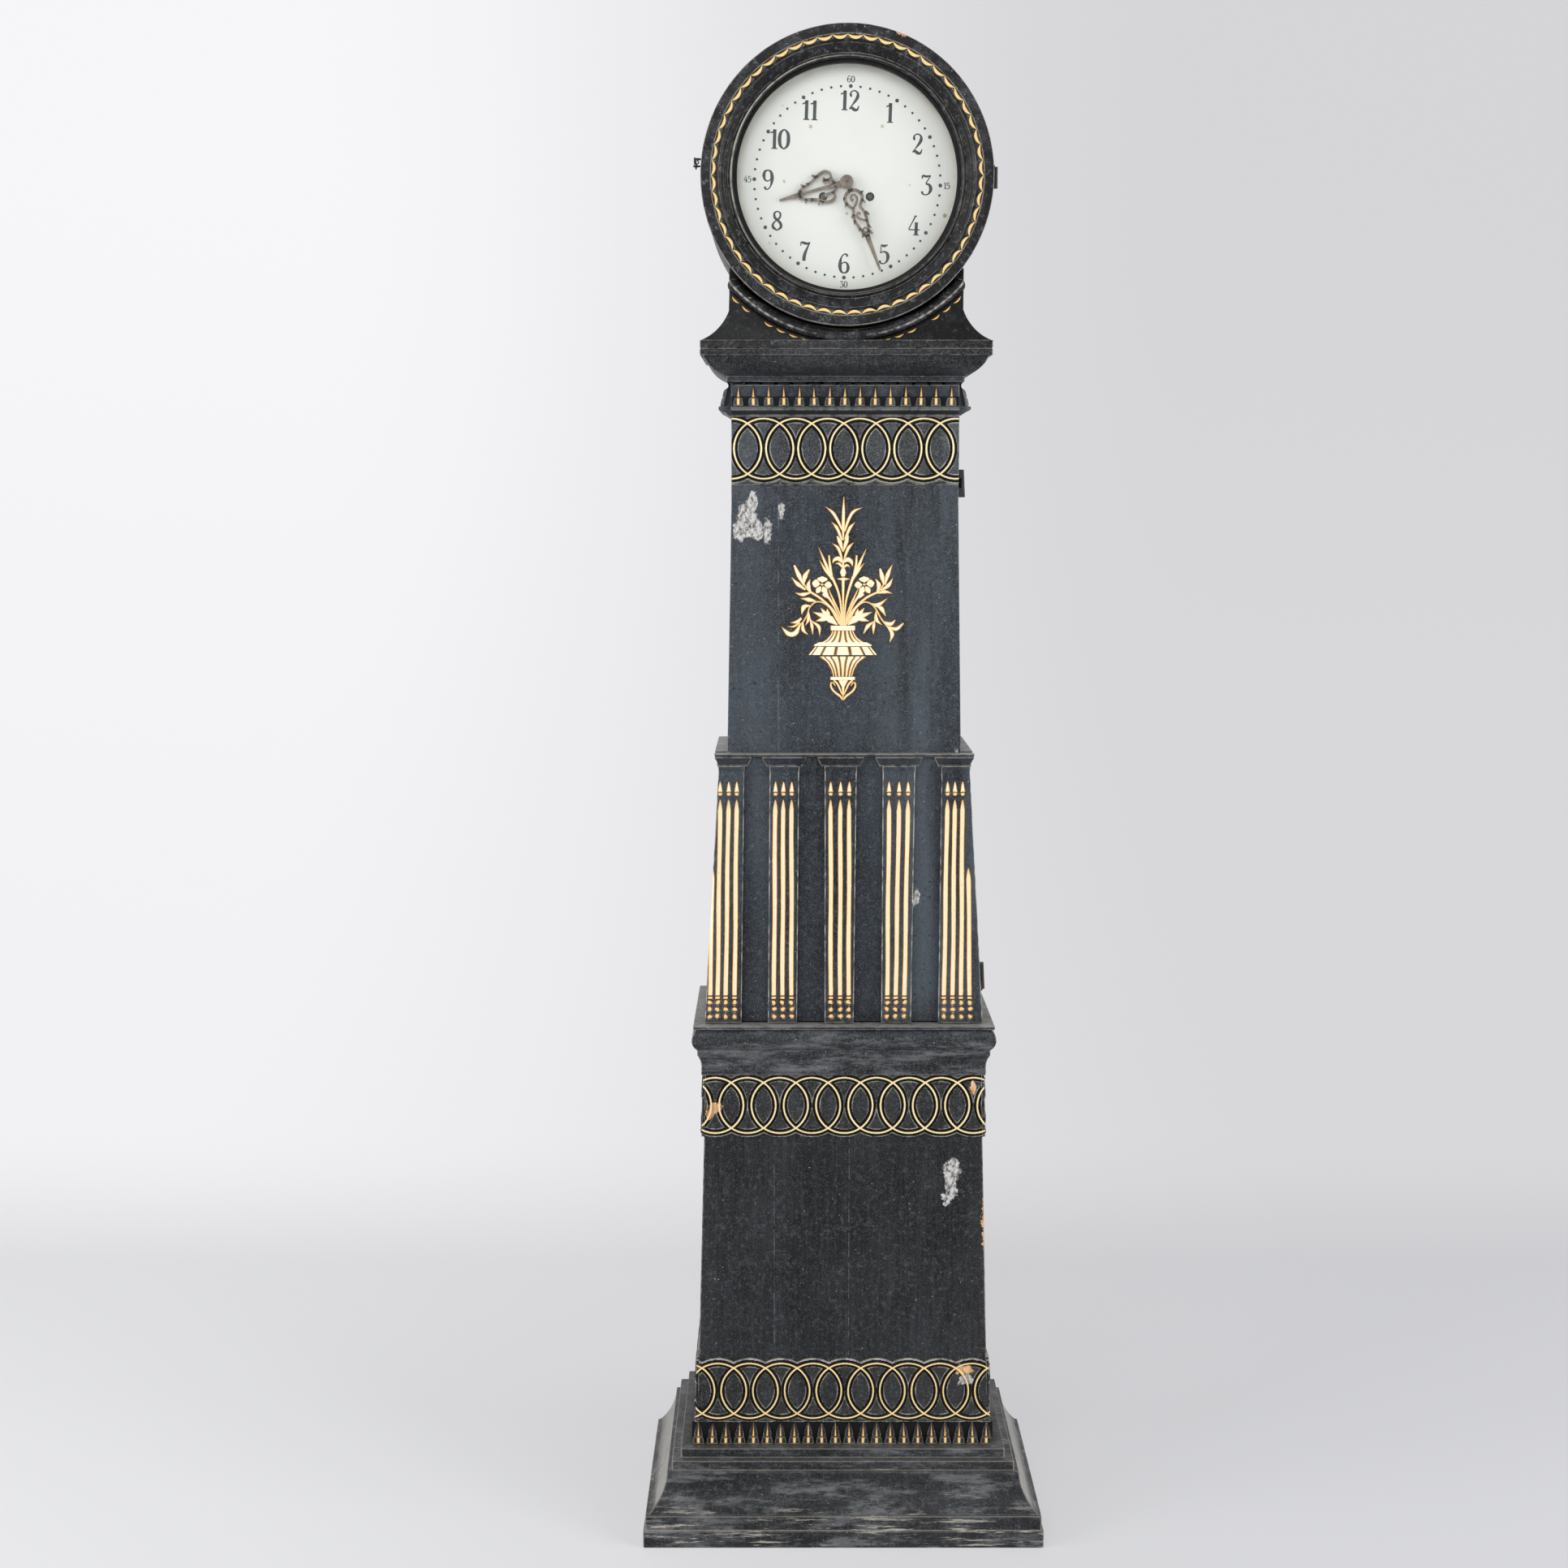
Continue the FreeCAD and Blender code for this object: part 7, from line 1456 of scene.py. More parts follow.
@dataclass
class SideTrim:
    """Fluted pilasters, capitals and dart friezes on the outside of both trunk boards."""

    shop: Workshop
    foot_y: float = -48.35
    top_y: float = -24.35
    width: float = 40.0
    profile: tuple[tuple[float, float], ...] = (
        (1589.0, 0.6), (1590.0, 1.6), (1594.0, 8.0), (1597.5, 14.0), (1598.5, 16.6), (1600.0, 18.4),
        (1603.4, 18.4), (1604.2, 17.0), (1605.0, 11.0), (1633.0, 4.4), (1635.8, 6.0))
    block_top: float = 1616.4

    def edge(self, index: int, z: Array) -> Array:
        """Front edge of a pilaster at a height."""
        foot = self.foot_y + index * (BACK_Y - self.foot_y - self.width) / 2
        top = self.top_y + index * (BACK_Y - self.top_y - self.width) / 2
        return foot + (top - foot) * np.clip((z - 741.0) / 359.0, 0, 1)

    def shaft(self, name: str, index: int, lay: Lay) -> bpy.types.Mesh:
        """One shaft with three plain flutes."""
        levels = np.concatenate([np.arange(742.0, 800.0, 1.5), np.arange(800.0, 1040.0, 6.0),
                                 np.arange(1040.0, 1107.0, 1.5)])
        share, v = np.meshgrid(np.linspace(0, 1, 49), levels)
        u = self.edge(index, v) + share * self.width
        w, rub = np.zeros_like(u), np.zeros_like(u)
        for lane in (0.24, 0.5, 0.76):
            away = np.abs(share - lane) * self.width
            tip = np.clip((1062.0 - v) / 16.0, 0, 1) ** 0.5
            depth = np.minimum(3.2 * tip - away, v - 778.0)
            w = np.where(depth > -0.4, np.minimum(w, -0.3 - 2.2 * smooth(depth / 2.6)), w)
            # Painted shade: darker inside each flute; paler just outside its edge.
            rub = rub - 0.45 * smooth(depth / 2.0) + 0.4 * np.exp(-((depth + 0.5) / 0.5) ** 2)
            for row in PELLET_ROWS:
                far = np.hypot(away, v - row)
                bump = np.clip(1 - (far / PELLET_RADIUS) ** 2, 0, 1)
                w = w - 0.8 * smooth((5.2 - far) / 1.0) + 2.2 * np.sqrt(bump)
        border = np.minimum(share, 1 - share) * self.width
        w = w - 0.9 * (1 - np.clip(border / 1.2, 0, 1)) + smooth((v - 1096.0) / 9.0) * 3.6
        rub = np.maximum(rub, 0.8 * np.exp(-((border - 0.6) / 0.7) ** 2))
        return carved(name, u, v, w, lay, -9.4, None, 50.0, rub)

    def capitals(self, name: str, sign: int) -> bpy.types.Mesh:
        """The three capitals of one side and the ledge over them."""
        faces, points = [], []
        caps = [(float(self.edge(k, 1110.0)), float(self.edge(k, 1110.0)) + self.width) for k in range(3)]
        plans = [(low, high, CAPITAL_ROWS) for low, high in caps]
        plans.append((self.top_y, BACK_Y, tuple((z, 0.0, proud) for z, proud in LEDGE_ROWS)))
        for low, high, rows in plans:
            faces += stack_faces(len(points), len(rows))
            for z, wider, proud in rows:
                near, far = max(low - wider, self.top_y), min(high + wider, BACK_Y)
                outer, inner = sign * (168.0 + proud), sign * 163.6
                points += [(outer, near, z), (outer, far, z), (inner, far, z), (inner, near, z)]
        return make_mesh(name, np.array(points), faces, {"rub": np.full(len(points), -0.2)}, 30.0)

    def frieze(self, name: str, lay: Lay) -> bpy.types.Mesh:
        """Sloping frieze with a fillet and a row of darts."""
        heights, proud = zip(*self.profile)
        darts = [1606.0] + [1606.8 + 1.1 * k for k in range(24)]
        u, v = np.meshgrid(np.arange(-8.0, BACK_Y, 0.9), np.array([*heights[:9], *darts, *heights[9:]]))
        ground = np.interp(v, heights, proud)
        across = np.abs((u + 8.0) % FRIEZE_PITCH - FRIEZE_PITCH / 2)
        rise = np.clip((v - self.block_top) / 15.6, 0, 1)
        shape = np.where(v < self.block_top, 7.9 - 1.8 * np.clip((v - 1605.0) / 11.4, 0, 1) ** 2,
                         4.2 * (1 - rise ** 1.25))
        depth = np.where((v > 1605.2) & (v < 1632.4), shape - across, -1.0)
        notch = np.exp(-((v - self.block_top) / 0.7) ** 2)
        w = ground + 5.2 * np.clip(depth / 1.5, 0, 1) - 1.4 * notch * (depth > 0)
        # Painted light and shade: the darts' edges and the fillet are paler as painted highlights; the ground
        # between and above the darts is darkened as painted shade.
        rub = np.where(depth > 0, 0.42 * np.exp(-((depth - 0.8) / 0.6) ** 2), np.where(v > 1604.6, -0.8, 0.0))
        rub = np.where((v > 1599.0) & (v < 1603.6), 0.3, rub)
        return carved(name, u, v, w, lay, -0.4, None, 40.0, rub)

    def build(self) -> None:
        """Makes both sides."""
        for sign, label in ((1, "right"), (-1, "left")):
            lay = PILASTER_FACE.side(sign)
            parts = [self.shaft(f"side_shaft_{k}", k, lay) for k in range(3)]
            parts.append(self.capitals("side_capitals", sign))
            parts.append(self.frieze("side_frieze", DOOR_HEAD.side(sign)))
            add_piece(joined(parts, "side_trim_" + label), "side_trim_" + label, "case", "black_wood",
                      self.shop.finishes.paint, nodes=("side_trim",))


@dataclass
class Frieze:
    """Row of small darts and fillets under the cornice, on the door."""

    shop: Workshop
    half: float = 156.6
    columns: int = 60
    # Rows of the ground: height, how far out, rub. Rub paints the fillets paler as painted light, and darkens
    # the grooves and the ground between the darts as painted shade.
    rows: tuple[tuple[float, float, float], ...] = (
        (1588.0, 4.2, 0.0), (1588.6, 6.2, 0.1), (1591.0, 7.0, 0.25), (1592.0, 6.0, -0.6),
        (1596.0, 6.0, -0.6), (1597.2, 7.2, 0.0), (1597.8, 8.6, 0.3), (1601.5, 8.8, 0.2),
        (1602.5, 8.0, 0.0), (1603.6, 6.0, -0.8), (1604.2, 1.2, -0.9), (1615.0, 1.2, -0.9),
        (1617.5, 1.2, -0.15), (1632.0, 1.2, -0.1))

    def build(self) -> None:
        """Makes the ground with its fillets, and the darts."""
        levels, proud, worn = np.array(self.rows).T
        u, v = np.meshgrid(np.linspace(-self.half, self.half, self.columns), levels)
        w, rub = (np.repeat(values[:, None], self.columns, 1) for values in (proud, worn))
        ground = carved("frieze_ground", u, v, w, DOOR_HEAD.front, -0.6, None, 30.0, rub)
        add_piece(ground, "frieze_ground", "trunk_door", "gilded_wood", self.shop.finishes.paint,
                  nodes=("door_frieze",))
        places = tuple(-147.2 + FRIEZE_PITCH * k for k in range(15))
        DartRow("frieze_darts", "trunk_door", DOOR_HEAD, foot=1603.8, height=31.0, pitch=FRIEZE_PITCH,
                places=places, half_width=7.9, block=11.2, thick=7.0, seed=5, returns=False,
                spike_half=3.9, gold_half=2.2, neck_in=1.8, ogive=1.25).build(self.shop)


# Turned parts of the vase: name, half-widths by height, lobes, how far out, gap between lobes.
VASE_PARTS = (
    ("rim", ((1295.1, 17.4), (1301.6, 17.4)), 0, 2.6, 0.4),
    ("neck", ((1277.8, 33.0), (1279.6, 28.6), (1282.6, 23.8), (1286.6, 20.0), (1290.6, 17.4),
              (1294.4, 16.0)), 9, 2.4, 0.4),
    ("shoulder", ((1273.2, 41.0), (1275.2, 40.2), (1278.4, 34.0)), 0, 3.2, 0.4),
    ("gadroons", ((1260.9, 48.4), (1264.0, 46.0), (1268.0, 42.8), (1272.2, 39.4)), 7, 3.4, 0.9),
    ("bowl", ((1230.7, 14.4), (1240.0, 17.0), (1248.0, 21.5), (1253.0, 26.0), (1256.4, 31.5),
              (1258.8, 33.0)), 9, 3.2, 0.4),
    ("collar", ((1226.0, 17.6), (1230.2, 17.6)), 0, 2.8, 0.4),
)


@dataclass
class Vase:
    """Gilded relief of a vase of flowers on the trunk door."""

    shop: Workshop
    centre: float = -2.3

    def strokes(self) -> list[Stroke]:
        """Stems, blades and leaves, as they were read from the panel."""
        blade = (0.8, 4.4, 4.2, 3.0)
        found = [
            Stroke(((-1.5, 1479.8), (-2.0, 1458.0), (-2.4, 1420.0)), (1.2, 4.4, 4.8, 2.4)),
            Stroke(((-27.8, 1466.6), (-17.6, 1458.7), (-10.6, 1448.3), (-3.5, 1434.0)), blade),
            Stroke(((25.4, 1465.3), (12.7, 1459.9), (5.7, 1449.5), (-0.6, 1432.0)), blade),
            Stroke(((-18.8, 1445.4), (-11.0, 1436.9), (-4.0, 1420.1)), blade),
            Stroke(((14.5, 1444.9), (7.1, 1437.0), (0.1, 1421.2)), blade),
            Stroke(((-10.6, 1425.6), (-6.5, 1417.0), (-2.6, 1404.0)), (2.5, 6.0, 4.6, 1.6)),
            Stroke(((4.6, 1426.8), (1.8, 1417.0), (-2.2, 1404.0)), (2.5, 6.0, 4.6, 1.6)),
            Stroke(((-17.6, 1415.8), (-8.9, 1408.5), (-2.8, 1391.2)), (0.8, 4.6, 3.8, 2.0)),
            Stroke(((12.7, 1417.1), (4.6, 1408.5), (-1.7, 1391.2)), (0.8, 4.6, 3.8, 2.0)),
            Stroke(((-3.4, 1389.6), (-8.4, 1394.6), (-14.3, 1393.0), (-16.9, 1388.4)), (3.5, 6.6, 5.2, 1.6)),
            Stroke(((-1.2, 1389.6), (3.9, 1393.2), (8.9, 1390.4), (10.8, 1384.4)), (3.5, 6.6, 5.2, 1.6)),
            Stroke(((-2.6, 1382.0), (-7.9, 1387.6), (-12.9, 1387.4)), (3.0, 4.2, 1.2)),
            Stroke(((-2.0, 1382.0), (3.0, 1385.4), (7.4, 1382.8)), (3.0, 4.2, 1.2)),
            Stroke(((-2.3, 1392.0), (-2.3, 1381.0)), (3.2, 3.4)),
            Stroke(((-2.2, 1381.0), (-2.2, 1375.0), (-2.2, 1369.8)), (5.0, 8.4, 5.0)),
            Stroke(((-11.2, 1366.6), (-1.9, 1366.2), (7.6, 1366.4)), (1.0, 5.4, 1.0)),
            Stroke(((-2.1, 1366.0), (-2.1, 1330.0), (-2.1, 1302.0)), (4.4, 2.9, 3.2)),
            Stroke(((-36.5, 1410.8), (-28.5, 1392.0), (-17.5, 1366.0)), (0.9, 4.4, 4.0)),
            Stroke(((-21.9, 1399.2), (-20.4, 1383.6), (-17.0, 1366.0)), (2.6, 4.2, 3.0)),
            Stroke(((-34.9, 1392.7), (-28.0, 1380.5), (-17.0, 1366.0)), (1.0, 4.2, 3.4)),
            Stroke(((-17.4, 1368.5), (-9.6, 1350.5), (-5.4, 1331.0), (-3.6, 1302.0)), (4.0, 3.1, 2.7)),
            Stroke(((29.7, 1407.9), (22.0, 1390.7), (11.7, 1366.6)), (0.9, 4.6, 4.2)),
            Stroke(((16.5, 1399.2), (15.5, 1383.6), (11.7, 1366.6)), (2.6, 4.2, 3.4)),
            Stroke(((27.3, 1388.8), (19.8, 1379.2), (11.7, 1366.6)), (1.0, 4.2, 3.6)),
            Stroke(((12.0, 1369.6), (5.6, 1350.5), (1.2, 1331.0), (-0.4, 1302.0)), (4.4, 3.1, 2.7)),
            Stroke(((-70.2, 1385.4), (-63.8, 1371.5), (-56.5, 1357.5)), (3.0, 6.4, 3.0)),
            Stroke(((-49.2, 1379.6), (-55.2, 1370.0), (-57.3, 1358.5)), (2.4, 7.0, 2.4)),
            Stroke(((-73.7, 1368.6), (-66.0, 1360.0), (-54.5, 1351.5)), (1.0, 6.0, 3.0)),
            Stroke(((-48.2, 1365.7), (-50.6, 1357.0), (-47.3, 1348.0)), (1.6, 6.2, 3.0)),
            Stroke(((-69.0, 1347.3), (-59.0, 1344.8), (-47.0, 1347.6)), (1.0, 5.8, 2.6)),
            Stroke(((-57.3, 1360.5), (-49.8, 1350.2), (-33.0, 1339.0), (-15.0, 1322.0), (-5.4, 1302.5)),
                   (2.2, 3.6, 3.6, 3.2, 2.8)),
            Stroke(((65.9, 1386.0), (60.5, 1374.0), (55.6, 1358.5)), (1.2, 6.0, 3.0)),
            Stroke(((49.0, 1380.8), (51.8, 1370.5), (54.4, 1358.5)), (2.8, 6.6, 2.4)),
            Stroke(((66.7, 1367.5), (61.0, 1357.8), (50.6, 1350.5)), (1.2, 6.0, 3.0)),
            Stroke(((43.1, 1366.3), (47.6, 1358.0), (45.6, 1349.0)), (1.6, 6.4, 3.0)),
            Stroke(((66.7, 1346.1), (57.0, 1348.6), (44.5, 1347.0)), (1.0, 5.2, 3.0)),
            Stroke(((54.6, 1359.2), (46.3, 1348.8), (29.0, 1339.5), (11.0, 1322.0), (0.8, 1302.5)),
                   (2.2, 3.6, 3.6, 3.2, 2.8)),
            Stroke(((-22.3, 1352.0), (-15.2, 1336.0), (-6.6, 1318.0), (-4.4, 1302.0)), (1.6, 3.2, 2.6, 2.6)),
            Stroke(((-24.0, 1343.4), (-15.6, 1330.4), (-7.8, 1314.0), (-4.8, 1302.0)), (4.0, 3.2, 2.8, 2.4)),
            Stroke(((18.4, 1352.0), (11.2, 1336.0), (3.6, 1318.0), (1.0, 1302.0)), (1.6, 3.2, 2.6, 2.6)),
            Stroke(((19.6, 1343.4), (11.6, 1330.4), (4.6, 1314.0), (1.8, 1302.0)), (4.0, 3.2, 2.8, 2.4)),
        ]
        found += self.flower(-31.4, 1358.8, 1) + self.flower(27.3, 1358.8, -1)
        for side in (-1, 1):
            shift = -2.5 if side < 0 else -3.2
            found += self.leafage(side, shift)
        found += [
            Stroke(((-38.1, 1334.7), (-50.0, 1337.8), (-61.8, 1339.4)), (1.6, 6.4, 0.8)),
            Stroke(((-47.5, 1329.5), (-56.5, 1327.5), (-59.8, 1317.2)), (2.0, 7.0, 1.0)),
            Stroke(((-50.6, 1322.5), (-50.2, 1311.0), (-54.2, 1302.2)), (2.0, 5.8, 1.0)),
            Stroke(((-60.0, 1312.0), (-66.4, 1306.8), (-75.6, 1305.7)), (3.6, 5.0, 1.0)),
            Stroke(((-62.0, 1306.0), (-71.0, 1300.4), (-80.2, 1300.6)), (2.8, 3.4, 0.8)),
            Stroke(((-62.0, 1303.0), (-68.5, 1291.3), (-77.8, 1290.2), (-87.8, 1299.8)),
                   (3.0, 6.8, 6.4, 1.0)),
            Stroke(((-58.4, 1306.0), (-57.6, 1295.5), (-51.0, 1289.2)), (3.0, 5.2, 1.2)),
            Stroke(((-48.5, 1313.0), (-45.4, 1301.0), (-44.4, 1289.7)), (1.8, 4.8, 1.4)),
            Stroke(((-46.5, 1308.5), (-36.0, 1300.0), (-34.6, 1287.5)), (1.8, 5.2, 1.2)),
            Stroke(((33.2, 1333.4), (46.6, 1330.8), (59.3, 1339.4)), (0.8, 5.6, 1.0)),
            Stroke(((41.0, 1329.5), (50.5, 1326.0), (57.2, 1314.8)), (2.0, 6.4, 1.0)),
            Stroke(((44.0, 1322.0), (44.4, 1310.0), (52.4, 1302.4)), (2.0, 6.0, 1.0)),
            Stroke(((54.0, 1306.6), (64.0, 1303.8), (70.8, 1309.6)), (3.0, 6.2, 1.6)),
            Stroke(((59.4, 1300.0), (72.0, 1297.0), (82.1, 1304.9)), (3.0, 5.6, 2.4)),
            Stroke(((60.0, 1300.5), (66.4, 1290.0), (63.1, 1278.4)), (2.6, 5.8, 1.2)),
            Stroke(((42.5, 1311.0), (40.6, 1301.0), (40.2, 1290.0)), (1.6, 5.0, 1.4)),
            Stroke(((42.0, 1308.0), (32.6, 1301.0), (26.6, 1290.6)), (1.6, 5.8, 1.4)),
            Stroke(((-7.2, 1303.5), (-18.7, 1324.3), (-30.2, 1333.4), (-40.5, 1334.2), (-48.8, 1326.8),
                    (-51.6, 1317.8), (-57.5, 1307.0), (-62.0, 1303.0)), (2.6, 3.2, 2.8, 2.4, 2.4, 2.2, 2.6)),
            Stroke(((-50.6, 1322.0), (-48.0, 1312.0), (-45.6, 1304.0)), (1.8, 1.8, 1.8)),
            Stroke(((3.3, 1303.5), (14.5, 1324.3), (25.0, 1333.6), (34.8, 1333.0), (43.2, 1325.3),
                    (50.6, 1312.0), (60.4, 1299.6)), (2.6, 3.2, 2.8, 2.4, 2.4, 2.4, 2.8)),
            Stroke(((44.0, 1322.0), (43.0, 1312.0), (40.6, 1304.0)), (1.8, 1.8, 1.8)),
        ]
        return [Stroke(s.points, tuple(1.12 * w for w in s.widths), s.rise) for s in found]

    @staticmethod
    def flower(x: float, z: float, side: int) -> list[Stroke]:
        """A five-petalled flower seen from the front, with its calyx."""
        tips = ((0.4, 9.6, 13.5), (11.6, -1.0, 9.5), (4.2, -10.6, 8.2), (-6.6, -10.2, 7.4),
                (-12.0, 1.8, 10.5))
        found = []
        for dx, dz, wide in tips:
            dx, dz, wide = 1.16 * dx, 1.16 * dz, 1.14 * wide
            along = math.hypot(dx, dz)
            start = 2.6 / along
            points = ((x + side * dx * start, z + dz * start), (x + side * dx * 0.6, z + dz * 0.6),
                      (x + side * dx, z + dz))
            found.append(Stroke(points, (1.2, wide * 0.62, wide * 0.92, wide * 0.8, 2.6)))
        found.append(Stroke(((x - 1.8, z), (x + 1.8, z)), (2.6, 3.8, 2.6)))
        found.append(Stroke(((x + side * 3.4, z - 11.4), (x + side * 6.0, z - 15.4),
                             (x + side * 8.8, z - 19.4)),
                            (9.0, 7.0, 2.0)))
        return found

    @staticmethod
    def leafage(side: int, shift: float) -> list[Stroke]:
        """The palmate leaf at the vase's mouth, on one side."""
        tips = ((-43.5, 1320.6), (-32.5, 1326.4), (-23.5, 1325.4), (-39.5, 1307.8))
        heart = (-22.0, 1312.5)
        found = [Stroke(((shift + side * (tip[0] + 2.5), tip[1]),
                         (shift + side * ((tip[0] * 0.55 + heart[0] * 0.45) + 2.5),
                          tip[1] * 0.55 + heart[1] * 0.45),
                         (shift + side * (heart[0] + 2.5), heart[1])), (1.0, 6.2, 6.6)) for tip in tips]
        stem = ((-30.0, 1315.0), (-20.0, 1311.0), (-9.5, 1302.8))
        found.append(Stroke(tuple((shift + side * (x + 2.5), z) for x, z in stem), (6.0, 10.0, 2.6)))
        return found

    def turned(self, name: str, profile: Sequence[tuple[float, float]], lobes: float, rise: float,
               gap: float) -> bpy.types.Mesh:
        """A fluted part of the vase between two heights."""
        levels = np.linspace(profile[0][0], profile[-1][0], 14)
        halves = np.interp(levels, *zip(*profile))
        share, v = np.meshgrid(np.linspace(-1, 1, 81), levels)
        half = np.repeat(halves[:, None], 81, 1)
        u = self.centre + share * half
        w = rise * np.sqrt(np.clip(1 - share ** 2 * 0.92, 0, 1))
        gilt = (1 - np.abs(share)) * half + 0.1
        if lobes:
            bow = np.arcsin(np.clip(share, -1, 1)) / (math.pi / 2)
            phase = bow * lobes / 2 + 0.5
            away = np.abs(phase - np.round(phase)) * 2 / lobes * half * 1.2
            w = w - 1.4 * np.exp(-(away / (gap + 0.5)) ** 2)
            gilt = np.minimum(gilt, away - gap)
        return carved(name, u, v, w, PANEL.front, -0.5, gilt)

    def build(self) -> None:
        """Makes the bouquet and the vase as one piece."""
        parts = [ribbon("bouquet", self.strokes(), PANEL.front, 2.4, -0.5)]
        parts += [self.turned(*row) for row in VASE_PARTS]
        finial = []
        for side in (-1, 1):
            finial += [
                Stroke(tuple((self.centre + 0.6 + side * x, z) for x, z in
                             ((11.0, 1217.6), (13.2, 1221.2), (16.6, 1221.6), (17.0, 1216.8), (14.2, 1211.4),
                              (9.4, 1207.0), (4.0, 1203.0), (0.6, 1198.0))), (2.0, 2.8, 3.6, 3.6, 4.0, 3.0)),
                Stroke(tuple((self.centre + 0.6 + side * x, z) for x, z in
                             ((13.0, 1225.4), (7.6, 1219.6), (3.6, 1211.0), (1.0, 1205.4))), (3.6, 3.4, 2.6)),
            ]
        finial.append(Stroke(((self.centre + 0.6, 1225.6), (self.centre + 0.6, 1212.0),
                              (self.centre + 0.8, 1197.6)),
                             (15.0, 5.0, 3.4, 1.0)))
        parts.append(ribbon("finial", finial, PANEL.front, 2.2, -0.5))
        whole = joined(parts, "vase_of_flowers")
        add_piece(whole, "vase_of_flowers", "trunk_door", "gilded_wood", self.shop.finishes.paint,
                  nodes=("door_vase",))


@dataclass
class Bezel:
    """Turned ring of the head door with its row of gouged, gilded scallops."""

    shop: Workshop
    front: float = -89.4
    back: float = -67.5
    scallops: int = 56
    hollow: tuple[float, float] = (159.0, 173.9)
    lip: tuple[float, float] = (152.3, 158.9)

    def in_hollow(self, radius: Array) -> Array:
        """Whether a radius lies in the plain hollow inside the scallops."""
        return (radius > self.hollow[0]) & (radius < self.hollow[1])

    def on_lip(self, radius: Array) -> Array:
        """Whether a radius lies on the round lip beside the glass."""
        return (radius >= self.lip[0]) & (radius <= self.lip[1])

    def arch(self, angle: Array) -> tuple[Array, Array]:
        """Inner radius of the scallops at an angle, and the share of the way to a cusp."""
        phase = angle / (2 * math.pi) * self.scallops
        cusp = np.abs(2 * (phase - np.floor(phase)) - 1)
        return 175.4 + 5.2 * cusp ** 2.2, cusp

    def ring(self) -> bpy.types.Mesh:
        """The whole turned ring."""
        radii = np.concatenate([[196.0, 196.0, 195.6, 194.6], np.linspace(193.5, 184.0, 7),
                                np.linspace(183.2, 174.0, 20), np.linspace(173.0, 159.6, 15),
                                np.linspace(158.8, 152.4, 13),
                                [151.8, 151.4, 150.0, 147.5, 147.5, 152.5, 152.5]])
        depth = np.concatenate([[self.back, self.front + 1.6, self.front + 0.4, self.front],
                                np.full(7, self.front), np.full(20, self.front), np.zeros(15), np.zeros(13),
                                [self.front + 11.0, -76.4, -76.2, -76.0, -74.0, -74.0, self.back]])
        band = self.in_hollow(radii)
        scratch = np.random.default_rng(8).uniform(-0.3, 0.3, band.sum())
        outer = self.hollow[1]
        depth[band] = self.front + 3.4 + (outer - radii[band]) / (outer - 158.5) * 6.2 + scratch
        lip = self.on_lip(radii) & (depth == 0)
        middle = (radii[lip] - 155.6) / 3.3
        depth[lip] = self.front + 9.4 - 5.0 * np.sqrt(np.clip(1 - middle ** 2, 0, 1))
        worn = np.zeros_like(radii)
        worn[1:3], worn[4:11] = 0.5, 0.06
        worn[band] = np.abs(scratch) * 0.9
        # Painted highlight along the lip's crest.
        worn[lip] = 0.75 * np.exp(-((middle + 0.1) / 0.35) ** 2)
        # Painted shade on the rebate inside the lip.
        worn[radii < 152.0] = -0.9
        columns = self.scallops * 10
        angle = np.linspace(0, 2 * math.pi, columns, endpoint=False)
        u, v = np.meshgrid(angle, radii)
        y = np.repeat(depth[:, None], columns, 1)
        arch, _ = self.arch(u)
        zone = (v < 183.3) & (v > outer)
        slope = 2.9 * np.clip((183.0 - v) / (183.0 - arch), 0, 1)
        inner = 1.0 + 2.4 * np.clip((arch - v) / 4.0, 0, 1)
        y = np.where(zone, self.front + np.where(v >= arch, slope, inner), y)
        # The lip's painted highlight is strongest on the left, near ten o'clock; the hollow's scratches show
        # mostly towards three and nine o'clock.
        lit = np.where(self.on_lip(v), 0.35 + 0.65 * np.clip(-np.sin(u - 0.4), 0, 1) ** 1.5, 1.0)
        lit = np.where(self.in_hollow(v), 0.2 + 0.8 * np.abs(np.sin(u)) ** 3, lit)
        rub = np.repeat(worn[:, None], columns, 1) * lit
        # Painted shadow: a dark line on the inner side of each scallop, below its step.
        rub = np.where(zone,
                       np.where(v >= arch, 0.5 * np.exp(-((v - 182.6) / 0.7) ** 2), -0.6 * (v > arch - 2.0)),
                       rub)
        return carved("bezel_turned", u, v, -y, head_lay(0.0), None, None, 40.0, rub)

    def scallop(self) -> bpy.types.Mesh:
        """One thin gilded crescent, round the head's centre."""
        step = math.pi / self.scallops
        share, across = np.meshgrid(np.linspace(-0.99, 0.99, 17), np.linspace(0, 1, 4))
        angle = share * step
        inner = 175.7 + 5.4 * np.abs(share) ** 2.2
        outer = inner + 3.4 * (1 - np.abs(share) ** 2.4) + 0.8
        radius = inner + (outer - inner) * across
        drop = 2.9 * np.clip((183.0 - radius) / (183.0 - inner + 0.4), 0, 1)
        place = (lambda u, v, w: (v * np.sin(u), self.front - w, v * np.cos(u)))
        gilt = np.minimum((1 - across) * 3 + 0.3, 3.0) * np.ones_like(share)
        return carved("scallop", angle, radius, 0.5 - drop, place, -3.6, gilt)

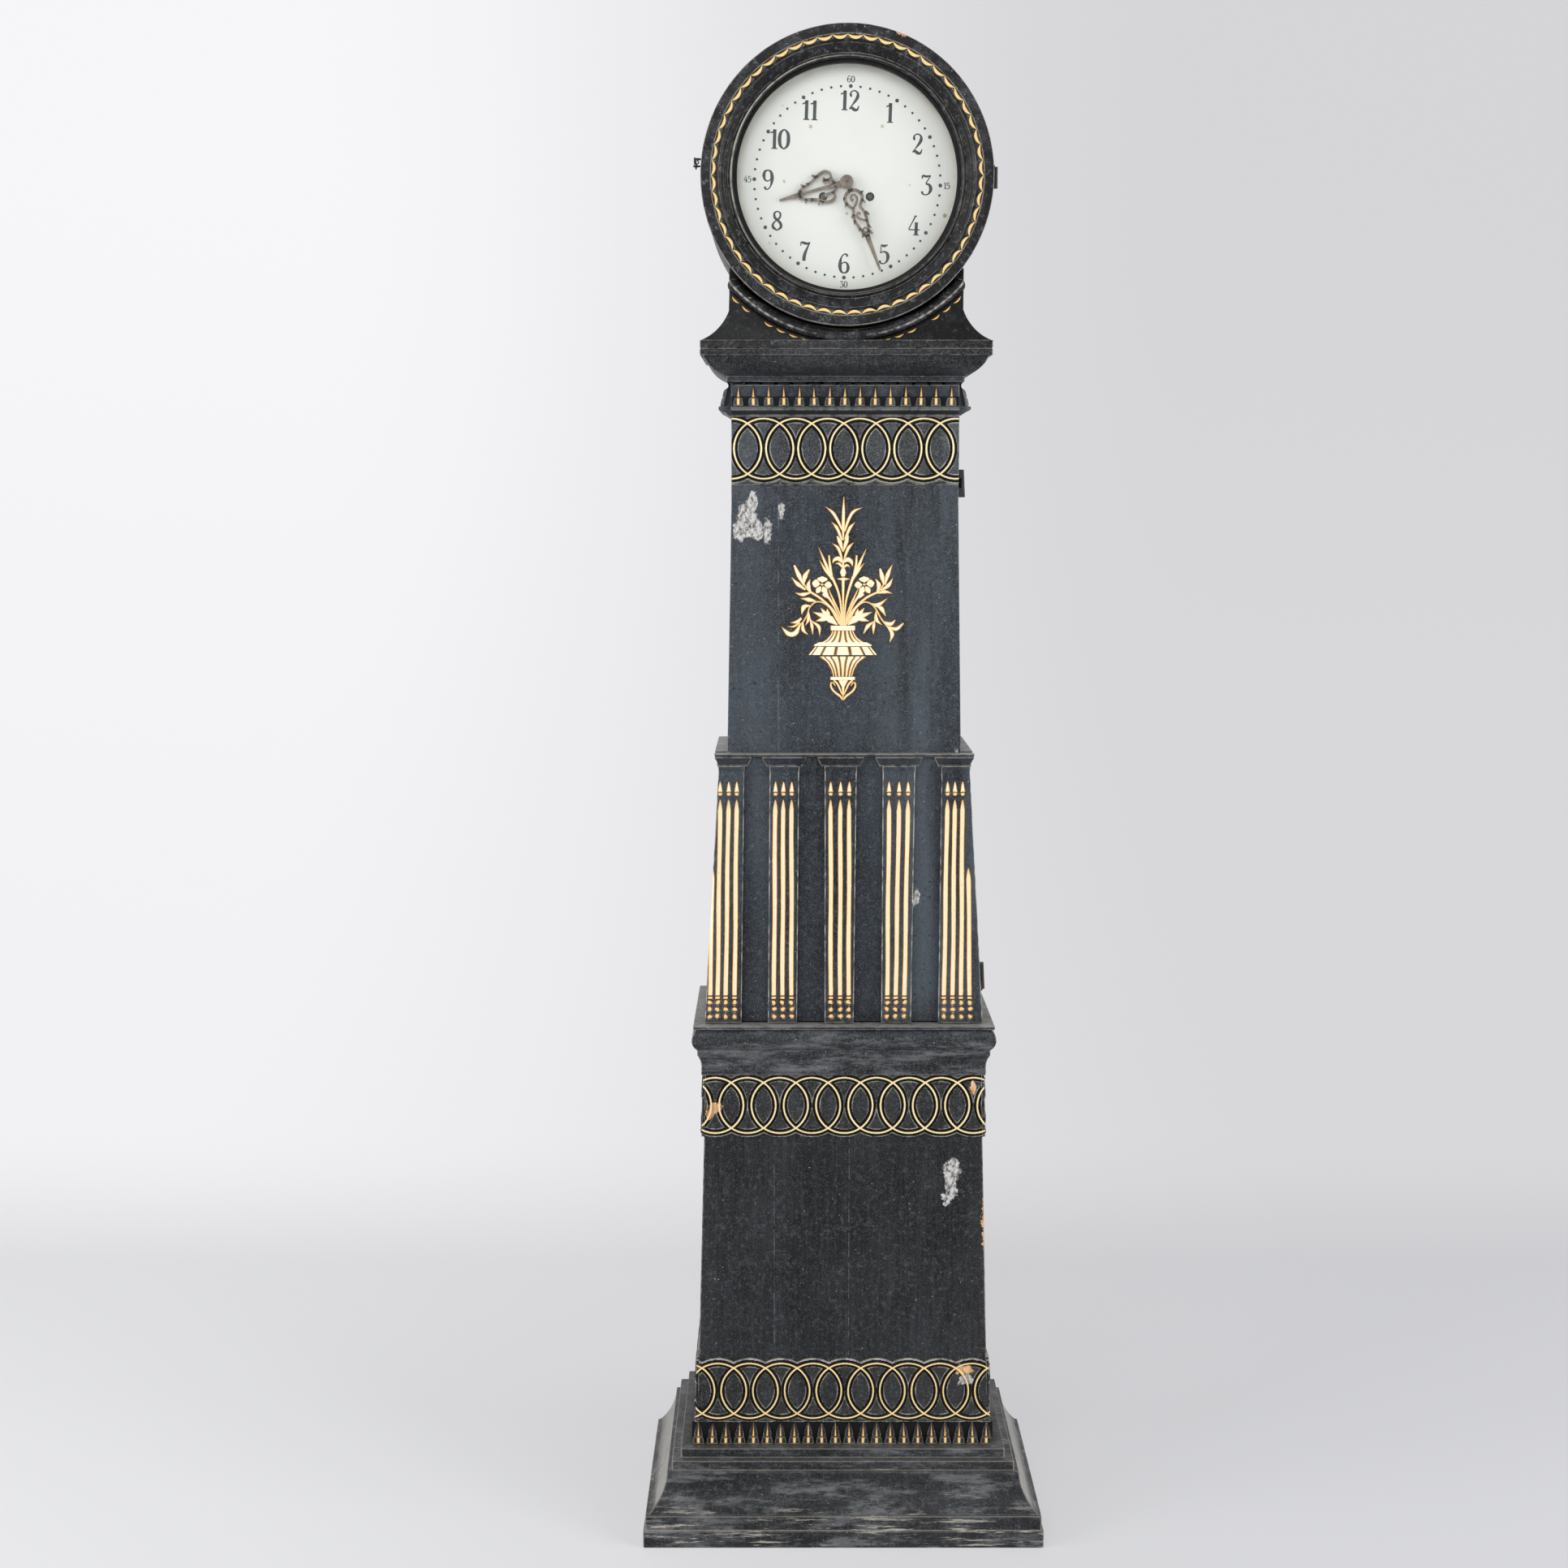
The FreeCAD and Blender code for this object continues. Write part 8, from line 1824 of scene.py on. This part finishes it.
    def build(self) -> None:
        """Makes the ring and its scallops."""
        add_piece(self.ring(), "bezel_turned", "bezel", "black_wood", self.shop.finishes.paint,
                  nodes=("bezel_ring",))
        turns = [(0.0, 2 * math.pi * (k + 0.5) / self.scallops, 0.0) for k in range(self.scallops)]
        places = [(0.0, 0.0, HEAD_Z)] * self.scallops
        row = self.shop.growth.repeat("bezel_scallops", self.scallop(), places, turns, None,
                                      self.shop.finishes.paint, 11)
        add_piece(row, "bezel_scallops", "bezel", "gilded_wood", self.shop.finishes.paint)
        wire = Stroke(((-194.6, 1926.1), (-198.2, 1926.9), (-201.8, 1926.6), (-204.0, 1923.8),
                       (-203.2, 1920.8), (-200.4, 1920.0), (-198.4, 1921.8), (-199.2, 1924.0),
                       (-201.2, 1923.8)),
                      (1.8, 1.8, 1.8, 1.8, 1.7, 1.6, 1.5, 1.3))
        tail = Stroke(((-203.0, 1921.0), (-204.3, 1919.8), (-204.5, 1918.9)), (1.6, 1.3, 1.0))
        curl = ribbon("hook_curl", (wire, tail), lambda u, v, w: (u, -80.0 - w, v), 0.9, -0.9)
        add_piece(curl, "hook_curl", "hook", "iron", self.shop.finishes.iron)


@dataclass
class Cradle:
    """Half-round moulding that carries the head, and the gilded scallops under it."""

    shop: Workshop
    middle: float = 207.0
    half: float = 9.3
    front: float = -67.0
    proud: float = 12.0
    reach: float = math.radians(130.5)

    def build(self) -> None:
        """Makes the moulding and both rows of scallops."""
        steps, around = 620, 21
        angle = np.linspace(self.reach, 2 * math.pi - self.reach, steps)
        share = np.linspace(-1, 1, around)
        u, s = np.meshgrid(angle, share)
        run = np.minimum(angle - angle[0], angle[-1] - angle) * self.middle
        end = np.sqrt(np.clip(1 - np.clip(1 - run / 9.0, 0, 1) ** 2, 0.02, 1))[None, :]
        v = self.middle + s * self.half * end
        w = self.proud * np.sqrt(np.clip(1 - s ** 2, 0, 1)) * (0.35 + 0.65 * end)
        rope = 0.3 * np.sin(u * self.middle * 1.5 + s * 2.4) * smooth((np.sin(u * 3.0 + 1.0) - 0.55) / 0.3)
        w = w + rope * np.sqrt(np.clip(1 - s ** 2, 0, 1))
        # Painted highlight: a pale line along the moulding a little outside its crest, faded at the bottom;
        # painted shade darkens both edges.
        worn = ((0.72 + 0.28 * np.sin(u * 21.0 + 3 * np.sin(u * 47.0)))
                * (1 - 0.85 * np.exp(-((u - math.pi) / 0.3) ** 2)))
        rub = 0.8 * np.exp(-((s - 0.30) / 0.16) ** 2) * worn - smooth((np.abs(s) - 0.72) / 0.2)
        mesh = carved("cradle_rounded", u, v, w, head_lay(self.front), -0.5, None, 60.0, rub)
        add_piece(mesh, "cradle_rounded", "case", "black_wood", self.shop.finishes.paint,
                  nodes=("cradle_moulding",))
        share, across = np.meshgrid(np.linspace(-0.94, 0.94, 13), np.linspace(0, 1, 4))
        outer = 222.0 - 2.6 * np.abs(share) ** 2
        inner = outer - 2.3 * (1 - np.abs(share) ** 1.8) - 0.2
        radius = inner + (outer - inner) * across
        place = (lambda a, b, c: (b * np.sin(a), self.front - c, -b * np.cos(a)))
        unit = carved("neck_scallop", share * math.radians(1.8), radius, 1.6 - across * 1.0, place, -0.4,
                      0.2 + across * 1.1)
        turns = []
        for k in range(7):
            for sign in (-1, 1):
                if (k, sign) not in ((3, -1), (4, 1)):
                    turns.append((0.0, sign * math.radians(14.2 + 4.8 * k), 0.0))
        row = self.shop.growth.repeat("neck_scallops", unit, [(0.0, 0.0, HEAD_Z)] * len(turns), turns, None,
                                      self.shop.finishes.paint, 3)
        add_piece(row, "neck_scallops", "case", "gilded_wood", self.shop.finishes.paint)


DIGITS: dict[str, tuple[Stroke, ...]] = {
    "0": (Stroke(((0.31, 1.0), (0.13, 0.82), (0.08, 0.5), (0.13, 0.18), (0.31, 0.0)),
                 (0.05, 0.15, 0.18, 0.15, 0.05)),
          Stroke(((0.31, 1.0), (0.49, 0.82), (0.54, 0.5), (0.49, 0.18), (0.31, 0.0)),
                 (0.05, 0.15, 0.18, 0.15, 0.05))),
    "1": (Stroke(((0.24, 0.03), (0.24, 0.98)), (0.16, 0.16)),
          Stroke(((0.24, 0.95), (0.14, 0.84), (0.02, 0.80)), (0.10, 0.05, 0.07)),
          Stroke(((0.08, 0.02), (0.40, 0.02)), (0.045, 0.045))),
    "2": (Stroke(((0.10, 0.74), (0.13, 0.90), (0.30, 0.99), (0.47, 0.87), (0.46, 0.64), (0.28, 0.36),
                  (0.07, 0.08)),
                 (0.10, 0.05, 0.07, 0.16, 0.12, 0.05, 0.04)),
          Stroke(((0.06, 0.07), (0.18, 0.13), (0.34, 0.03), (0.48, 0.05), (0.55, 0.24)),
                 (0.05, 0.14, 0.15, 0.08, 0.03)),
          Stroke(((0.08, 0.74), (0.18, 0.74)), (0.13, 0.13))),
    "3": (Stroke(((0.06, 0.80), (0.10, 0.96), (0.28, 0.93), (0.50, 0.98)), (0.04, 0.10, 0.11, 0.04)),
          Stroke(((0.50, 0.98), (0.26, 0.56)), (0.05, 0.05)),
          Stroke(((0.26, 0.56), (0.46, 0.50), (0.53, 0.28), (0.42, 0.06), (0.24, 0.01), (0.10, 0.08),
                  (0.10, 0.18)),
                 (0.05, 0.12, 0.17, 0.13, 0.05, 0.06, 0.12))),
    "4": (Stroke(((0.36, 0.99), (0.20, 0.66), (0.02, 0.30)), (0.07, 0.05, 0.05)),
          Stroke(((0.02, 0.28), (0.60, 0.28)), (0.05, 0.05)),
          Stroke(((0.41, 0.66), (0.41, 0.04)), (0.15, 0.16)),
          Stroke(((0.26, 0.02), (0.56, 0.02)), (0.045, 0.045)),
          Stroke(((0.30, 0.97), (0.44, 0.97)), (0.07, 0.03))),
    "5": (Stroke(((0.14, 0.96), (0.28, 0.91), (0.48, 0.97)), (0.08, 0.13, 0.03)),
          Stroke(((0.14, 0.97), (0.11, 0.54)), (0.04, 0.04)),
          Stroke(((0.11, 0.55), (0.28, 0.63), (0.47, 0.52), (0.50, 0.28), (0.40, 0.07), (0.24, 0.01),
                  (0.11, 0.07),
                  (0.10, 0.17)), (0.04, 0.06, 0.13, 0.17, 0.12, 0.05, 0.06, 0.12))),
    "6": (Stroke(((0.45, 0.86), (0.40, 0.97), (0.27, 0.97), (0.13, 0.78), (0.08, 0.42), (0.14, 0.12),
                  (0.30, 0.01)),
                 (0.12, 0.05, 0.06, 0.14, 0.18, 0.13, 0.05)),
          Stroke(((0.30, 0.01), (0.46, 0.10), (0.51, 0.30), (0.45, 0.50), (0.30, 0.57), (0.13, 0.46)),
                 (0.05, 0.12, 0.16, 0.10, 0.05, 0.04))),
    "7": (Stroke(((0.06, 0.78), (0.09, 0.96), (0.25, 0.92), (0.42, 0.90), (0.54, 0.98)),
                 (0.04, 0.06, 0.14, 0.11, 0.03)),
          Stroke(((0.54, 0.98), (0.38, 0.62), (0.27, 0.30), (0.25, 0.02)), (0.04, 0.09, 0.16, 0.17))),
    "8": (Stroke(((0.30, 0.99), (0.15, 0.88), (0.17, 0.66), (0.31, 0.54), (0.47, 0.38), (0.50, 0.18),
                  (0.31, 0.01)),
                 (0.05, 0.10, 0.13, 0.12, 0.14, 0.12, 0.05)),
          Stroke(((0.30, 0.99), (0.45, 0.88), (0.43, 0.66), (0.29, 0.54), (0.12, 0.38), (0.09, 0.18),
                  (0.31, 0.01)),
                 (0.05, 0.09, 0.09, 0.05, 0.10, 0.14, 0.05))),
    "9": (Stroke(((0.15, 0.14), (0.20, 0.03), (0.33, 0.03), (0.47, 0.22), (0.52, 0.58), (0.46, 0.88),
                  (0.30, 0.99)),
                 (0.12, 0.05, 0.06, 0.14, 0.18, 0.13, 0.05)),
          Stroke(((0.30, 0.99), (0.14, 0.90), (0.09, 0.70), (0.15, 0.50), (0.30, 0.43), (0.47, 0.54)),
                 (0.05, 0.12, 0.16, 0.10, 0.05, 0.04))),
}
ADVANCE = {"1": 0.42, "4": 0.62}


@dataclass
class Dial:
    """Printed hours, quarter figures and minute dots on the painted plate."""

    shop: Workshop
    front: float = -55.0
    centre: tuple[float, float] = (1.0, 1899.8)
    hour_radius: float = 107.0
    hour_height: float = 26.0
    dot_radius: float = 125.5

    def spot(self, degrees: float, radius: float) -> tuple[float, float]:
        """Place on the dial at an angle clockwise from its own twelve."""
        angle = math.radians(degrees) + PRINT_TURN
        return self.centre[0] + radius * math.sin(angle), self.centre[1] + radius * math.cos(angle)

    def figure(self, text: str, x: float, z: float, height: float) -> list[Stroke]:
        """Strokes of a number centred on a place."""
        wide = sum(ADVANCE.get(digit, 0.62) for digit in text)
        pen, found = -wide / 2, []
        turn_x, turn_z = math.cos(PRINT_TURN), math.sin(PRINT_TURN)
        for digit in text:
            for stroke in DIGITS[digit]:
                places = []
                for px, pz in stroke.points:
                    a, b = (pen + px) * height, (pz - 0.5) * height
                    places.append((x + a * turn_x + b * turn_z, z - a * turn_z + b * turn_x))
                found.append(Stroke(tuple(places),
                                    tuple(max((w + 0.012) * height, 0.85) for w in stroke.widths)))
            pen += ADVANCE.get(digit, 0.62)
        return found

    def build(self) -> None:
        """Prints the dial."""
        def lay(u: Array, v: Array, w: Array) -> tuple[Array, Array, Array]:
            """Place in front of the plate."""
            return u, self.front - w, v

        strokes = []
        for hour in range(1, 13):
            x, z = self.spot(hour * 30.0, self.hour_radius)
            strokes += self.figure(str(hour), x, z, self.hour_height)
        for text, degrees in (("60", 0), ("15", 90), ("30", 180), ("45", 270)):
            x, z = self.spot(degrees, 134.5)
            strokes += self.figure(text, x, z, 8.4)
        mesh = ribbon("dial_numbers", strokes, lay, 0.06, 0.0, 5, False)
        add_piece(mesh, "dial_numbers", "case", "dial_paint", self.shop.finishes.ink)
        disc, places, sizes = self.disc(), [], []
        for minute in range(60):
            x, z = self.spot(minute * 6.0, self.dot_radius)
            big = minute % 5 == 0
            places.append((x, self.front, z))
            sizes.append((2.6 if big else 1.7, 1.0, 2.6 if big else 1.7))
        dots = self.shop.growth.repeat("minute_dots", disc, places, None, sizes, self.shop.finishes.ink, 2)
        add_piece(dots, "minute_dots", "case", "dial_paint", self.shop.finishes.ink)

    @staticmethod
    def disc() -> bpy.types.Mesh:
        """A printed dot of 1 mm radius."""
        turns = np.linspace(0, 2 * math.pi, 14, endpoint=False)
        ring = np.stack([np.cos(turns), np.zeros(14), np.sin(turns)], -1)
        points = np.vstack([ring - (0, 0.07, 0), ring])
        faces = [tuple(range(14)), tuple(range(27, 13, -1))]
        faces += [(k, (k + 1) % 14, 14 + (k + 1) % 14, 14 + k) for k in range(14)]
        return make_mesh("dot", points, faces)


HOUR_STROKES = (
    Stroke(((0, 6), (0, 13), (0.4, 40), (0, 68)), (5.5, 3.0, 2.4, 3.0)),
    Stroke(((6.6, 30.5), (9.6, 26.6), (7.0, 21.6), (2.0, 17.5)), (3.4, 2.0, 2.2, 3.0)),
    Stroke(((2, 15), (7.0, 18.0), (11.0, 18.6)), (3.0, 2.4, 2.0)),
    Stroke(((12.6, 30.4), (9.0, 26.0), (11.0, 19.6), (17.0, 19.4), (20.6, 25.4), (18.6, 33.6), (14.4, 41.0),
            (9.8, 51.0), (7.4, 59.0), (3.6, 66.0)), (3.2, 2.0, 2.2, 2.6, 2.8, 2.6, 2.4, 2.4, 2.4, 2.8)),
    Stroke(((-2, 15), (-6.5, 18.0), (-9.0, 23.0)), (3.0, 2.4, 2.2)),
    Stroke(((-10.6, 33.6), (-8.6, 28.0), (-9.0, 21.4), (-14.6, 20.2), (-19.0, 26.6), (-18.0, 34.6),
            (-14.0, 41.0), (-10.4, 50.0), (-8.0, 58.6), (-3.4, 67.4)),
           (3.2, 2.0, 2.2, 2.6, 2.8, 2.6, 2.4, 2.4, 2.4, 2.8)),
    Stroke(((16.6, 35.6), (18.0, 40.6)), (2.6, 0.8)),
    Stroke(((10.4, 49.6), (12.2, 54.2)), (2.6, 0.8)),
    Stroke(((-16.6, 36.4), (-20.2, 39.6)), (2.6, 0.8)),
    Stroke(((-10.4, 50.0), (-13.2, 54.0)), (2.6, 0.8)),
    Stroke(((5.0, 62.0), (0.0, 66.0), (-4.6, 63.6)), (1.8, 2.6, 1.8)),
    Stroke(((16.0, 38.0), (20.4, 43.4)), (3.4, 1.2)),
    Stroke(((-15.4, 39.0), (-19.2, 45.2)), (3.4, 1.2)),
    Stroke(((8.0, 57.0), (12.4, 60.6)), (3.2, 1.2)),
    Stroke(((-8.0, 58.0), (-12.6, 61.0)), (3.2, 1.2)),
    Stroke(((0, 64), (0, 71), (0, 82), (0, 93.8)), (5.4, 3.8, 2.6, 1.8)),
)
MINUTE_STROKES = (
    Stroke(((0, 5), (0, 10), (0.3, 15)), (6.5, 4.2, 4.6)),
    Stroke(((0.4, 12.5), (-7, 16), (-11.3, 22), (-9.4, 30), (-5.6, 38), (-7.4, 47), (-8.4, 54), (-6, 63),
            (-3.5, 71), (-0.5, 78)), (3.2, 2.8, 2.8, 2.6, 2.4, 2.4, 2.4, 2.4, 3.0)),
    Stroke(((0.4, 12.5), (8, 16), (12.3, 24), (9.5, 31), (5, 37), (7.4, 45), (7.5, 54), (6.2, 62), (4.6, 70),
            (0.5, 78)), (3.2, 2.8, 2.8, 2.6, 2.4, 2.4, 2.4, 2.4, 3.0)),
    Stroke(((-5.4, 37), (1, 32), (4.6, 26.4), (3.4, 20.6), (-1, 20.2), (-3, 24), (-0.8, 26.8)),
           (2.2, 2.2, 2.0, 1.8, 1.8, 2.8)),
    Stroke(((7.2, 58), (3, 55.6), (-2.2, 51.4), (-3.4, 46.4), (-0.6, 44), (1.6, 47)),
           (2.0, 2.0, 1.8, 1.8, 2.6)),
    Stroke(((-3.6, 69), (0.4, 65.6), (3.6, 69.4), (0.6, 72.6), (-1.4, 69.8)), (1.8, 1.8, 1.8, 1.6)),
    Stroke(((10, 29), (13.4, 35.4)), (2.6, 0.8)),
    Stroke(((-8.4, 52), (-11.4, 56.6)), (2.6, 0.8)),
    Stroke(((6.0, 64), (9.4, 69)), (2.4, 0.8)),
    Stroke(((-10.4, 19), (-13.4, 21.6)), (2.2, 0.8)),
    Stroke(((-5.6, 64), (-8.6, 67.4)), (2.2, 0.8)),
    Stroke(((-10.0, 27), (-14.4, 30.6)), (3.2, 1.2)),
    Stroke(((11.6, 21), (16.0, 19.6)), (3.2, 1.2)),
    Stroke(((8.6, 46), (12.6, 51.6)), (3.4, 1.2)),
    Stroke(((-7.0, 44), (-11.4, 47.6)), (3.2, 1.2)),
    Stroke(((4.6, 71), (8.0, 76.6)), (3.0, 1.2)),
    Stroke(((-3.4, 72), (-7.0, 77.0)), (3.0, 1.2)),
    Stroke(((0, 75), (0, 84), (0, 100), (0, 124.7)), (4.8, 3.6, 2.6, 1.7)),
)


@dataclass
class Hands:
    """Pierced scroll hands of dull metal, with their bosses."""

    shop: Workshop

    def hand(self, name: str, strokes: Sequence[Stroke], degrees: float, y: float, boss: float,
             hole: float, body: str, mirrored: int) -> None:
        """One hand at its place on the dial."""
        turn = math.radians(degrees)
        across, along = (math.cos(turn), -math.sin(turn)), (math.sin(turn), math.cos(turn))

        def lay(u: Array, v: Array, w: Array) -> tuple[Array, Array, Array]:
            """Place of a point of the flat hand."""
            side = mirrored * u
            return (side * across[0] + v * along[0], y - w,
                    ARBOR_Z + side * across[1] + v * along[1])

        bold = [Stroke(s.points, tuple(1.4 * w + 0.45 if w > 1 else w for w in s.widths)) for s in strokes]
        mesh = ribbon(name, bold, lay, 1.25, 0.0, 6, False)
        angle, radii = np.linspace(0, 2 * math.pi, 40, endpoint=False), [hole, hole, boss - 0.6, boss, boss]
        lift = [0.0, 1.5, 1.5, 1.1, 0.0]
        u, v = np.meshgrid(angle, radii)
        w = np.repeat(np.array(lift)[:, None], 40, 1)
        disc = carved(name + "_boss", u, v, w,
                      lambda a, b, c: (b * np.sin(a), y - c, ARBOR_Z + b * np.cos(a)), None, None, 30.0)
        add_piece(joined([mesh, disc], name), name, body, "steel", self.shop.finishes.hand,
                  nodes=(name.replace("_scroll", ""),))

    def build(self) -> None:
        """Makes both hands."""
        self.hand("hour_hand_scroll", HOUR_STROKES, 254.8, -60.0 + 1.2, 9.0, 4.1, "hour_wheel", 1)
        self.hand("minute_hand_scroll", MINUTE_STROKES, 158.6, -64.5 + 1.2, 8.6, 2.1, "centre_arbor", -1)


@dataclass
class GutLines:
    """The two gut lines, which stretch from their barrels down to their weights."""

    shop: Workshop
    rings: int = 60
    sides: int = 10

    def build(self) -> None:
        """Makes both lines."""
        self.line("time_line", "time_weight")
        self.line("strike_line", "strike_weight")

    def line(self, node: str, weight: str) -> None:
        """One line, reaching from the top to the foot of its CAD node, in the frame's place and on no body.

        Args:
            node: The CAD node that gives its place and thickness.
            weight: The body of the weight.
        """
        corners = [corner.co for corner in self.shop.frame["nodes"][node].data.vertices]
        low = Vector(min(corner[axis] for corner in corners) for axis in range(3))
        high = Vector(max(corner[axis] for corner in corners) for axis in range(3))
        middle, radius = (low + high) / 2, (high.x - low.x) / 2
        work = bmesh.new()
        loops = []
        for ring in range(self.rings + 1):
            level = high.z + (low.z - high.z) * ring / self.rings
            turns = [math.tau * side / self.sides for side in range(self.sides)]
            loops.append([work.verts.new((middle.x + radius * math.cos(turn),
                                          middle.y + radius * math.sin(turn),
                                          level)) for turn in turns])
        for upper, lower in zip(loops, loops[1:]):
            for side in range(self.sides):
                after = (side + 1) % self.sides
                work.faces.new((upper[side], lower[side], lower[after], upper[after]))
        work.faces.new(loops[0])
        work.faces.new(loops[-1][::-1])
        bmesh.ops.recalc_face_normals(work, faces=work.faces)
        mesh = bpy.data.meshes.new("gut_" + node)
        work.to_mesh(mesh)
        work.free()
        mesh.shade_smooth()
        mesh.set_sharp_from_angle(angle=math.radians(50.0))
        piece = bpy.data.objects.new("gut_" + node, mesh)
        bpy.context.scene.collection.objects.link(piece)
        mesh.materials.append(self.shop.finishes.gut)
        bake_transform(piece)
        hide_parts(node)
        LOG.info("%s: %d faces between case and %s", piece.name, len(mesh.polygons), weight)


@dataclass
class Studio:
    """Camera, lamps, pale floor and backdrop."""

    pitch: float = 7.813

    def build(self) -> None:
        """Sets up the studio."""
        scene = bpy.context.scene
        scene.view_settings.view_transform = "Standard"
        camera = bpy.data.cameras.new("camera")
        camera.lens, camera.sensor_width = 48.45, 36.0
        eye = bpy.data.objects.new("camera", camera)
        eye.location = (-0.0844, -2.9844, 1.4829)
        eye.rotation_euler = (math.radians(90 - self.pitch), 0, 0)
        scene.collection.objects.link(eye)
        scene.camera = eye
        self.lamp("left", (-3.1, -1.5, 1.8), 2.4, 68.0)
        self.lamp("right", (3.1, -1.5, 1.8), 2.4, 82.0)
        self.lamp("front", (-0.9, -3.6, 3.2), 2.2, 52.0)
        self.world()
        self.backdrop()

    @staticmethod
    def lamp(name: str, place: tuple[float, float, float], size: float, power: float) -> None:
        """A square soft lamp aimed at the clock's middle."""
        light = bpy.data.lights.new(name, "AREA")
        light.shape, light.size, light.energy = "SQUARE", size, power
        holder = bpy.data.objects.new(name, light)
        holder.location = place
        holder.rotation_euler = (Vector((0, 0, 1.0)) - Vector(place)).to_track_quat("-Z", "Y").to_euler()
        bpy.context.scene.collection.objects.link(holder)

    @staticmethod
    def world() -> None:
        """Even pale surroundings."""
        world = bpy.data.worlds.new("studio")
        bpy.context.scene.world = world
        world.use_nodes = True
        back = world.node_tree.nodes["Background"]
        back.inputs["Color"].default_value = linear(236, 238, 242)
        back.inputs["Strength"].default_value = 0.5

    @staticmethod
    def backdrop() -> None:
        """Paper sweep: floor, curve and wall in one."""
        depth = [-6.0, -4.0, -2.0, 0.0, 1.6]
        rise = [0.0] * 5
        for k in range(1, 13):
            turn = math.pi / 2 * k / 12
            depth.append(1.6 + 2.2 * math.sin(turn))
            rise.append(2.2 * (1 - math.cos(turn)))
        depth.append(3.8)
        rise.append(9.0)
        points, faces = [], []
        for y, z in zip(depth, rise):
            points += [(-24.0, y, z), (24.0, y, z)]
        for k in range(len(depth) - 1):
            faces.append((2 * k, 2 * k + 1, 2 * k + 3, 2 * k + 2))
        mesh = bpy.data.meshes.new("paper_sweep")
        mesh.from_pydata(points, [], faces)
        mesh.shade_smooth()
        sweep = bpy.data.objects.new("paper_sweep", mesh)
        bpy.context.scene.collection.objects.link(sweep)
        mesh.materials.append(Studio.paper())

    @staticmethod
    def paper() -> bpy.types.Material:
        """Pale paper, darker to the right and towards the floor, that glows for the camera."""
        brush = Brush("studio_paper")
        x, y, z = brush.axes(brush.place)
        side = brush.ramp(x, 1.2, -1.6)
        low = brush.ramp(z, 2.6, -0.2)
        tone = brush.mix(side, linear(214, 214, 217), linear(248, 248, 250))
        tone = brush.mix(brush.math("MULTIPLY", low, 0.25), tone, linear(226, 226, 227))
        made = brush.finish(brush.mix(side, linear(212, 212, 215), linear(222, 222, 224)), 0.9)
        glow = brush.node("ShaderNodeEmission")
        brush.feed(glow.inputs["Color"], tone)
        path = brush.node("ShaderNodeLightPath").outputs
        seen = brush.math("MAXIMUM", path["Is Camera Ray"], path["Is Transmission Ray"])
        seen = brush.math("MAXIMUM", seen, path["Is Glossy Ray"])
        far = brush.ramp(y, 0.1, 1.8, 0.97)
        blend = brush.node("ShaderNodeMixShader")
        brush.feed(blend.inputs[0], brush.math("MULTIPLY", seen, brush.math("MAXIMUM", far, 0.5)))
        brush.feed(blend.inputs[1], brush.shader.outputs[0])
        brush.feed(blend.inputs[2], glow.outputs[0])
        output = brush.tree.nodes["Material Output"]
        brush.feed(output.inputs["Surface"], blend.outputs[0])
        return made


def dress_frame(shop: Workshop) -> None:
    """Gives every CAD node that stays its finish."""
    slots = {part["node"]: part["material_slot"] for part in shop.frame["record"]["subparts"]}
    for name, node in shop.frame["nodes"].items():
        node.data.materials.clear()
        node.data.materials.append(shop.finishes.by_slot[slots[name]])


def main() -> None:
    """Builds the clock's looks in order."""
    logging.basicConfig(level=logging.INFO, format="%(name)s %(message)s")
    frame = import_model()
    shop = Workshop(frame, Finishes(), Growth())
    Studio().build()
    dress_frame(shop)
    CaseBoards(shop).build()
    RingBand("base_band", "base_ring_band", "case", BASE, z_low=156.0, z_high=251.6, centre_z=202.9,
             radius=40.9, first=-225.4, pitch=45.7, count=11, thick=4.0, scallop_below=False, seed=3,
             line=2.2).build(shop)
    RingBand("waist_band", "waist_ring_band", "case", BASE, z_low=577.0, z_high=668.0, centre_z=623.7,
             radius=40.1, first=-227.9, pitch=45.8, count=11, thick=4.0, scallop_below=True,
             seed=4).build(shop)
    RingBand("door_band", "door_ring_band", "trunk_door", DOOR_HEAD, z_low=1495.5, z_high=1588.0,
             centre_z=1545.3, radius=40.9, first=-156.7, pitch=44.2, count=8, thick=5.0,
             scallop_below=True, seed=5, returns=False, chalk=0.13).build(shop)
    pitch = 19.8
    DartRow("base_darts", "case", BASE, foot=124.5, height=31.6, pitch=pitch,
            places=tuple(-208.0 + pitch * k for k in range(22)), half_width=9.2, block=10.0, thick=6.8,
            seed=7, returns=True, spike_half=7.4, gold_half=2.3, neck_in=1.6, ogive=2.1).build(shop)
    DoorPilasters(shop).build()
    SideTrim(shop).build()
    Frieze(shop).build()
    Vase(shop).build()
    Bezel(shop).build()
    Cradle(shop).build()
    Dial(shop).build()
    Hands(shop).build()
    GutLines(shop).build()


if __name__ == "__main__":
    main()
